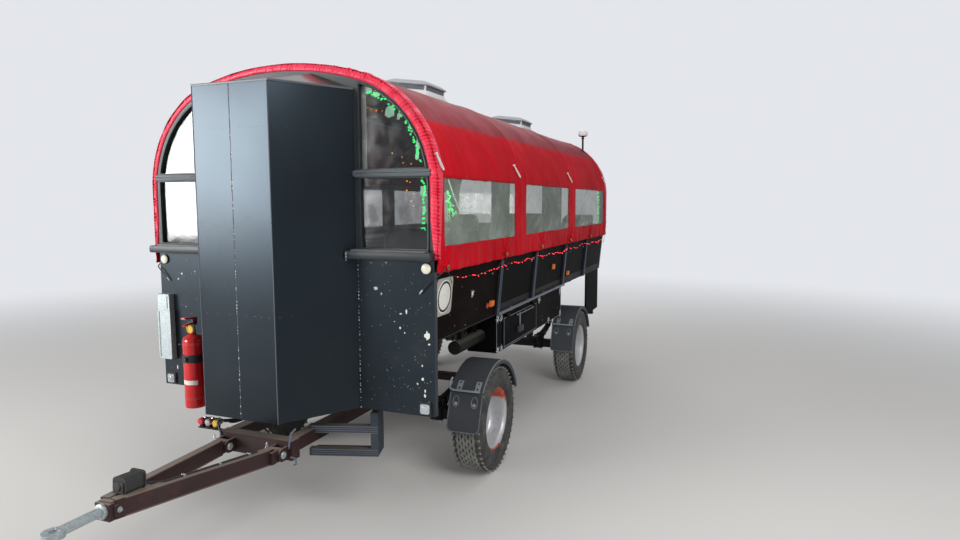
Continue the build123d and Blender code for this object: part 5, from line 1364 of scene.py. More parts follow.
@dataclass
class CabinTrim:
    """Seams, edges and marks of the front cabin and its panels."""

    front_half: float = 0.285
    base_half: float = 0.57
    top: float = 2.88
    bottom: float = 0.795
    front_y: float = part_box("cabin_walls")[0].y
    dent_rows: tuple[float, ...] = (2.607, 1.462)
    chips: tuple[tuple[float, float, float, float], ...] = (
        (0.71, 1.604, 0.024, 0.016), (0.751, 1.571, 0.01, 0.013), (0.931, 1.466, 0.011, 0.026),
        (0.891, 1.448, 0.013, 0.009), (0.885, 1.357, 0.013, 0.014), (1.077, 1.318, 0.032, 0.044),
        (1.091, 1.264, 0.013, 0.01), (0.917, 1.326, 0.007, 0.009), (1.039, 1.122, 0.009, 0.013),
        (1.042, 1.035, 0.015, 0.018), (1.059, 0.958, 0.009, 0.02), (1.057, 0.927, 0.012, 0.018),
        (1.005, 1.001, 0.009, 0.011), (0.845, 1.395, 0.008, 0.005), (0.68, 1.77, 0.01, 0.004),
        (0.79, 1.775, 0.012, 0.004), (-0.926, 1.64, 0.01, 0.012), (-0.96, 1.6, 0.012, 0.01),
        (-0.9, 1.395, 0.009, 0.006), (-0.935, 1.13, 0.014, 0.02), (-0.985, 1.105, 0.01, 0.009),
        (-1.01, 0.93, 0.009, 0.026), (-0.88, 0.905, 0.01, 0.008), (-0.8, 1.66, 0.006, 0.007))

    def dashes(self, name: str, top: Vector, bottom: Vector, out: Vector, step: float, keep: float, seed: int,
               finish: Finish) -> None:
        """Puts short marks down a seam.

        Args:
            name: Name of the marks.
            top: Upper end of the seam.
            bottom: Lower end of the seam.
            out: Direction that the seam faces.
            step: Spacing of the marks.
            keep: Share of the marks that are there.
            seed: Seed of the draw.
            finish: Finish of the marks.
        """
        draw = random.Random(seed)
        count = int((top - bottom).length / step)
        points = []
        for place in range(count + 1):
            point = top.lerp(bottom, place / count)
            stray = RIGHT * draw.uniform(-0.0018, 0.0018)
            point += stray + (bottom - top).normalized() * draw.uniform(-0.3, 0.3) * step
            if draw.random() < keep:
                points.append(point)
        Repeat(name, Shape.DAB, 0.0026, 0.0009, vary=0.4, seed=seed).piece(points, [out] * len(points), finish)

    def seams(self) -> None:
        """Adds the dashed seams of the cabin front, both panel joints and the ledge ends."""
        front = -ALONG
        face = self.front_y - 0.0006
        self.dashes("cabin_seam", Vector((-0.001, face, 2.872)), Vector((-0.003, face, 0.815)), front, 0.0135, 0.9, 11,
                    DARK_GAP)
        self.dashes("cabin_seam_specks", Vector((0.002, face, 2.56)), Vector((0.0, face, 0.815)), front, 0.021, 0.5,
                    31, CHIP_WHITE)
        joint = FRONT_Y - 0.0006
        for side in SIDES:
            self.dashes(f"joint_seam_{side_name(side)}", Vector((side * 0.582, joint, 1.795)),
                        Vector((side * 0.582, joint, 0.8)), front, 0.024, 0.85, 12 + side, CHIP_WHITE)
            self.dashes(f"ledge_seam_{side_name(side)}", Vector((side * 0.545, FRONT_Y - 0.0842, 1.842)),
                        Vector((side * 0.545, FRONT_Y - 0.0842, 1.79)), front, 0.01, 0.9, 22 + side, CHIP_WHITE)
        form = Form()
        form.block((-0.0022, self.front_y - 0.0004, self.bottom), (0.0004, self.front_y + 0.004, self.top))
        form.piece("cabin_seam_filler", DARK_GAP)
        # The pale lip beside the seam is painted highlight on the seam's edge.
        pale = Form()
        pale.block((0.0006, self.front_y - 0.0008, self.bottom), (0.003, self.front_y + 0.004, self.top))
        pale.piece("cabin_seam_lip_highlight", CABIN_EDGE_PAINTED_HIGHLIGHT)

    def edges(self) -> None:
        """Adds the folded corners and the roof sheet's edge, in lighter paint as painted highlight."""
        form = Form()
        for side in SIDES:
            corner = Vector((side * self.front_half, self.front_y, 0))
            form.tube([corner + UP * self.bottom, corner + UP * self.top], 0.003, 8)
        form.piece("cabin_corner_fold_highlights", CABIN_EDGE_PAINTED_HIGHLIGHT)
        out = 0.004
        path = [Vector((-self.base_half - out, FRONT_Y - 0.004, self.top)),
                Vector((-self.front_half - out, self.front_y - out, self.top)),
                Vector((self.front_half + out, self.front_y - out, self.top)),
                Vector((self.base_half + out, FRONT_Y - 0.004, self.top))]
        form = Form()
        form.sweep(path, [(-0.004, -0.01), (0.0, -0.01), (0.0015, 0.0), (0.0, 0.003), (-0.012, 0.004)], UP)
        form.piece("cabin_roof_edge_highlight", CABIN_EDGE_PAINTED_HIGHLIGHT)

    def dents(self) -> None:
        """Adds the rows of faint marks over the cabin's inner rails."""
        draw = random.Random(31)
        form = Form()
        slope = Vector((self.base_half - self.front_half, self.front_y - FRONT_Y, 0))
        for height in self.dent_rows:
            for across in (-0.235, -0.15, -0.055, 0.07, 0.135, 0.185, 0.245):
                place = facing(Vector((across, self.front_y, height + draw.uniform(-0.004, 0.004))), -ALONG)
                flake(form, place, draw.uniform(0.012, 0.028), 0.0022, draw, 0.0004)
            for side in SIDES:
                out = Vector((side * -slope.y, -slope.x, 0)).normalized()
                for share in (0.06, 0.2):
                    spot = Vector((side * self.front_half, self.front_y, height)).lerp(
                        Vector((side * self.base_half, FRONT_Y, height)), share)
                    flake(form, facing(spot, out), draw.uniform(0.01, 0.02), 0.002, draw, 0.0004)
        form.piece("cabin_rail_marks", SCUFF_GREY)

    def paint_chips(self) -> None:
        """Adds the white chips and the fine specks on the front panels."""
        draw = random.Random(5)
        form = Form()
        for across, height, width, tall in self.chips:
            flake(form, facing(Vector((across, FRONT_Y, height)), -ALONG), 1.35 * width, 1.35 * tall, draw)
        for _ in range(150):
            side = 1 if draw.random() < 0.62 else -1
            across = side * (0.6 + 0.52 * draw.random() ** 0.75)
            height = 0.81 + 0.97 * draw.random() ** 1.3
            size = draw.uniform(0.0016, 0.0042)
            flake(form, facing(Vector((across, FRONT_Y, height)), -ALONG), size, size * 1.2, draw)
        form.piece("panel_chips", CHIP_WHITE)

    def holder(self) -> None:
        """Adds the wider lower sleeve and the folds of the zinc plate holder."""
        form = Form()
        face = FRONT_Y - 0.045
        form.block((-1.13, face - 0.006, 0.999), (-1.006, FRONT_Y - 0.004, 1.368))
        form.block((-1.118, face - 0.01, 1.006), (-1.11, face - 0.004, 1.362))
        form.block((-1.04, face - 0.004, 1.376), (-1.033, face + 0.001, 1.48))
        form.block((-1.122, face - 0.003, 1.47), (-1.018, face + 0.001, 1.4845))
        form.piece("holder_sleeve", GALVANISED, bevel=0.0025)

    def steps(self) -> None:
        """Adds the worn pale ridges along the fronts of both steps."""
        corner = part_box("step_frame")[1].x - 0.447
        place = Matrix.Translation((corner, station(-0.11), 0)) @ Matrix.Rotation(math.radians(18), 4, "Z")
        form = Form()
        for top in (0.51, 0.67):
            for drop, tall in ((0.003, 0.005), (0.018, 0.004), (0.032, 0.004), (0.046, 0.004)):
                form.block((0.02, -0.003, top - drop - tall), (0.47, 0.001, top - drop), place)
        form.piece("step_ridges", STEP_EDGE, "steer")

    def build(self) -> None:
        """Builds the cabin's trim."""
        self.holder()
        self.steps()
        self.seams()
        self.edges()
        self.dents()
        self.paint_chips()


@dataclass
class WindowTrim:
    """Lips, bars and ledges round the front and rear panes."""

    border: float = 0.062
    inner: float = 0.61
    low: float = 1.86
    bar_low: float = 2.315
    bar_high: float = 2.365
    rear_border: float = 0.1
    rear_inner: float = 0.52
    rear_top: float = 2.56

    def outline(self, side: int, inner: float, low: float, high: float, border: float, y: float) -> list[Vector]:
        """Returns the edge of an opening under the arch.

        Args:
            side: 1 for the right opening, -1 for the left one.
            inner: X of its upright inner edge.
            low: Its lower edge.
            high: Its upper edge, or a height above the arch.
            border: Width of the frame under the arch.
            y: Where its plane lies.

        Returns:
            Its points, with the arch side in short runs.
        """
        peak = min(high, ARCH.height_at(inner, border))
        heights = [low + (peak - low) * step / 28 for step in range(29)]
        curve = [Vector((side * ARCH.half_at(height, border), y, height)) for height in heights]
        if high < ARCH.height_at(inner, border):
            curve.append(Vector((side * inner, y, high)))
        return [Vector((side * inner, y, low)), *curve]

    def lips(self) -> None:
        """Adds the raised lip round each pane, front and rear."""
        front, rear = Form(), Form()
        profile = rounded(0.012, 0.01, 0.003, 2)
        for side in SIDES:
            for low, high in ((self.low, self.bar_low), (self.bar_high, 9.0)):
                edge = self.outline(side, self.inner, low, high, self.border, FRONT_Y - 0.002)
                front.sweep(edge, profile, ALONG, closed=True)
                inside = self.outline(side, self.inner, low, high, self.border, FRONT_Y + 0.012)
                front.sweep(inside, [(-0.003, -0.004), (0.006, -0.004), (0.006, 0.004), (-0.003, 0.004)], ALONG,
                            closed=True)
            edge = self.outline(side, self.rear_inner, self.low, self.rear_top, self.rear_border, REAR_Y + 0.002)
            rear.sweep(edge, profile, ALONG, closed=True)
        front.piece("front_window_lips", FRAME_PAINT)
        rear.piece("rear_window_lips", SEAL_BLACK)
        low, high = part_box("door_pane")
        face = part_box("door_leaf")[0].y + 0.036
        corners = [Vector((x, face, z)) for x, z in (
            (low.x, low.z), (high.x, low.z), (high.x, high.z), (low.x, high.z))]
        door = Form()
        door.sweep(corners, profile, ALONG, closed=True)
        door.piece("door_pane_seal", SEAL_BLACK, "door")

    def bars(self) -> None:
        """Adds the ribbed cover of the crossbars with their round ends, in lighter paint as painted sheen."""
        form = Form()
        profile = [(-0.0235, -0.001), (-0.024, 0.009), (-0.019, 0.017), (-0.006, 0.02), (-0.0025, 0.014), (0.0025, 0.014),
                   (0.006, 0.02), (0.019, 0.017), (0.024, 0.009), (0.0235, -0.001)]
        middle = (self.bar_low + self.bar_high) / 2
        for side in SIDES:
            ends = [Vector((side * 0.578, FRONT_Y, middle)), Vector((side * 1.112, FRONT_Y, middle))]
            form.sweep(ends if side > 0 else ends[::-1], profile, -ALONG)
            knob = facing(Vector((side * 0.578, FRONT_Y, middle)), RIGHT * -side)
            form.lathe([(0.0, 0.026), (0.012, 0.024), (0.02, 0.016), (0.024, 0.004), (0.024, -0.004), (0.0, -0.004)],
                       knob, 20)
        form.piece("crossbar_covers", FRAME_EDGE_PAINTED_SHEEN, bevel=0.001)

    def ledges(self) -> None:
        """Adds the nosing and the upper step of the ledges under the panes; the steps' lighter paint is painted sheen.
        """
        nose, step = Form(), Form()
        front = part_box("front_bulkhead")[0].y
        bulge = [(0.0, -0.026), (0.006, -0.024), (0.009, -0.012), (0.009, 0.01), (0.006, 0.024), (0.0, 0.026),
                 (-0.004, 0.026), (-0.004, -0.026)]
        for side in SIDES:
            path = [Vector((0.534, front, 1.8225)), Vector((HALF_WIDTH, front, 1.8225)),
                    Vector((HALF_WIDTH, FRONT_Y - 0.001, 1.8225))]
            if side < 0:
                path = [Vector((-p.x, p.y, p.z)) for p in path[::-1]]
            nose.sweep(path, bulge, UP)
            low = Vector((0.56 if side > 0 else -1.095, front + 0.018, 1.845))
            high = Vector((1.095 if side > 0 else -0.56, FRONT_Y - 0.0005, 1.857))
            step.block(low, high)
        nose.piece("ledge_nosings", FRAME_PAINT)
        step.piece("ledge_steps", FRAME_EDGE_PAINTED_SHEEN, bevel=0.002)
        pale = Form()
        for side in SIDES:
            low, high = sorted((side * 0.612, side * 0.646))
            pale.block((low, FRONT_Y + 0.026, 2.372), (high, FRONT_Y + 0.032, ARCH.height_at(0.646, 0.07)))
        pale.piece("pale_window_posts", STRAP_WHITE, bevel=0.001)

    def build(self) -> None:
        """Builds the trim round the panes."""
        self.lips()
        self.bars()
        self.ledges()


@dataclass
class LampSet:
    """Reflectors, front lamps, side markers and rear lamps, in place of the plain CAD lamps."""

    reflector_at: tuple[float, float] = (1.078, 1.744)
    front_at: tuple[float, float] = (1.062, 0.845)
    rear_at: float = 0.8

    def reflectors(self) -> None:
        """Builds the round white reflectors in their black dishes."""
        dish, lens = Form(), Form()
        for side in SIDES:
            place = facing(Vector((side * self.reflector_at[0], FRONT_Y, self.reflector_at[1])), -ALONG)
            dish.lathe([(0.0, -0.001), (0.036, -0.001), (0.036, 0.007), (0.034, 0.009), (0.0, 0.009)], place, 36)
            lens.lathe([(0.0, 0.008), (0.0325, 0.008), (0.0325, 0.012), (0.03, 0.0145), (0.022, 0.018), (0.012, 0.0195),
                        (0.0, 0.02)], place, 36)
        dish.piece("reflector_dishes", SEAL_BLACK, replaces=("lamps",))
        lens.piece("reflector_lenses", REFLECTOR_CREAM, replaces=("lamps",), slot="white_lens")

    def front_lamps(self) -> None:
        """Builds the front lamps, each with round corners and a domed lens."""
        base, lens = Form(), Form()
        for side in SIDES:
            place = facing(Vector((side * self.front_at[0], FRONT_Y, self.front_at[1])), -ALONG)
            for form, half, low, high in ((base, 0.042, -0.001, 0.012), (lens, 0.032, 0.011, 0.02)):
                ring = [place @ Vector((x, y, low)) for x, y in rounded(2 * half, 2 * half, 0.012, 5)]
                form.plate(ring, place.to_3x3() @ Vector((0, 0, high - low)))
            lens.lathe([(0.0, 0.019), (0.026, 0.019), (0.025, 0.022), (0.019, 0.026), (0.009, 0.028), (0.0, 0.0285)],
                       place, 32)
        base.piece("front_lamp_bases", SEAL_BLACK, replaces=("lamps",), bevel=0.003)
        lens.piece("front_lamp_lenses", LENS_CLEAR, replaces=("lamps",), slot="white_lens", bevel=0.002)

    def markers(self) -> None:
        """Builds the side markers: orange lamps, and a red reflector beside the first."""
        base, orange, red = Form(), Form(), Form()
        for side in SIDES:
            out = side_face(side)
            for distance, height, width, tall in ((1.105, 1.37, 0.075, 0.044), (2.9, 1.5, 0.056, 0.05),
                                                  (3.56, 1.37, 0.07, 0.044)):
                place = facing(on_side(side, distance, height), out)
                base.block((-width / 2 - 0.005, -tall / 2 - 0.004, -0.001), (width / 2 + 0.005, tall / 2 + 0.004, 0.006),
                           place)
                orange.block((-width / 2, -tall / 2, 0.005), (width / 2, tall / 2, 0.022), place)
                for step in range(5):
                    x = width * (step - 2) / 5.4
                    orange.block((x - 0.003, -tall * 0.42, 0.022), (x + 0.003, tall * 0.42, 0.0245), place)
            place = facing(on_side(side, 1.026, 1.362), out)
            base.lathe([(0.0, -0.001), (0.024, -0.001), (0.024, 0.006), (0.0, 0.006)], place, 24)
            red.lathe([(0.0, 0.005), (0.021, 0.005), (0.02, 0.01), (0.01, 0.014), (0.0, 0.015)], place, 24)
        base.piece("marker_bases", SEAL_BLACK, replaces=("lamps",), bevel=0.0015)
        orange.piece("marker_lenses", LENS_ORANGE, replaces=("lamps",), bevel=0.0015)
        red.piece("marker_reflectors", LENS_RED, replaces=("lamps",))

    def rear_lamps(self) -> None:
        """Builds the long rear lamps, each with its red, orange and white windows, and the red triangles."""
        base, red, orange, white = Form(), Form(), Form(), Form()
        for side in SIDES:
            place = facing(Vector((side * self.rear_at, REAR_Y, 0.645)), ALONG)
            base.block((-0.105, -0.045, -0.001), (0.105, 0.045, 0.012), place)
            for form, start, end in ((red, -0.1, -0.034), (orange, -0.031, 0.031), (white, 0.034, 0.1)):
                form.block((start, -0.04, 0.011), (end, 0.04, 0.021), place)
                for step in range(6):
                    x = start + (end - start) * (step + 0.5) / 6
                    form.block((x - 0.003, -0.036, 0.021), (x + 0.003, 0.036, 0.0245), place)
            corners = arc(Vector((0, 0, 0)), RIGHT * 0.075, ALONG * 0.075, 90, 450, 3)[:3]
            triangle = facing(Vector((side * 0.56, REAR_Y + 0.0005, 0.65)), ALONG)
            shrunk = [triangle @ (corner * 0.62 + Vector((0, -0.002, 0))) for corner in corners]
            red.plate(shrunk, ALONG * 0.006)
        base.piece("rear_lamp_bases", SEAL_BLACK, replaces=("lamps",), bevel=0.003)
        red.piece("rear_lamp_red", LENS_RED, replaces=("lamps",), bevel=0.001)
        orange.piece("rear_lamp_orange", LENS_ORANGE, replaces=("lamps",), bevel=0.001)
        white.piece("rear_lamp_white", LENS_CLEAR, replaces=("lamps",), bevel=0.001)

    def build(self) -> None:
        """Builds all lamps."""
        self.reflectors()
        self.front_lamps()
        self.markers()
        self.rear_lamps()


@dataclass
class SideTrim:
    """What is fixed to the side walls: rib edges, the brown bay, the low rail, round signs and bolts."""

    ribs: tuple[float, ...] = (1.26, 2.23, 3.36, 4.4)
    rib_half: float = 0.02
    rib_depth: float = 0.022
    rib_top: float = 1.7
    bay: tuple[float, float] = (0.045, 1.236)
    rail: tuple[float, float] = (1.285, 3.42)
    sign_at: tuple[float, float] = (0.195, 1.545)
    sign_size: float = 0.25

    def rib_edges(self) -> None:
        """Adds the worn light edges of the ribs and their bolts."""
        form = Form()
        for side in SIDES:
            for rib in self.ribs:
                for edge in (-self.rib_half, self.rib_half):
                    form.tube([on_side(side, rib + edge, SIDE_LOW + 0.002, self.rib_depth - 0.001),
                               on_side(side, rib + edge, self.rib_top - 0.002, self.rib_depth - 0.001)], 0.0028, 8)
        form.piece("rib_edges", RIB_EDGE)
        points, outs = [], []
        for side in SIDES:
            for rib in self.ribs:
                for height in (1.3, 1.47, 1.64):
                    points.append(on_side(side, rib, height, self.rib_depth))
                    outs.append(side_face(side))
        Repeat("rib_bolts", Shape.RIVET, 0.007, 0.004).piece(points, outs, RIB_EDGE)

    def bays(self) -> None:
        """Adds the brown panel of the first bay and its chips."""
        form, chips = Form(), Form()
        draw = random.Random(17)
        for side in SIDES:
            start, end = self.bay
            outline = [on_side(side, start, 1.262, 0.0005), on_side(side, end, 1.262, 0.0005),
                       on_side(side, end, 1.735, 0.0005), on_side(side, start, 1.735, 0.0005)]
            form.plate(outline, side_face(side) * 0.0022)
            star(chips, facing(on_side(side, 0.7, 1.498, 0.003), side_face(side)), 0.074, draw)
            for _ in range(10):
                spot = on_side(side, draw.uniform(start, end), draw.uniform(1.28, 1.66), 0.003)
                flake(chips, facing(spot, side_face(side)), draw.uniform(0.003, 0.007), draw.uniform(0.003, 0.007), draw)
        form.piece("first_bay_panels", BAY_BROWN)
        chips.piece("bay_chips", CHIP_WHITE)

    def rails(self) -> None:
        """Adds the round rail over the locker."""
        form = Form()
        for side in SIDES:
            path = [Vector((side * (SIDE_FOOT + 0.014), station(self.rail[0]), 1.25)),
                    Vector((side * (SIDE_FOOT + 0.017), station(self.rail[0] + 0.02), 1.256)),
                    Vector((side * (SIDE_FOOT + 0.017), station(self.rail[1] - 0.02), 1.256)),
                    Vector((side * (SIDE_FOOT + 0.014), station(self.rail[1]), 1.25))]
            form.tube(path, 0.0135, 14)
            for distance in (1.62, 2.1, 2.62, 3.1):
                form.block((-0.016, -0.017, -0.018), (0.016, 0.017, 0.004),
                           facing(Vector((side * (SIDE_FOOT + 0.017), station(distance), 1.256)), RIGHT * side))
        form.piece("side_rails", RAIL_LIGHT)

    def signs(self) -> None:
        """Builds the blank round signs on their square plates."""
        plate, disc, ring = Form(), Form(), Form()
        half = self.sign_size / 2
        for side in SIDES:
            place = facing(on_side(side, self.sign_at[0], self.sign_at[1]), side_face(side))
            corners = [place @ Vector((x, y, 0.0026)) for x, y in rounded(2 * half, 2 * half, 0.03, 5)]
            plate.plate(corners, side_face(side) * 0.0026)
            disc.lathe([(0.0, 0.005), (0.112, 0.005), (0.112, 0.0066), (0.11, 0.0072), (0.0, 0.0072)], place, 56)
            ring.lathe([(0.089, 0.007), (0.103, 0.007), (0.103, 0.0082), (0.089, 0.0082), (0.089, 0.007)], place, 56)
        plate.piece("sign_plates", SIGN_GREY, replaces=("blank_plates",), slot="blank_white")
        disc.piece("sign_discs", PLATE_WHITE, replaces=("blank_plates",), slot="blank_white")
        ring.piece("sign_rings", DARK_GAP)

    def build(self) -> None:
        """Builds the side trim."""
        self.rib_edges()
        self.bays()
        self.rails()
        self.signs()


@dataclass
class LockerTrim:
    """Latches, slots, bolts and torn paint of the side lockers."""

    face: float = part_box("lockers")[1].x - 0.02
    start: float = 1.323
    end: float = 3.4
    low: float = 0.92
    high: float = 1.23
    flap: tuple[float, float] = (1.48, 2.42)
    flap_face: float = 1.0705

    def on_face(self, side: int, distance: float, height: float, out: float = 0.0) -> Vector:
        """Returns a point on the locker's outer face."""
        return Vector((side * (self.face + out), station(distance), height))

    def build(self) -> None:
        """Builds the trim of both lockers."""
        draw = random.Random(23)
        chips, edges, dark = Form(), Form(), Form()
        points, outs = [], []
        for side in SIDES:
            out = RIGHT * side
            spots = ((1.348, 1.205), (1.352, 0.938), (1.44, 0.932), (2.905, 0.936), (3.378, 0.94), (3.375, 1.196),
                     (2.56, 1.205), (1.44, 1.198))
            for distance, height in spots:
                star(chips, facing(self.on_face(side, distance, height, 0.0004), out), draw.uniform(0.075, 0.12), draw)
                points.append(self.on_face(side, distance, height, 0.002))
                outs.append(out)
            for _ in range(14):
                spot = self.on_face(side, draw.uniform(self.start, self.end), draw.uniform(self.low, self.high), 0.0004)
                flake(chips, facing(spot, out), draw.uniform(0.003, 0.009), draw.uniform(0.003, 0.008), draw)
            for distance in (self.start, self.end):
                corner = self.on_face(side, distance, 0)
                edges.tube([corner + UP * (self.low + 0.002), corner + UP * (self.high - 0.002)], 0.003, 8)
            edges.tube([self.on_face(side, self.start, self.low), self.on_face(side, self.end, self.low)], 0.003, 8)
            dark.block((-0.003, -0.075, -0.0004), (0.003, 0.075, 0.0012),
                       facing(self.on_face(side, 2.62, 0.992), out))
        chips.piece("locker_chips", CHIP_WHITE)
        edges.piece("locker_edges", RIB_EDGE)
        dark.piece("locker_slots", DARK_GAP)
        Repeat("locker_bolts", Shape.BOLT, 0.008, 0.006).piece(points, outs, GALVANISED)
        for side in SIDES:
            self.latch(side)

    def latch(self, side: int) -> None:
        """Builds the bar latch of one flap, all of it on the flap.

        Args:
            side: 1 for the right flap, -1 for the left one.
        """
        body = f"flap_{side_name(side)}"
        bar, box = Form(), Form()
        out = RIGHT * side

        def at(distance: float, height: float, lift: float) -> Vector:
            """Returns a point on the flap's face."""
            return Vector((side * (self.flap_face + lift), station(distance), height))

        bar.block((-0.014, -0.06, 0.0), (0.014, 0.06, 0.007), facing(at(1.9, 1.118, 0), out))
        bar.tube([at(1.8, 1.166, 0.01), at(2.3, 1.166, 0.01)], 0.006, 10)
        for distance in (1.82, 2.05, 2.28):
            bar.block((-0.009, -0.01, 0.0), (0.009, 0.01, 0.01), facing(at(distance, 1.166, 0), out))
        box.block((-0.06, -0.026, 0.0), (0.06, 0.026, 0.024), facing(at(1.895, 1.032, 0), out))
        box.block((-0.03, -0.013, 0.024), (0.03, 0.013, 0.03), facing(at(1.895, 1.032, 0), out))
        bar.piece(f"latch_bar_{side_name(side)}", RAIL_LIGHT, body, bevel=0.001)
        box.piece(f"latch_box_{side_name(side)}", GUARD_PLASTIC_PAINTED_SHEEN, body, bevel=0.002)
        edge = Form()
        corners = [at(self.flap[0], 0.942, 0), at(self.flap[1], 0.942, 0), at(self.flap[1], 1.186, 0),
                   at(self.flap[0], 1.186, 0)]
        edge.sweep(corners, rounded(0.006, 0.004, 0.001, 1), RIGHT, closed=True)
        edge.piece(f"flap_edge_{side_name(side)}", RIB_EDGE, body)


@dataclass
class Guard:
    """Trim of one mudguard: its rolled bead, the bar at its joint, two straps and two bolted ovals."""

    body: str
    side: int
    axle: float
    radius: float = 0.475
    joint_angle: float = 140.0
    rear_angle: float = 20.0
    inner: float = 0.865
    outer: float = 1.135
    flap_out: float = -0.095
    flap_foot: float = 0.43
    thickness: float = 0.01
    strap_places: tuple[float, float] = (0.935, 1.085)

    @property
    def name(self) -> str:
        """Ending of the names of its pieces."""
        return f"{'front' if self.body == 'steer' else 'rear'}_{side_name(self.side)}"

    def at_angle(self, angle: float, radius: float, across: float) -> Vector:
        """Returns a point at an angle round the wheel."""
        turn = math.radians(angle)
        y, z = station(self.axle) + math.cos(turn) * radius, AXLE_HEIGHT + math.sin(turn) * radius
        return Vector((self.side * across, y, z))

    @property
    def joint(self) -> Vector:
        """The flap's upper edge on its inner face."""
        return self.at_angle(self.joint_angle, self.radius - self.thickness, 0.0)

    @property
    def down(self) -> Vector:
        """The run from the joint to the flap's foot."""
        return Vector((0, self.flap_out, self.flap_foot - self.joint.z))

    @property
    def flap_face(self) -> Vector:
        """The direction that the flap's outside faces."""
        return self.down.cross(RIGHT).normalized() * (1 if self.down.cross(RIGHT).y < 0 else -1)

    def on_flap(self, share: float, across: float, lift: float) -> Vector:
        """Returns a point on the flap's outside, by its share of the way down."""
        start = self.joint + self.down * share
        return Vector((self.side * across, start.y, start.z)) + self.flap_face * (0.0092 + lift)

    def bead(self) -> None:
        """Builds the rolled bead round the guard and its flap."""
        form = Form()
        reach = self.joint_angle - self.rear_angle
        angles = [self.rear_angle + reach * step / 30 for step in range(31)]
        form.tube([self.at_angle(angle, self.radius - 0.002, self.outer - 0.003) for angle in angles], 0.0065, 8)
        length = self.down.length
        corner = 0.04
        path = [self.on_flap(0.02, self.outer - 0.006, 0.001)]
        quarter = [math.pi / 2 * step / 6 for step in range(7)]
        bends = [(math.sin(turn), self.outer - 0.006 - corner + corner * math.cos(turn)) for turn in quarter]
        bends += [(math.cos(turn), self.inner + 0.006 + corner - corner * math.sin(turn)) for turn in quarter]
        path += [self.on_flap(1 - (corner - corner * rise) / length - 0.012, across, 0.001) for rise, across in bends]
        path.append(self.on_flap(0.02, self.inner + 0.006, 0.001))
        form.tube(path, 0.0048, 8)
        form.piece(f"guard_bead_{self.name}", GUARD_EDGE, self.body)

    def bar(self) -> None:
        """Builds the galvanised bar at the joint, bent up behind the guard, and its two straps."""
        radius = 0.488
        path = [self.at_angle(self.joint_angle - 13, radius - 0.004, self.inner - 0.012),
                self.at_angle(self.joint_angle - 8, radius - 0.001, self.inner - 0.016),
                self.at_angle(self.joint_angle - 3, radius, self.inner - 0.008),
                self.at_angle(self.joint_angle - 0.8, radius, self.inner + 0.006),
                self.at_angle(self.joint_angle, radius, self.inner + 0.03),
                self.at_angle(self.joint_angle, radius, self.outer - 0.022)]
        form, holes = Form(), Form()
        form.tube(path, 0.008, 12)
        for place in self.strap_places:
            angles = [self.joint_angle - 0.5, self.joint_angle - 4.0, self.joint_angle - 7.5, self.joint_angle - 11.0]
            rows = []
            for lift in (0.0, 0.005):
                radius = self.radius + 0.0004 + lift
                rows.append([self.at_angle(angle, radius, place - 0.021) for angle in angles]
                            + [self.at_angle(angle, radius, place + 0.021) for angle in angles[::-1]])
            form.grid(rows, closed=True)
            for row in rows:
                for step in range(3):
                    form.cap([row[step], row[step + 1], row[6 - step], row[7 - step]])
            for angle in (self.joint_angle - 3.2, self.joint_angle - 8.8):
                turn = math.radians(angle)
                out = Vector((0, math.cos(turn), math.sin(turn)))
                holes.lathe([(0.0, 0.0), (0.0075, 0.0), (0.0075, 0.0015), (0.0, 0.0015)],
                            facing(self.at_angle(angle, self.radius + 0.0048, place), out), 14)
        form.piece(f"guard_bar_{self.name}", GALVANISED, self.body)
        holes.piece(f"strap_holes_{self.name}", DARK_GAP, self.body)

    def ovals(self) -> None:
        """Builds the two pressed ovals of the flap and their bolts."""
        form = Form()
        points, outs = [], []
        for place in self.strap_places:
            place -= 0.012
            ring = [self.on_flap(0.245 + 0.135 * math.sin(turn), place + 0.024 * math.cos(turn), 0.0012)
                    for turn in even_turns(24)]
            form.sweep(ring, circle(0.0045, 8), self.flap_face, closed=True)
            points.append(self.on_flap(0.3, place, 0.001))
            outs.append(self.flap_face)
        form.piece(f"guard_ovals_{self.name}", GUARD_EDGE, self.body)
        Repeat(f"guard_bolts_{self.name}", Shape.BOLT, 0.009, 0.007).piece(points, outs, GALVANISED, self.body)

    def build(self) -> None:
        """Builds the guard's trim."""
        self.bead()
        self.bar()
        self.ovals()


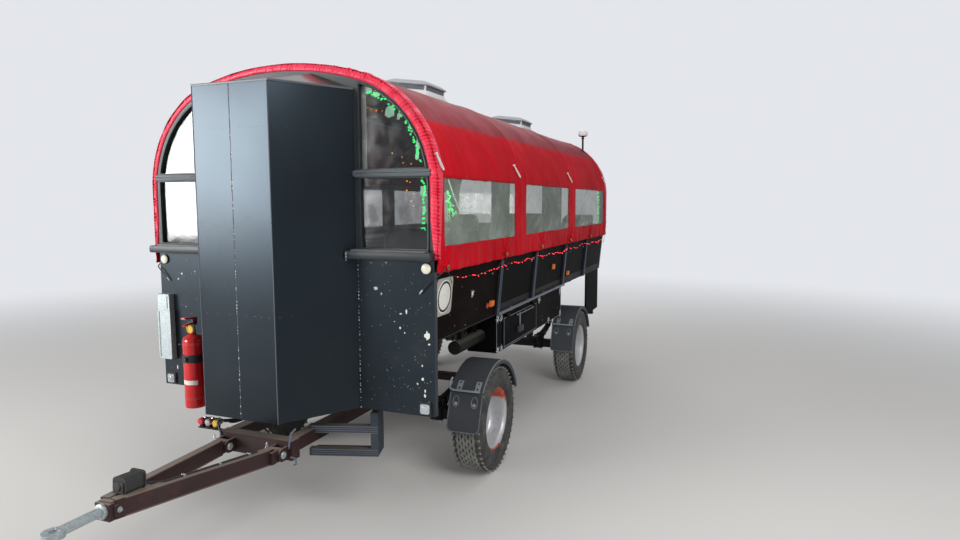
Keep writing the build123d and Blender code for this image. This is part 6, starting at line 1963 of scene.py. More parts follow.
@dataclass
class Extinguisher:
    """The red bottle with its strap, blank band, gauge, valve and levers; its short hose is not built."""

    middle: tuple[float, float] = (-0.745, -2.0)
    radius: float = 0.072

    def build(self) -> None:
        """Builds the bottle and its parts."""
        x, y = self.middle
        foot = Matrix.Translation((x, y, 0))
        bottle = Form()
        r = self.radius
        bottle.lathe([(0.0, 0.698), (r - 0.014, 0.698), (r - 0.012, 0.69), (r - 0.003, 0.69), (r - 0.001, 0.7),
                      (r, 0.712), (r, 1.172), (r - 0.003, 1.188), (r - 0.011, 1.202), (r - 0.026, 1.213), (0.028, 1.22),
                      (0.02, 1.223), (0.02, 1.232), (0.0, 1.232)], foot, 56)
        bottle.piece("bottle", EXTINGUISHER_RED, replaces=("extinguisher",), slot="extinguisher_red", sharp=40)
        strap = Form()
        low, high = 1.022, 1.078
        strap.lathe([(r + 0.0005, low), (r + 0.0065, low), (r + 0.0072, low + 0.004), (r + 0.0072, high - 0.004),
                     (r + 0.0065, high), (r + 0.0005, high), (r + 0.0005, low)], foot, 56)
        strap.block((x - 0.016, y - r - 0.02, 1.034), (x + 0.016, y - r - 0.004, 1.066))
        strap.piece("bottle_strap", SEAL_BLACK, bevel=0.001)
        band = Form()
        turns = [math.radians(210 + 120 * step / 20) for step in range(21)]
        band.grid([[Vector((x + math.cos(t) * (r + lift), y + math.sin(t) * (r + lift), z)) for t in turns]
                   for lift, z in ((0.0, 0.862), (0.0009, 0.863), (0.0009, 0.893), (0.0, 0.894))])
        band.piece("bottle_blank_band", PLATE_WHITE)
        # The pressed rings are drawn in lighter red as painted highlight.
        lines = Form()
        for height in (1.158, 1.148, 0.764, 0.752):
            lines.lathe([(r - 0.001, height), (r + 0.0012, height + 0.0008), (r + 0.0012, height + 0.0034),
                         (r - 0.001, height + 0.0042), (r - 0.001, height)], foot, 56)
        lines.piece("bottle_pressed_line_highlights", PRESSED_LINE_HIGHLIGHT)
        valve = Form()
        valve.lathe([(0.0, 1.228), (0.019, 1.228), (0.022, 1.236), (0.022, 1.262), (0.017, 1.268), (0.015, 1.292),
                     (0.0, 1.292)], foot, 28)
        valve.piece("bottle_valve", COUPLING_METAL, replaces=("extinguisher",), sharp=50)
        gauge = Form()
        gauge.lathe([(0.0, 0.0), (0.028, 0.0), (0.031, 0.004), (0.031, 0.012), (0.026, 0.014), (0.024, 0.01),
                     (0.0, 0.01)], facing(Vector((x + 0.004, y - 0.02, 1.262)), -ALONG), 32)
        gauge.piece("bottle_gauge", GAUGE_YELLOW)
        levers = Form()
        levers.sweep([Vector((x, y + 0.03, 1.318)), Vector((x, y - 0.02, 1.338)), Vector((x, y - 0.085, 1.344))],
                     rounded(0.012, 0.04, 0.005, 3), RIGHT)
        levers.sweep([Vector((x, y + 0.024, 1.296)), Vector((x, y - 0.03, 1.3)), Vector((x, y - 0.08, 1.29))],
                     rounded(0.01, 0.03, 0.004, 3), RIGHT)
        levers.piece("bottle_levers", LEVER_RED, replaces=("extinguisher",))
        grip = Form()
        grip.block((x - 0.013, y - 0.006, 1.284), (x + 0.013, y + 0.034, 1.34))
        grip.piece("bottle_head", SEAL_BLACK, replaces=("extinguisher",), bevel=0.003)


def smooth_cord(name: str, points: Sequence[Vector], diameter: float, finish: Finish, body: str,
                replaces: Sequence[str] = ()) -> tuple[bpy.types.Object, list[Vector]]:
    """Draws a cord on one smooth NURBS line.

    Args:
        name: The cord's name.
        points: The line's control points.
        diameter: The cord's diameter.
        finish: Its finish.
        body: The body that it rides on.
        replaces: The CAD nodes that it stands for.

    Returns:
        The cord and the points along its line.
    """
    curve = bpy.data.curves.new(name, "CURVE")
    curve.dimensions = "3D"
    spline = curve.splines.new("NURBS")
    spline.points.add(len(points) - 1)
    for control, point in zip(spline.points, points):
        control.co = (*point, 1.0)
    spline.order_u = 3
    spline.use_endpoint_u = True
    spline.resolution_u = 12
    made = bpy.data.objects.new(name, curve)
    bpy.context.scene.collection.objects.link(made)
    shown = made.evaluated_get(bpy.context.evaluated_depsgraph_get())
    line = bpy.data.meshes.new_from_object(shown)
    run = [vertex.co.copy() for vertex in line.vertices]
    curve.bevel_depth = diameter / 2
    curve.bevel_resolution = 3
    curve.use_fill_caps = True
    curve.materials.append(finish.material())
    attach(made, body)
    if replaces:
        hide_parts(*replaces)
    LOG.info("cord %s on %s", name, body)
    return made, run


@dataclass
class LineCouplings:
    """The three line couplings on their bracket and the hoses that run behind the crossbeam."""

    places: tuple[float, ...] = (-0.545, -0.48, -0.415)
    face_y: float = -2.175
    back_y: float = -2.1
    height: float = 0.65

    def heads(self) -> None:
        """Builds the coupling heads and their bracket."""
        bracket, silver, red, yellow = Form(), Form(), Form(), Form()
        bracket.block((-0.575, -2.16, 0.6), (-0.281, -2.13, 0.608))
        for number, across in enumerate(self.places):
            bracket.block((across - 0.014, -2.16, 0.606), (across + 0.014, -2.132, 0.64))
            place = facing(Vector((across, self.back_y, self.height)), -ALONG)
            silver.lathe([(0.0, 0.0), (0.013, 0.0), (0.013, 0.01), (0.02, 0.012), (0.02, 0.026), (0.015, 0.028),
                          (0.015, 0.04), (0.0235, 0.042), (0.0235, 0.052), (0.0, 0.052)], place, 24)
            cap = (red, silver, yellow)[number]
            cap.lathe([(0.0, 0.05), (0.0225, 0.05), (0.024, 0.056), (0.024, 0.068), (0.019, 0.074), (0.0, 0.075)],
                      place, 24)
            tab = facing(Vector((across + 0.016, self.face_y + 0.01, self.height + 0.012)), UP)
            (red if number != 2 else yellow).lathe([(0.0, 0.0), (0.006, 0.0), (0.006, 0.01), (0.0, 0.012)], tab, 12)
        bracket.piece("coupling_bracket", CHASSIS_PAINT, "steer", ("couplings",), bevel=0.001)
        silver.piece("coupling_heads", COUPLING_SILVER, "steer", ("couplings",), "coupling_metal")
        red.piece("coupling_cap_red", CAP_RED, "steer", ("couplings",))
        yellow.piece("coupling_cap_yellow", CAP_YELLOW, "steer", ("couplings",))

    def hoses(self) -> None:
        """Builds the hoses as free cords."""
        for number, across in enumerate(self.places):
            end = station(0.02 + 0.045 * number)
            points = [Vector((across, self.back_y, 0.65)), Vector((across + 0.001, self.back_y + 0.04, 0.647)),
                      Vector((across + 0.01, self.back_y + 0.085, 0.606)),
                      Vector((-0.408 + 0.012 * number, end - 0.026, 0.606)), Vector((-0.345, end - 0.002, 0.63)),
                      Vector((-0.2803, end + 0.04, 0.62))]
            hose, run = smooth_cord(f"coupling_hose_{number + 1}", points, 0.018, HOSE_BLACK, "steer", ("coupling_hoses",))

    def build(self) -> None:
        """Builds the couplings and hoses."""
        self.heads()
        self.hoses()


@dataclass
class LightString:
    """The string of red lights under the right edge of the tarpaulin, and the lashings at its front corners."""

    route: tuple[tuple[float, float], ...] = (
        (0.3, 1.672), (0.42, 1.645), (0.55, 1.652), (0.68, 1.638), (0.8, 1.64), (0.95, 1.65), (1.1, 1.648),
        (1.22, 1.662), (1.36, 1.658), (1.5, 1.67), (1.62, 1.64), (1.78, 1.656), (1.92, 1.668), (2.05, 1.652),
        (2.2, 1.674), (2.34, 1.65), (2.5, 1.645), (2.66, 1.664), (2.82, 1.64), (2.98, 1.651), (3.13, 1.624),
        (3.26, 1.655), (3.4, 1.669), (3.55, 1.65), (3.7, 1.652), (3.81, 1.633), (3.98, 1.66), (4.15, 1.668),
        (4.35, 1.648), (4.55, 1.656), (4.75, 1.662), (4.95, 1.645), (5.12, 1.656), (5.3, 1.65))
    wire: float = 0.003
    clear_of_wall: float = 0.0265

    def string(self) -> None:
        """Builds the wire and its bulbs."""
        points = []
        for number, (distance, height) in enumerate(self.route):
            ended = number in (0, len(self.route) - 1)
            points.append(on_side(1, distance, height, 0.01 if ended else self.clear_of_wall))
        wire, run = smooth_cord("light_string", points, self.wire, WIRE_GREEN, "wagon")
        draw = random.Random(41)
        spots, outs, gone = [], [], 0.0
        target = 0.05
        for a, b in zip(run, run[1:]):
            gone += (b - a).length
            if gone > target:
                lean = Vector((1.0, 0.0, draw.uniform(-1.6, 1.0))).normalized()
                spots.append(b + lean * draw.uniform(0.002, 0.012))
                outs.append(lean)
                target = gone + (draw.uniform(0.028, 0.065) if draw.random() < 0.78 else draw.uniform(0.08, 0.16))
        bulbs = Repeat("light_bulbs", Shape.BULB, 0.0033, 0.0042, vary=0.25, seed=3).piece(spots, outs, BULB_RED)

    def lashings(self) -> None:
        """Builds the elastic at both front corners with its steel end."""
        for side in SIDES:
            points = [Vector((side * 1.16, station(0.118), 1.744)), Vector((side * 1.163, station(0.06), 1.722)),
                      Vector((side * 1.152, station(-0.004), 1.694)), Vector((side * 1.118, station(-0.02), 1.672)),
                      Vector((side * 1.08, station(-0.017), 1.636)), Vector((side * 1.052, station(-0.013), 1.606))]
            cord, run = smooth_cord(f"corner_lashing_{side_name(side)}", points, 0.008, ELASTIC_BLACK, "wagon")
            end = Form()
            down = (points[-1] - points[-2]).normalized()
            end.lathe([(0.0, -0.006), (0.005, -0.006), (0.0055, 0.0), (0.0055, 0.026), (0.004, 0.03), (0.0, 0.031)],
                      facing(points[-1], down), 14)
            tip = end.piece(f"lashing_end_{side_name(side)}", GALVANISED)

    def ties(self) -> None:
        """Builds the taut elastic that holds the tarpaulin's lower edge to hooks on the wall."""
        form, hooks = Form(), Form()
        for side in SIDES:
            for number, eyelet in enumerate(Cover.eyelets):
                top = on_side(side, eyelet, 1.74, 0.0)
                top.x = side * 1.159
                for reach in (-0.19, 0.17):
                    if number == 0 and reach < 0:
                        continue
                    foot = on_side(side, eyelet + reach, 1.612 + 0.012 * ((number + side) % 2), 0.012)
                    form.tube([top, top.lerp(foot, 0.5) + RIGHT * side * 0.004, foot], 0.0022, 6)
                    hooks.tube([foot + side_face(side) * -0.013, foot + UP * -0.004, foot + UP * 0.006], 0.003, 8)
        form.piece("edge_ties", ELASTIC_BLACK)
        hooks.piece("tie_hooks", GALVANISED)

    def build(self) -> None:
        """Builds the string, lashings and ties."""
        self.string()
        self.lashings()
        self.ties()


@dataclass
class Rooflight:
    """One rooflight: its domed lid and hinge, which open, and the stepped white flange round its neck."""

    number: int
    distance: float
    across: float = 0.3

    @property
    def place(self) -> Matrix:
        """Puts the rooflight on the roof, tilted with it."""
        tilt = math.asin(self.across / ARCH.crown)
        height = ARCH.height_at(self.across, 0.0)
        return Matrix.Translation((self.across, station(self.distance), height)) @ Matrix.Rotation(tilt, 4, "Y")

    def ring(self, size: float, height: float) -> list[Vector]:
        """Returns a square ring with round corners at a height over the roof."""
        return [self.place @ Vector((x, y, height)) for x, y in rounded(size, size, size * 0.11, 6)]

    def build(self) -> None:
        """Builds the lid, its hinge, the flange, the neck and the screws."""
        lid = Form()
        shape = [(0.372, 0.0812), (0.398, 0.0806), (0.404, 0.0835), (0.406, 0.0885), (0.4, 0.0935), (0.382, 0.099),
                 (0.352, 0.107), (0.318, 0.1155), (0.286, 0.1205), (0.262, 0.1225), (0.24, 0.1232), (0.226, 0.1222),
                 (0.2, 0.1236), (0.1, 0.1262)]
        rows = [self.ring(size, height) for size, height in shape]
        lid.grid(rows, closed=True)
        lid.cap(rows[0])
        lid.cap(rows[-1])
        lid.piece(f"rooflight_lid_{self.number}", HATCH_GREY, f"hatch_{self.number}", (f"hatch_lid_{self.number}",),
                  "hatch_grey", sharp=50)
        hinge = Form()
        for y in (-0.0385, 0.0385):
            hinge.block((-0.232, y - 0.001, 0.083), (-0.19, y + 0.001, 0.103), self.place)
        barrel = self.place @ facing(Vector((-0.213, -0.0395, 0.0933)), ALONG)
        hinge.lathe([(0.0075, 0.0), (0.0125, 0.0), (0.0125, 0.079), (0.0075, 0.079), (0.0075, 0.0)], barrel, 20)
        hinge.block((-0.213, -0.039, 0.0883), (-0.198, 0.039, 0.0983), self.place)
        hinge.piece(f"rooflight_hinge_{self.number}", HATCH_GREY, f"hatch_{self.number}",
                    (f"hatch_lid_{self.number}",))
        flange, neck = Form(), Form()
        inner = 0.3602
        for form, outer, low, high in ((flange, 0.43, -0.014, 0.012), (flange, 0.402, 0.01, 0.026),
                                       (flange, 0.388, 0.027, 0.042), (neck, 0.374, 0.025, 0.078)):
            rows = [self.ring(inner, low), self.ring(outer, low), self.ring(outer, high - 0.002),
                    self.ring(outer - 0.005, high), self.ring(inner, high), self.ring(inner, low)]
            form.grid(rows, closed=True)
        flange.piece(f"rooflight_flange_{self.number}", HATCH_WHITE, slot="hatch_white")
        neck.piece(f"rooflight_neck_{self.number}", SCUFF_GREY)
        points = [self.place @ Vector((x, y, 0.0122)) for x in (-0.205, 0.205) for y in (-0.15, -0.05, 0.05, 0.15)]
        points += [self.place @ Vector((y, x, 0.0122)) for x in (-0.205, 0.205) for y in (-0.1, 0.0, 0.1)]
        up = self.place.to_3x3() @ UP
        Repeat(f"rooflight_screws_{self.number}", Shape.RIVET, 0.006, 0.003).piece(points, [up] * len(points), GALVANISED)


@dataclass
class BeaconLamp:
    """The white beacon on its black stem at the right rear of the roof."""

    middle: tuple[float, float] = (0.85, 3.44)
    top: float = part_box("beacon")[1].z

    def build(self) -> None:
        """Builds the stem, the collar and the dome."""
        foot = Matrix.Translation((*self.middle, self.top))
        stem, dome = Form(), Form()
        stem.lathe([(0.0, -0.296), (0.013, -0.296), (0.013, -0.118), (0.019, -0.112), (0.019, -0.1), (0.014, -0.096),
                    (0.016, -0.088), (0.05, -0.082), (0.055, -0.076), (0.0, -0.076)], foot, 28)
        dome.lathe([(0.0, -0.077), (0.06, -0.077), (0.064, -0.071), (0.064, -0.04), (0.0615, -0.034),
                    (0.0615, -0.028), (0.057, -0.016), (0.046, -0.006), (0.026, -0.001), (0.0, 0.0)], foot, 36)
        stem.piece("beacon_stem", SEAL_BLACK, replaces=("beacon",))
        dome.piece("beacon_dome", BEACON_WHITE, replaces=("beacon",), slot="beacon_white")
        plate = Form()
        base = Vector((self.middle[0], self.middle[1], ARCH.height_at(self.middle[0], -0.003)))
        lean = math.asin((self.middle[0] - ARCH.half + ARCH.corner) / ARCH.corner)
        tilt = Matrix.Translation(base) @ Matrix.Rotation(lean, 4, "Y")
        plate.lathe([(0.0, -0.004), (0.034, -0.004), (0.034, 0.003), (0.03, 0.005), (0.0, 0.005)], tilt, 28)
        plate.piece("beacon_foot", SEAL_BLACK)


@dataclass
class DrawbarTrim:
    """Pins, edges, plates, rods, the socket's lid and the cable of the drawbar and the steered frame."""

    pivot: tuple[float, float, float] = (0.212, -2.312, 0.575)
    nose: tuple[float, float, float] = (0.028, -3.33, 0.637)

    def build(self) -> None:
        """Builds the drawbar's fittings."""
        self.pins()
        self.beam_edges()
        self.rods()
        self.box()

    def pins(self) -> None:
        """Adds the pins' heads and their clips."""
        form, clips = Form(), Form()
        x, y, z = self.pivot
        for side in SIDES:
            for end in (1, -1):
                place = facing(Vector((side * x + end * 0.051, y, z)), RIGHT * end)
                form.lathe([(0.0, 0.0), (0.024, 0.0), (0.024, 0.005), (0.019, 0.01), (0.0, 0.011)], place, 24)
            loop = [Vector((side * x - 0.066, y, z - 0.01)), Vector((side * x - 0.068, y - 0.02, z + 0.035)),
                    Vector((side * x - 0.068, y - 0.005, z + 0.07)), Vector((side * x - 0.066, y + 0.006, z + 0.012))]
            clips.tube(loop, 0.0028, 8)
        form.piece("pivot_pin_heads", GALVANISED, "steer")
        clips.piece("pivot_pin_clips", GALVANISED, "steer")

    def beam_edges(self) -> None:
        """Adds the flanged edges of the beams, the nose plates, their bolts and the eye's collar."""
        x, y, z = self.pivot
        nx, ny, nz = self.nose
        run = Vector((nx - x, ny - y, nz - z))
        across = run.cross(UP).normalized()
        lift = across.cross(run).normalized()
        lift = lift if lift.z > 0 else -lift
        form = Form()
        for side in SIDES:
            for rise in (0.0465, -0.0465):
                for edge in (0.0235, -0.0235):
                    start = Vector((x, y, z)) + run * 0.075 + across * edge + lift * rise
                    end = Vector((x, y, z)) + run * 0.955 + across * edge + lift * rise
                    path = [Vector((side * point.x, point.y, point.z)) for point in (start, end)]
                    form.tube(path, 0.0042, 8)
        form.piece("beam_edges", BROWN_EDGE, "drawbar")
        plates = Form()
        for side in SIDES:
            place = facing(Vector((side * 0.0485, -3.24, 0.632)), RIGHT * side)
            plates.block((-0.105, -0.03, 0.0), (0.105, 0.03, 0.007), place)
        plates.block((-0.04, -3.352, 0.6755), (0.04, -3.285, 0.6815))
        plates.piece("nose_plates", BROWN_PAINT, "drawbar", bevel=0.002)
        points = [Vector((side * 0.0555, -3.24 + step, 0.632)) for side in (1, -1) for step in (-0.075, 0.0, 0.075)]
        outs = [RIGHT * side for side in (1, -1) for _ in range(3)]
        Repeat("nose_bolts", Shape.BOLT, 0.01, 0.009).piece(points, outs, GALVANISED, "drawbar")
        collar = Form()
        place = facing(Vector((0, -3.368, 0.6372)), -ALONG)
        collar.lathe([(0.025, 0.0), (0.04, 0.0), (0.04, 0.014), (0.031, 0.02), (0.025, 0.02), (0.025, 0.0)], place, 28)
        collar.piece("eye_collar", GALVANISED, "drawbar")

    def rods(self) -> None:
        """Adds the thin rods and the hook at the crossbeam, and its bolts."""
        form = Form()
        for side, lean in ((1, 0.03), (-1, -0.024)):
            foot = Vector((side * 0.268, -2.262, 0.6))
            form.tube([foot, foot + Vector((lean, -0.012, 0.105)), foot + Vector((lean * 1.4, 0.02, 0.128))], 0.006, 8)
        form.tube([Vector((0.305, -2.29, 0.56)), Vector((0.35, -2.3, 0.56)), Vector((0.352, -2.3, 0.525)),
                   Vector((0.335, -2.3, 0.515))], 0.006, 8)
        form.piece("frame_rods", RIB_EDGE, "steer")
        points = [Vector((x, -2.2415, z)) for x in (-0.14, -0.05, 0.05, 0.14) for z in (0.545, 0.62)]
        Repeat("crossbeam_bolts", Shape.BOLT, 0.01, 0.008).piece(points, [-ALONG] * len(points), GALVANISED, "steer")

    def box(self) -> None:
        """Adds the lid, the clip and the cable of the socket box, clamped along the right beam."""
        low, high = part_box("socket_box")
        lid = Form()
        place = Matrix.Translation(((low.x + high.x) / 2, low.y, (low.z + high.z) / 2 - 0.004)) @ Matrix.Rotation(
            math.radians(-3.5), 4, "X")
        lid.block((-0.034, -0.0045, -0.026), (0.034, 0.002, 0.026), place)
        lid.lathe([(0.0, 0.0), (0.02, 0.0), (0.018, 0.006), (0.0, 0.007)],
                  place @ facing(Vector((0, -0.004, 0)), -ALONG), 20)
        lid.block((-0.008, 0.02, 0.04), (0.008, 0.06, 0.046), place)
        lid.piece("socket_lid", SEAL_BLACK, "drawbar", bevel=0.0015)
        x, y, z = self.pivot
        start, end = Vector((x, y, z)), Vector(self.nose)
        cable = Form()
        path = [Vector((0.02, high.y - 0.006, low.z + 0.02)), Vector((0.03, high.y + 0.03, low.z + 0.01)),
                Vector((0.046, high.y + 0.08, low.z - 0.004))]
        for share in (0.72, 0.5, 0.3, 0.14):
            point = start.lerp(end, share)
            path.append(point + Vector((-0.004, 0, 0.055)))
        cable.tube(path, 0.006, 10)
        cable.piece("clamped_cable", HOSE_BLACK, "drawbar")
        clamps = Form()
        for share in (0.62, 0.4, 0.2):
            point = start.lerp(end, share) + Vector((-0.004, 0, 0.055))
            clamps.block((-0.012, -0.006, -0.006), (0.012, 0.006, 0.0075), Matrix.Translation(point))
        clamps.piece("cable_clamps", GALVANISED, "drawbar", bevel=0.001)


@dataclass
class Suspension:
    """U-bolts and plates that hold the springs to one axle."""

    body: str
    axle: float

    def build(self) -> None:
        """Builds the U-bolts, their plates and nuts."""
        form, plates = Form(), Form()
        points = []
        for side in SIDES:
            for place in (-0.056, 0.056):
                y = station(self.axle + place)
                path = [Vector((side * 0.6 - 0.042, y, 0.357))]
                path += [Vector((side * 0.6 - 0.042, y, 0.518)), Vector((side * 0.6 - 0.036, y, 0.528)),
                         Vector((side * 0.6 + 0.036, y, 0.528)), Vector((side * 0.6 + 0.042, y, 0.518))]
                path.append(Vector((side * 0.6 + 0.042, y, 0.357)))
                form.tube(path, 0.0065, 10)
                points += [Vector((side * 0.6 + across, y, 0.364)) for across in (-0.042, 0.042)]
            plates.block((side * 0.6 - 0.055, station(self.axle) - 0.075, 0.3655),
                         (side * 0.6 + 0.055, station(self.axle) + 0.075, 0.3745))
        name = "front" if self.body == "steer" else "rear"
        form.piece(f"spring_bolts_{name}", CHASSIS_PAINT, self.body)
        plates.piece(f"spring_plates_{name}", CHASSIS_PAINT, self.body, bevel=0.002)
        Repeat(f"spring_nuts_{name}", Shape.BOLT, 0.011, 0.01).piece(points, [-UP] * len(points), GALVANISED, self.body)


@dataclass
class InsideLights:
    """Green and warm small lights, and pale bits of tape that glow as painted light, inside the front and side windows.
    """

    front_right: tuple[tuple[float, float], ...] = (
        (0.64, 2.862), (0.717, 2.835), (0.803, 2.785), (0.873, 2.724), (0.945, 2.612), (0.99, 2.496), (1.01, 2.4))
    lower_right: tuple[tuple[float, float], ...] = ((1.022, 2.309), (1.042, 2.197), (1.034, 2.109), (1.032, 1.96))
    window_mass: tuple[tuple[float, float], ...] = (
        (0.262, 2.235), (0.33, 2.19), (0.27, 2.165), (0.36, 2.135), (0.3, 2.11), (0.405, 2.085), (0.335, 2.07))
    warm_strings: tuple[tuple[float, float, float, tuple[tuple[float, float], ...]], ...] = (
        (0.01, 0.022, 0.012, ((0.63, 2.765), (0.8, 2.705))),
        (0.02, 0.045, 0.02, ((0.83, 2.489), (0.88, 2.42), (0.95, 2.39))),
        (0.02, 0.032, 0.02, ((0.91, 2.298), (0.93, 2.2), (0.98, 2.13))))
    tapes: tuple[tuple[float, float, float, float], ...] = (
        (0.64, 2.872, 0.085, 0.06), (0.7, 2.845, 0.07, 0.04), (0.795, 2.735, 0.062, 0.11),
        (0.86, 2.7, 0.045, 0.05), (0.955, 2.64, 0.05, 0.08), (0.995, 2.52, 0.045, 0.09),
        (0.985, 2.45, 0.04, 0.07), (1.022, 2.225, 0.045, 0.09), (1.03, 2.11, 0.03, 0.06),
        (-1.01, 2.185, 0.095, 0.035), (-0.96, 2.7, 0.06, 0.08), (-1.02, 2.48, 0.03, 0.07))

    def beads(self, path: Sequence[Vector], step: float, spread: float, draw: random.Random) -> list[Vector]:
        """Returns bulbs scattered along a path.

        Args:
            path: Points of the path.
            step: Spacing of the bulbs.
            spread: How far they stray.
            draw: The source of the scatter.

        Returns:
            The places of the bulbs.
        """
        places = []
        for a, b in zip(path, path[1:]):
            count = max(1, round((b - a).length / step))
            for place in range(count):
                stray = Vector([draw.uniform(-spread, spread) for _ in range(3)])
                places.append(a.lerp(b, place / count) + stray)
        return places

    def build(self) -> None:
        """Builds the tapes and their lights."""
        draw = random.Random(77)
        front, inside = station(0.058), ARCH.half - 0.055
        green, warm = [], []
        for path in (self.front_right, self.lower_right):
            green += self.beads([Vector((x, front, z)) for x, z in path], 0.015, 0.011, draw)
        for low, high in ((2.38, 2.74), (1.95, 2.3)):
            path = [Vector((-ARCH.half_at(high + (low - high) * n / 6, 0.118), front, high + (low - high) * n / 6))
                    for n in range(7)]
            green += self.beads(path, 0.03, 0.008, draw)
        for side in SIDES:
            if side > 0:
                mass = [Vector((inside, station(y), z)) for y, z in self.window_mass]
                green += self.beads(mass, 0.017, 0.009, draw)
            for place in (5.18, 5.23):
                ends = [Vector((side * inside, station(place), z)) for z in (2.3, 1.87)]
                green += self.beads(ends, 0.034, 0.008, draw)
            for ahead, step, spread, places in self.warm_strings:
                warm += self.beads([Vector((side * x, front + ahead, z)) for x, z in places], step, spread, draw)
        outs = [Vector((draw.uniform(-1, 1), -1, draw.uniform(-0.5, 0.5))).normalized() for _ in green]
        Repeat("green_lights", Shape.BULB, 0.0062, 0.0075, vary=0.3, seed=5).piece(green, outs, BULB_GREEN)
        Repeat("warm_lights", Shape.BULB, 0.0034, 0.0042, vary=0.2, seed=6).piece(warm, [-ALONG] * len(warm), BULB_WARM)
        # The tapes are no lamps; their glow is painted light.
        tape = Form()
        for x, z, width, tall in self.tapes:
            flake(tape, facing(Vector((x, front + 0.012, z)), Vector((draw.uniform(-0.4, 0.4), -1, 0.2)).normalized()),
                  width, tall, draw, 0.0012)
        for side in SIDES:
            if side > 0:
                places = ((0.29, 2.306), (0.372, 2.205), (0.485, 2.095))
                path = [Vector((side * inside, station(y), z)) for y, z in places]
                tape.sweep(path, [(-0.007, -0.001), (0.007, -0.001), (0.007, 0.001), (-0.007, 0.001)], RIGHT)
            for place in (5.165, 5.245):
                ends = [Vector((side * (inside + 0.004), station(place), z)) for z in (2.31, 1.865)]
                tape.sweep(ends, [(-0.003, -0.001), (0.003, -0.001), (0.003, 0.001), (-0.003, 0.001)], RIGHT)
        tape.piece("light_tapes_painted_glow", TAPE_PAINTED_GLOW)


@dataclass
class BenchTrim:
    """Bright edges and slat lines of the benches."""

    def build(self) -> None:
        """Builds the bench trim."""
        low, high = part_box("bench_panels")
        form = Form()
        for side in SIDES:
            for end_y in (low.y, high.y):
                top, radius = high.z, 0.1
                corner = Vector((side * 0.62 + side * radius, end_y, top - radius))
                path = [Vector((side * 0.62, end_y, 1.8))]
                path += arc(corner, RIGHT * -side * radius, UP * radius, 0, 90, 8)
                path.append(Vector((side * 1.03, end_y, top)))
                form.tube(path, 0.006, 8)
        form.piece("bench_end_edges", RAIL_LIGHT)
        seats_low, seats_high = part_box("bench_seats")
        slats = Form()
        for side in SIDES:
            for slat in range(4):
                inner = 0.624 + slat * 0.101
                xs = sorted((side * inner, side * (inner + 0.094)))
                slats.block((xs[0], seats_low.y + 0.004, seats_high.z),
                            (xs[1], seats_high.y - 0.004, seats_high.z + 0.01))
        slats.piece("bench_slats", BENCH_WOOD, slot="wood", bevel=0.003)


@dataclass
class RearTrim:
    """Hinge bolts, the lock plate, the ladder's grips and the bumper's edges at the rear."""

    def build(self) -> None:
        """Builds the rear trim."""
        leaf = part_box("door_leaf")
        points = []
        for height in (1.5, 2.1, 2.7):
            points += [Vector((x, REAR_Y + 0.0085, height)) for x in (-0.355, -0.315, -0.29)]
        Repeat("door_hinge_bolts", Shape.RIVET, 0.008, 0.005).piece(points, [ALONG] * len(points), GALVANISED, "door")
        lock = Form()
        lock.block((0.298, leaf[0].y + 0.0362, 1.84), (0.342, leaf[0].y + 0.0395, 2.06))
        lock.piece("door_lock_plate", RAIL_LIGHT, "door", bevel=0.0015)
        edge = Form()
        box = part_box("rear_bumper")
        for height in (box[0].z + 0.003, box[0].z + 0.087):
            edge.tube([Vector((box[0].x, REAR_Y + 0.047, height)), Vector((box[1].x, REAR_Y + 0.047, height))], 0.004, 8)
        edge.piece("bumper_edges", RIB_EDGE)
        treads = Form()
        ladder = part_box("ladder")
        for height in (0.42, 0.69, 0.96):
            for step in range(5):
                y = ladder[0].y + 0.012 + step * 0.026
                treads.block((-0.205, y - 0.004, height + 0.0098), (0.205, y + 0.004, height + 0.0135))
        treads.piece("ladder_grips", RIB_EDGE, "ladder")


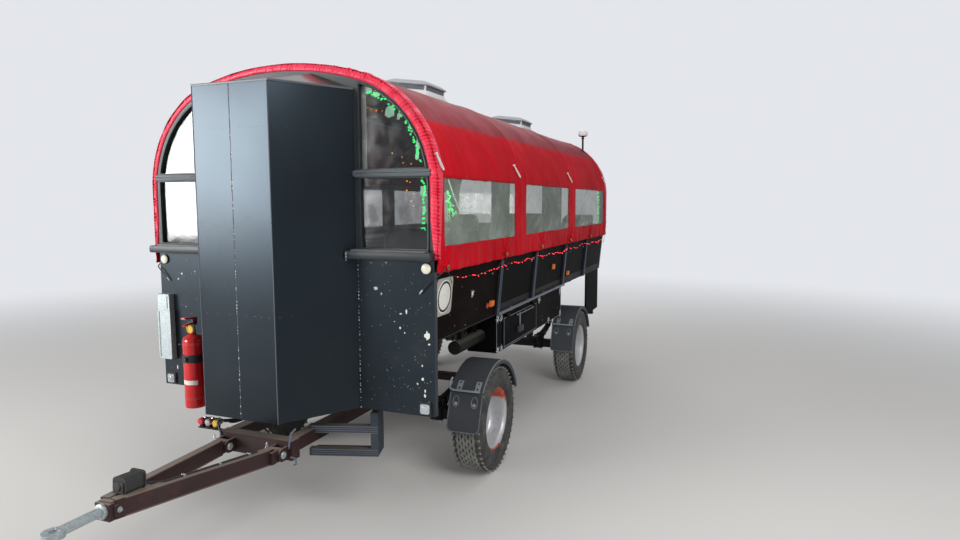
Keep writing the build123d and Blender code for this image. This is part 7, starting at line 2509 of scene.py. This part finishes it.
@dataclass
class Studio:
    """Pale floor, soft lights and the camera at the viewer's place."""

    eye: Vector = field(default_factory=lambda: Vector((2.891, -5.601, 2.15)))
    turn: float = 21.465
    dip: float = 5.758
    roll: float = -0.121
    lens: float = 24.77
    film: float = 36.0
    floor_size: float = 80.0
    floor_colour: Colour = (206, 204, 200)
    fade_start: float = 4.0
    fade_end: float = 15.0
    backdrop: tuple[float, float, float, float] = (0.86, 0.88, 0.92, 1.0)
    backdrop_level: float = 0.9

    def camera(self) -> None:
        """Sets the camera where the viewer stood."""
        data = bpy.data.cameras.new("viewer")
        data.lens = self.lens
        data.sensor_width = self.film
        data.sensor_fit = "HORIZONTAL"
        made = bpy.data.objects.new("viewer", data)
        turn = Matrix.Rotation(math.radians(self.turn), 4, "Z")
        dip = Matrix.Rotation(math.radians(90 - self.dip), 4, "X")
        roll = Matrix.Rotation(math.radians(self.roll), 4, "Z")
        made.matrix_world = Matrix.Translation(self.eye) @ turn @ dip @ roll
        bpy.context.scene.collection.objects.link(made)
        bpy.context.scene.camera = made

    def floor(self) -> None:
        """Lays the plain floor."""
        half = self.floor_size / 2
        mesh = bpy.data.meshes.new("floor")
        mesh.from_pydata([(-half, -half, 0), (half, -half, 0), (half, half, 0), (-half, half, 0)], [], [(0, 1, 2, 3)])
        made = bpy.data.objects.new("floor", mesh)
        bpy.context.scene.collection.objects.link(made)
        shader = Shader("floor_plain", self.floor_colour, 0.9, 0.0)
        path = shader.node("ShaderNodeLightPath")
        seen = shader.sum("MAXIMUM", path.outputs["Is Camera Ray"], path.outputs["Is Glossy Ray"])
        seen = shader.sum("MAXIMUM", seen, path.outputs["Is Transmission Ray"])
        away = shader.node("ShaderNodeVectorMath", operation="LENGTH")
        shader.feed(away.inputs[0], shader.place())
        far = shader.ramp(away.outputs["Value"], self.fade_start, self.fade_end)
        pale = shader.node("ShaderNodeEmission")
        pale.inputs["Color"].default_value = self.backdrop
        pale.inputs["Strength"].default_value = self.backdrop_level
        mixed = shader.node("ShaderNodeMixShader")
        shader.feed(mixed.inputs[0], shader.sum("MULTIPLY", seen, far))
        shader.feed(mixed.inputs[1], shader.surface.outputs["BSDF"])
        shader.feed(mixed.inputs[2], pale.outputs["Emission"])
        shader.feed(shader.tree.nodes["Material Output"].inputs["Surface"], mixed.outputs[0])
        mesh.materials.append(shader.material)

    def lamp(self, name: str, place: tuple[float, float, float], aim: tuple[float, float, float],
             size: tuple[float, float], power: float) -> None:
        """Hangs one soft light.

        Args:
            name: Name of the light.
            place: Where it hangs.
            aim: The point that it faces.
            size: Its width and height.
            power: Power in watts.
        """
        data = bpy.data.lights.new(name, "AREA")
        data.shape = "RECTANGLE"
        data.size, data.size_y = size
        data.energy = power
        made = bpy.data.objects.new(name, data)
        toward = Vector(aim) - Vector(place)
        made.matrix_world = Matrix.Translation(place) @ toward.to_track_quat("-Z", "Y").to_matrix().to_4x4()
        bpy.context.scene.collection.objects.link(made)

    def lights(self) -> None:
        """Sets the pale surroundings and the soft lights."""
        world = bpy.data.worlds.new("pale")
        bpy.context.scene.world = world
        world.use_nodes = True
        tree = world.node_tree
        sky = tree.nodes["Background"]
        sky.inputs["Color"].default_value = self.backdrop
        path = tree.nodes.new("ShaderNodeLightPath")
        seen = tree.nodes.new("ShaderNodeMath")
        seen.operation = "MAXIMUM"
        tree.links.new(path.outputs["Is Camera Ray"], seen.inputs[0])
        tree.links.new(path.outputs["Is Transmission Ray"], seen.inputs[1])
        level = tree.nodes.new("ShaderNodeMapRange")
        level.inputs["To Min"].default_value = 0.44
        level.inputs["To Max"].default_value = self.backdrop_level
        tree.links.new(seen.outputs["Value"], level.inputs["Value"])
        tree.links.new(level.outputs["Result"], sky.inputs["Strength"])
        self.lamp("front_left_light", (-6.6, -9.0, 3.1), (-0.5, -2.0, 2.2), (4.6, 3.2), 860)
        self.lamp("right_light", (5.2, -4.4, 5.2), (0.6, -1.4, 1.8), (3.5, 3.5), 250)
        self.lamp("top_light", (0.0, 1.0, 8.5), (0, 0, 1.5), (8.0, 8.0), 200)
        self.lamp("rear_light", (-3.0, 10.0, 6.0), (0, 1, 1.5), (6.0, 6.0), 220)

    def build(self) -> None:
        """Builds the whole studio."""
        self.camera()
        self.floor()
        self.lights()
        bpy.context.scene.view_settings.view_transform = "Standard"


def main() -> None:
    """Builds the wagon's dress in order and reports each piece."""
    logging.basicConfig(level=logging.INFO, format="%(name)s %(message)s")
    Studio().build()
    dress_nodes()
    Cover().build()
    for end in ("front", "rear"):
        for side in ("right", "left"):
            Wheel(end, side, red=1.0 if end == "front" else 0.0).build()
    CabinTrim().build()
    WindowTrim().build()
    LampSet().build()
    SideTrim().build()
    LockerTrim().build()
    for side in SIDES:
        Guard("steer", side, FRONT_AXLE).build()
        Guard("wagon", side, REAR_AXLE).build()
    Extinguisher().build()
    LineCouplings().build()
    LightString().build()
    Rooflight(1, 1.4).build()
    Rooflight(2, 3.92).build()
    BeaconLamp().build()
    DrawbarTrim().build()
    Suspension("steer", FRONT_AXLE).build()
    Suspension("wagon", REAR_AXLE).build()
    InsideLights().build()
    BenchTrim().build()
    RearTrim().build()


if __name__ == "__main__":
    main()
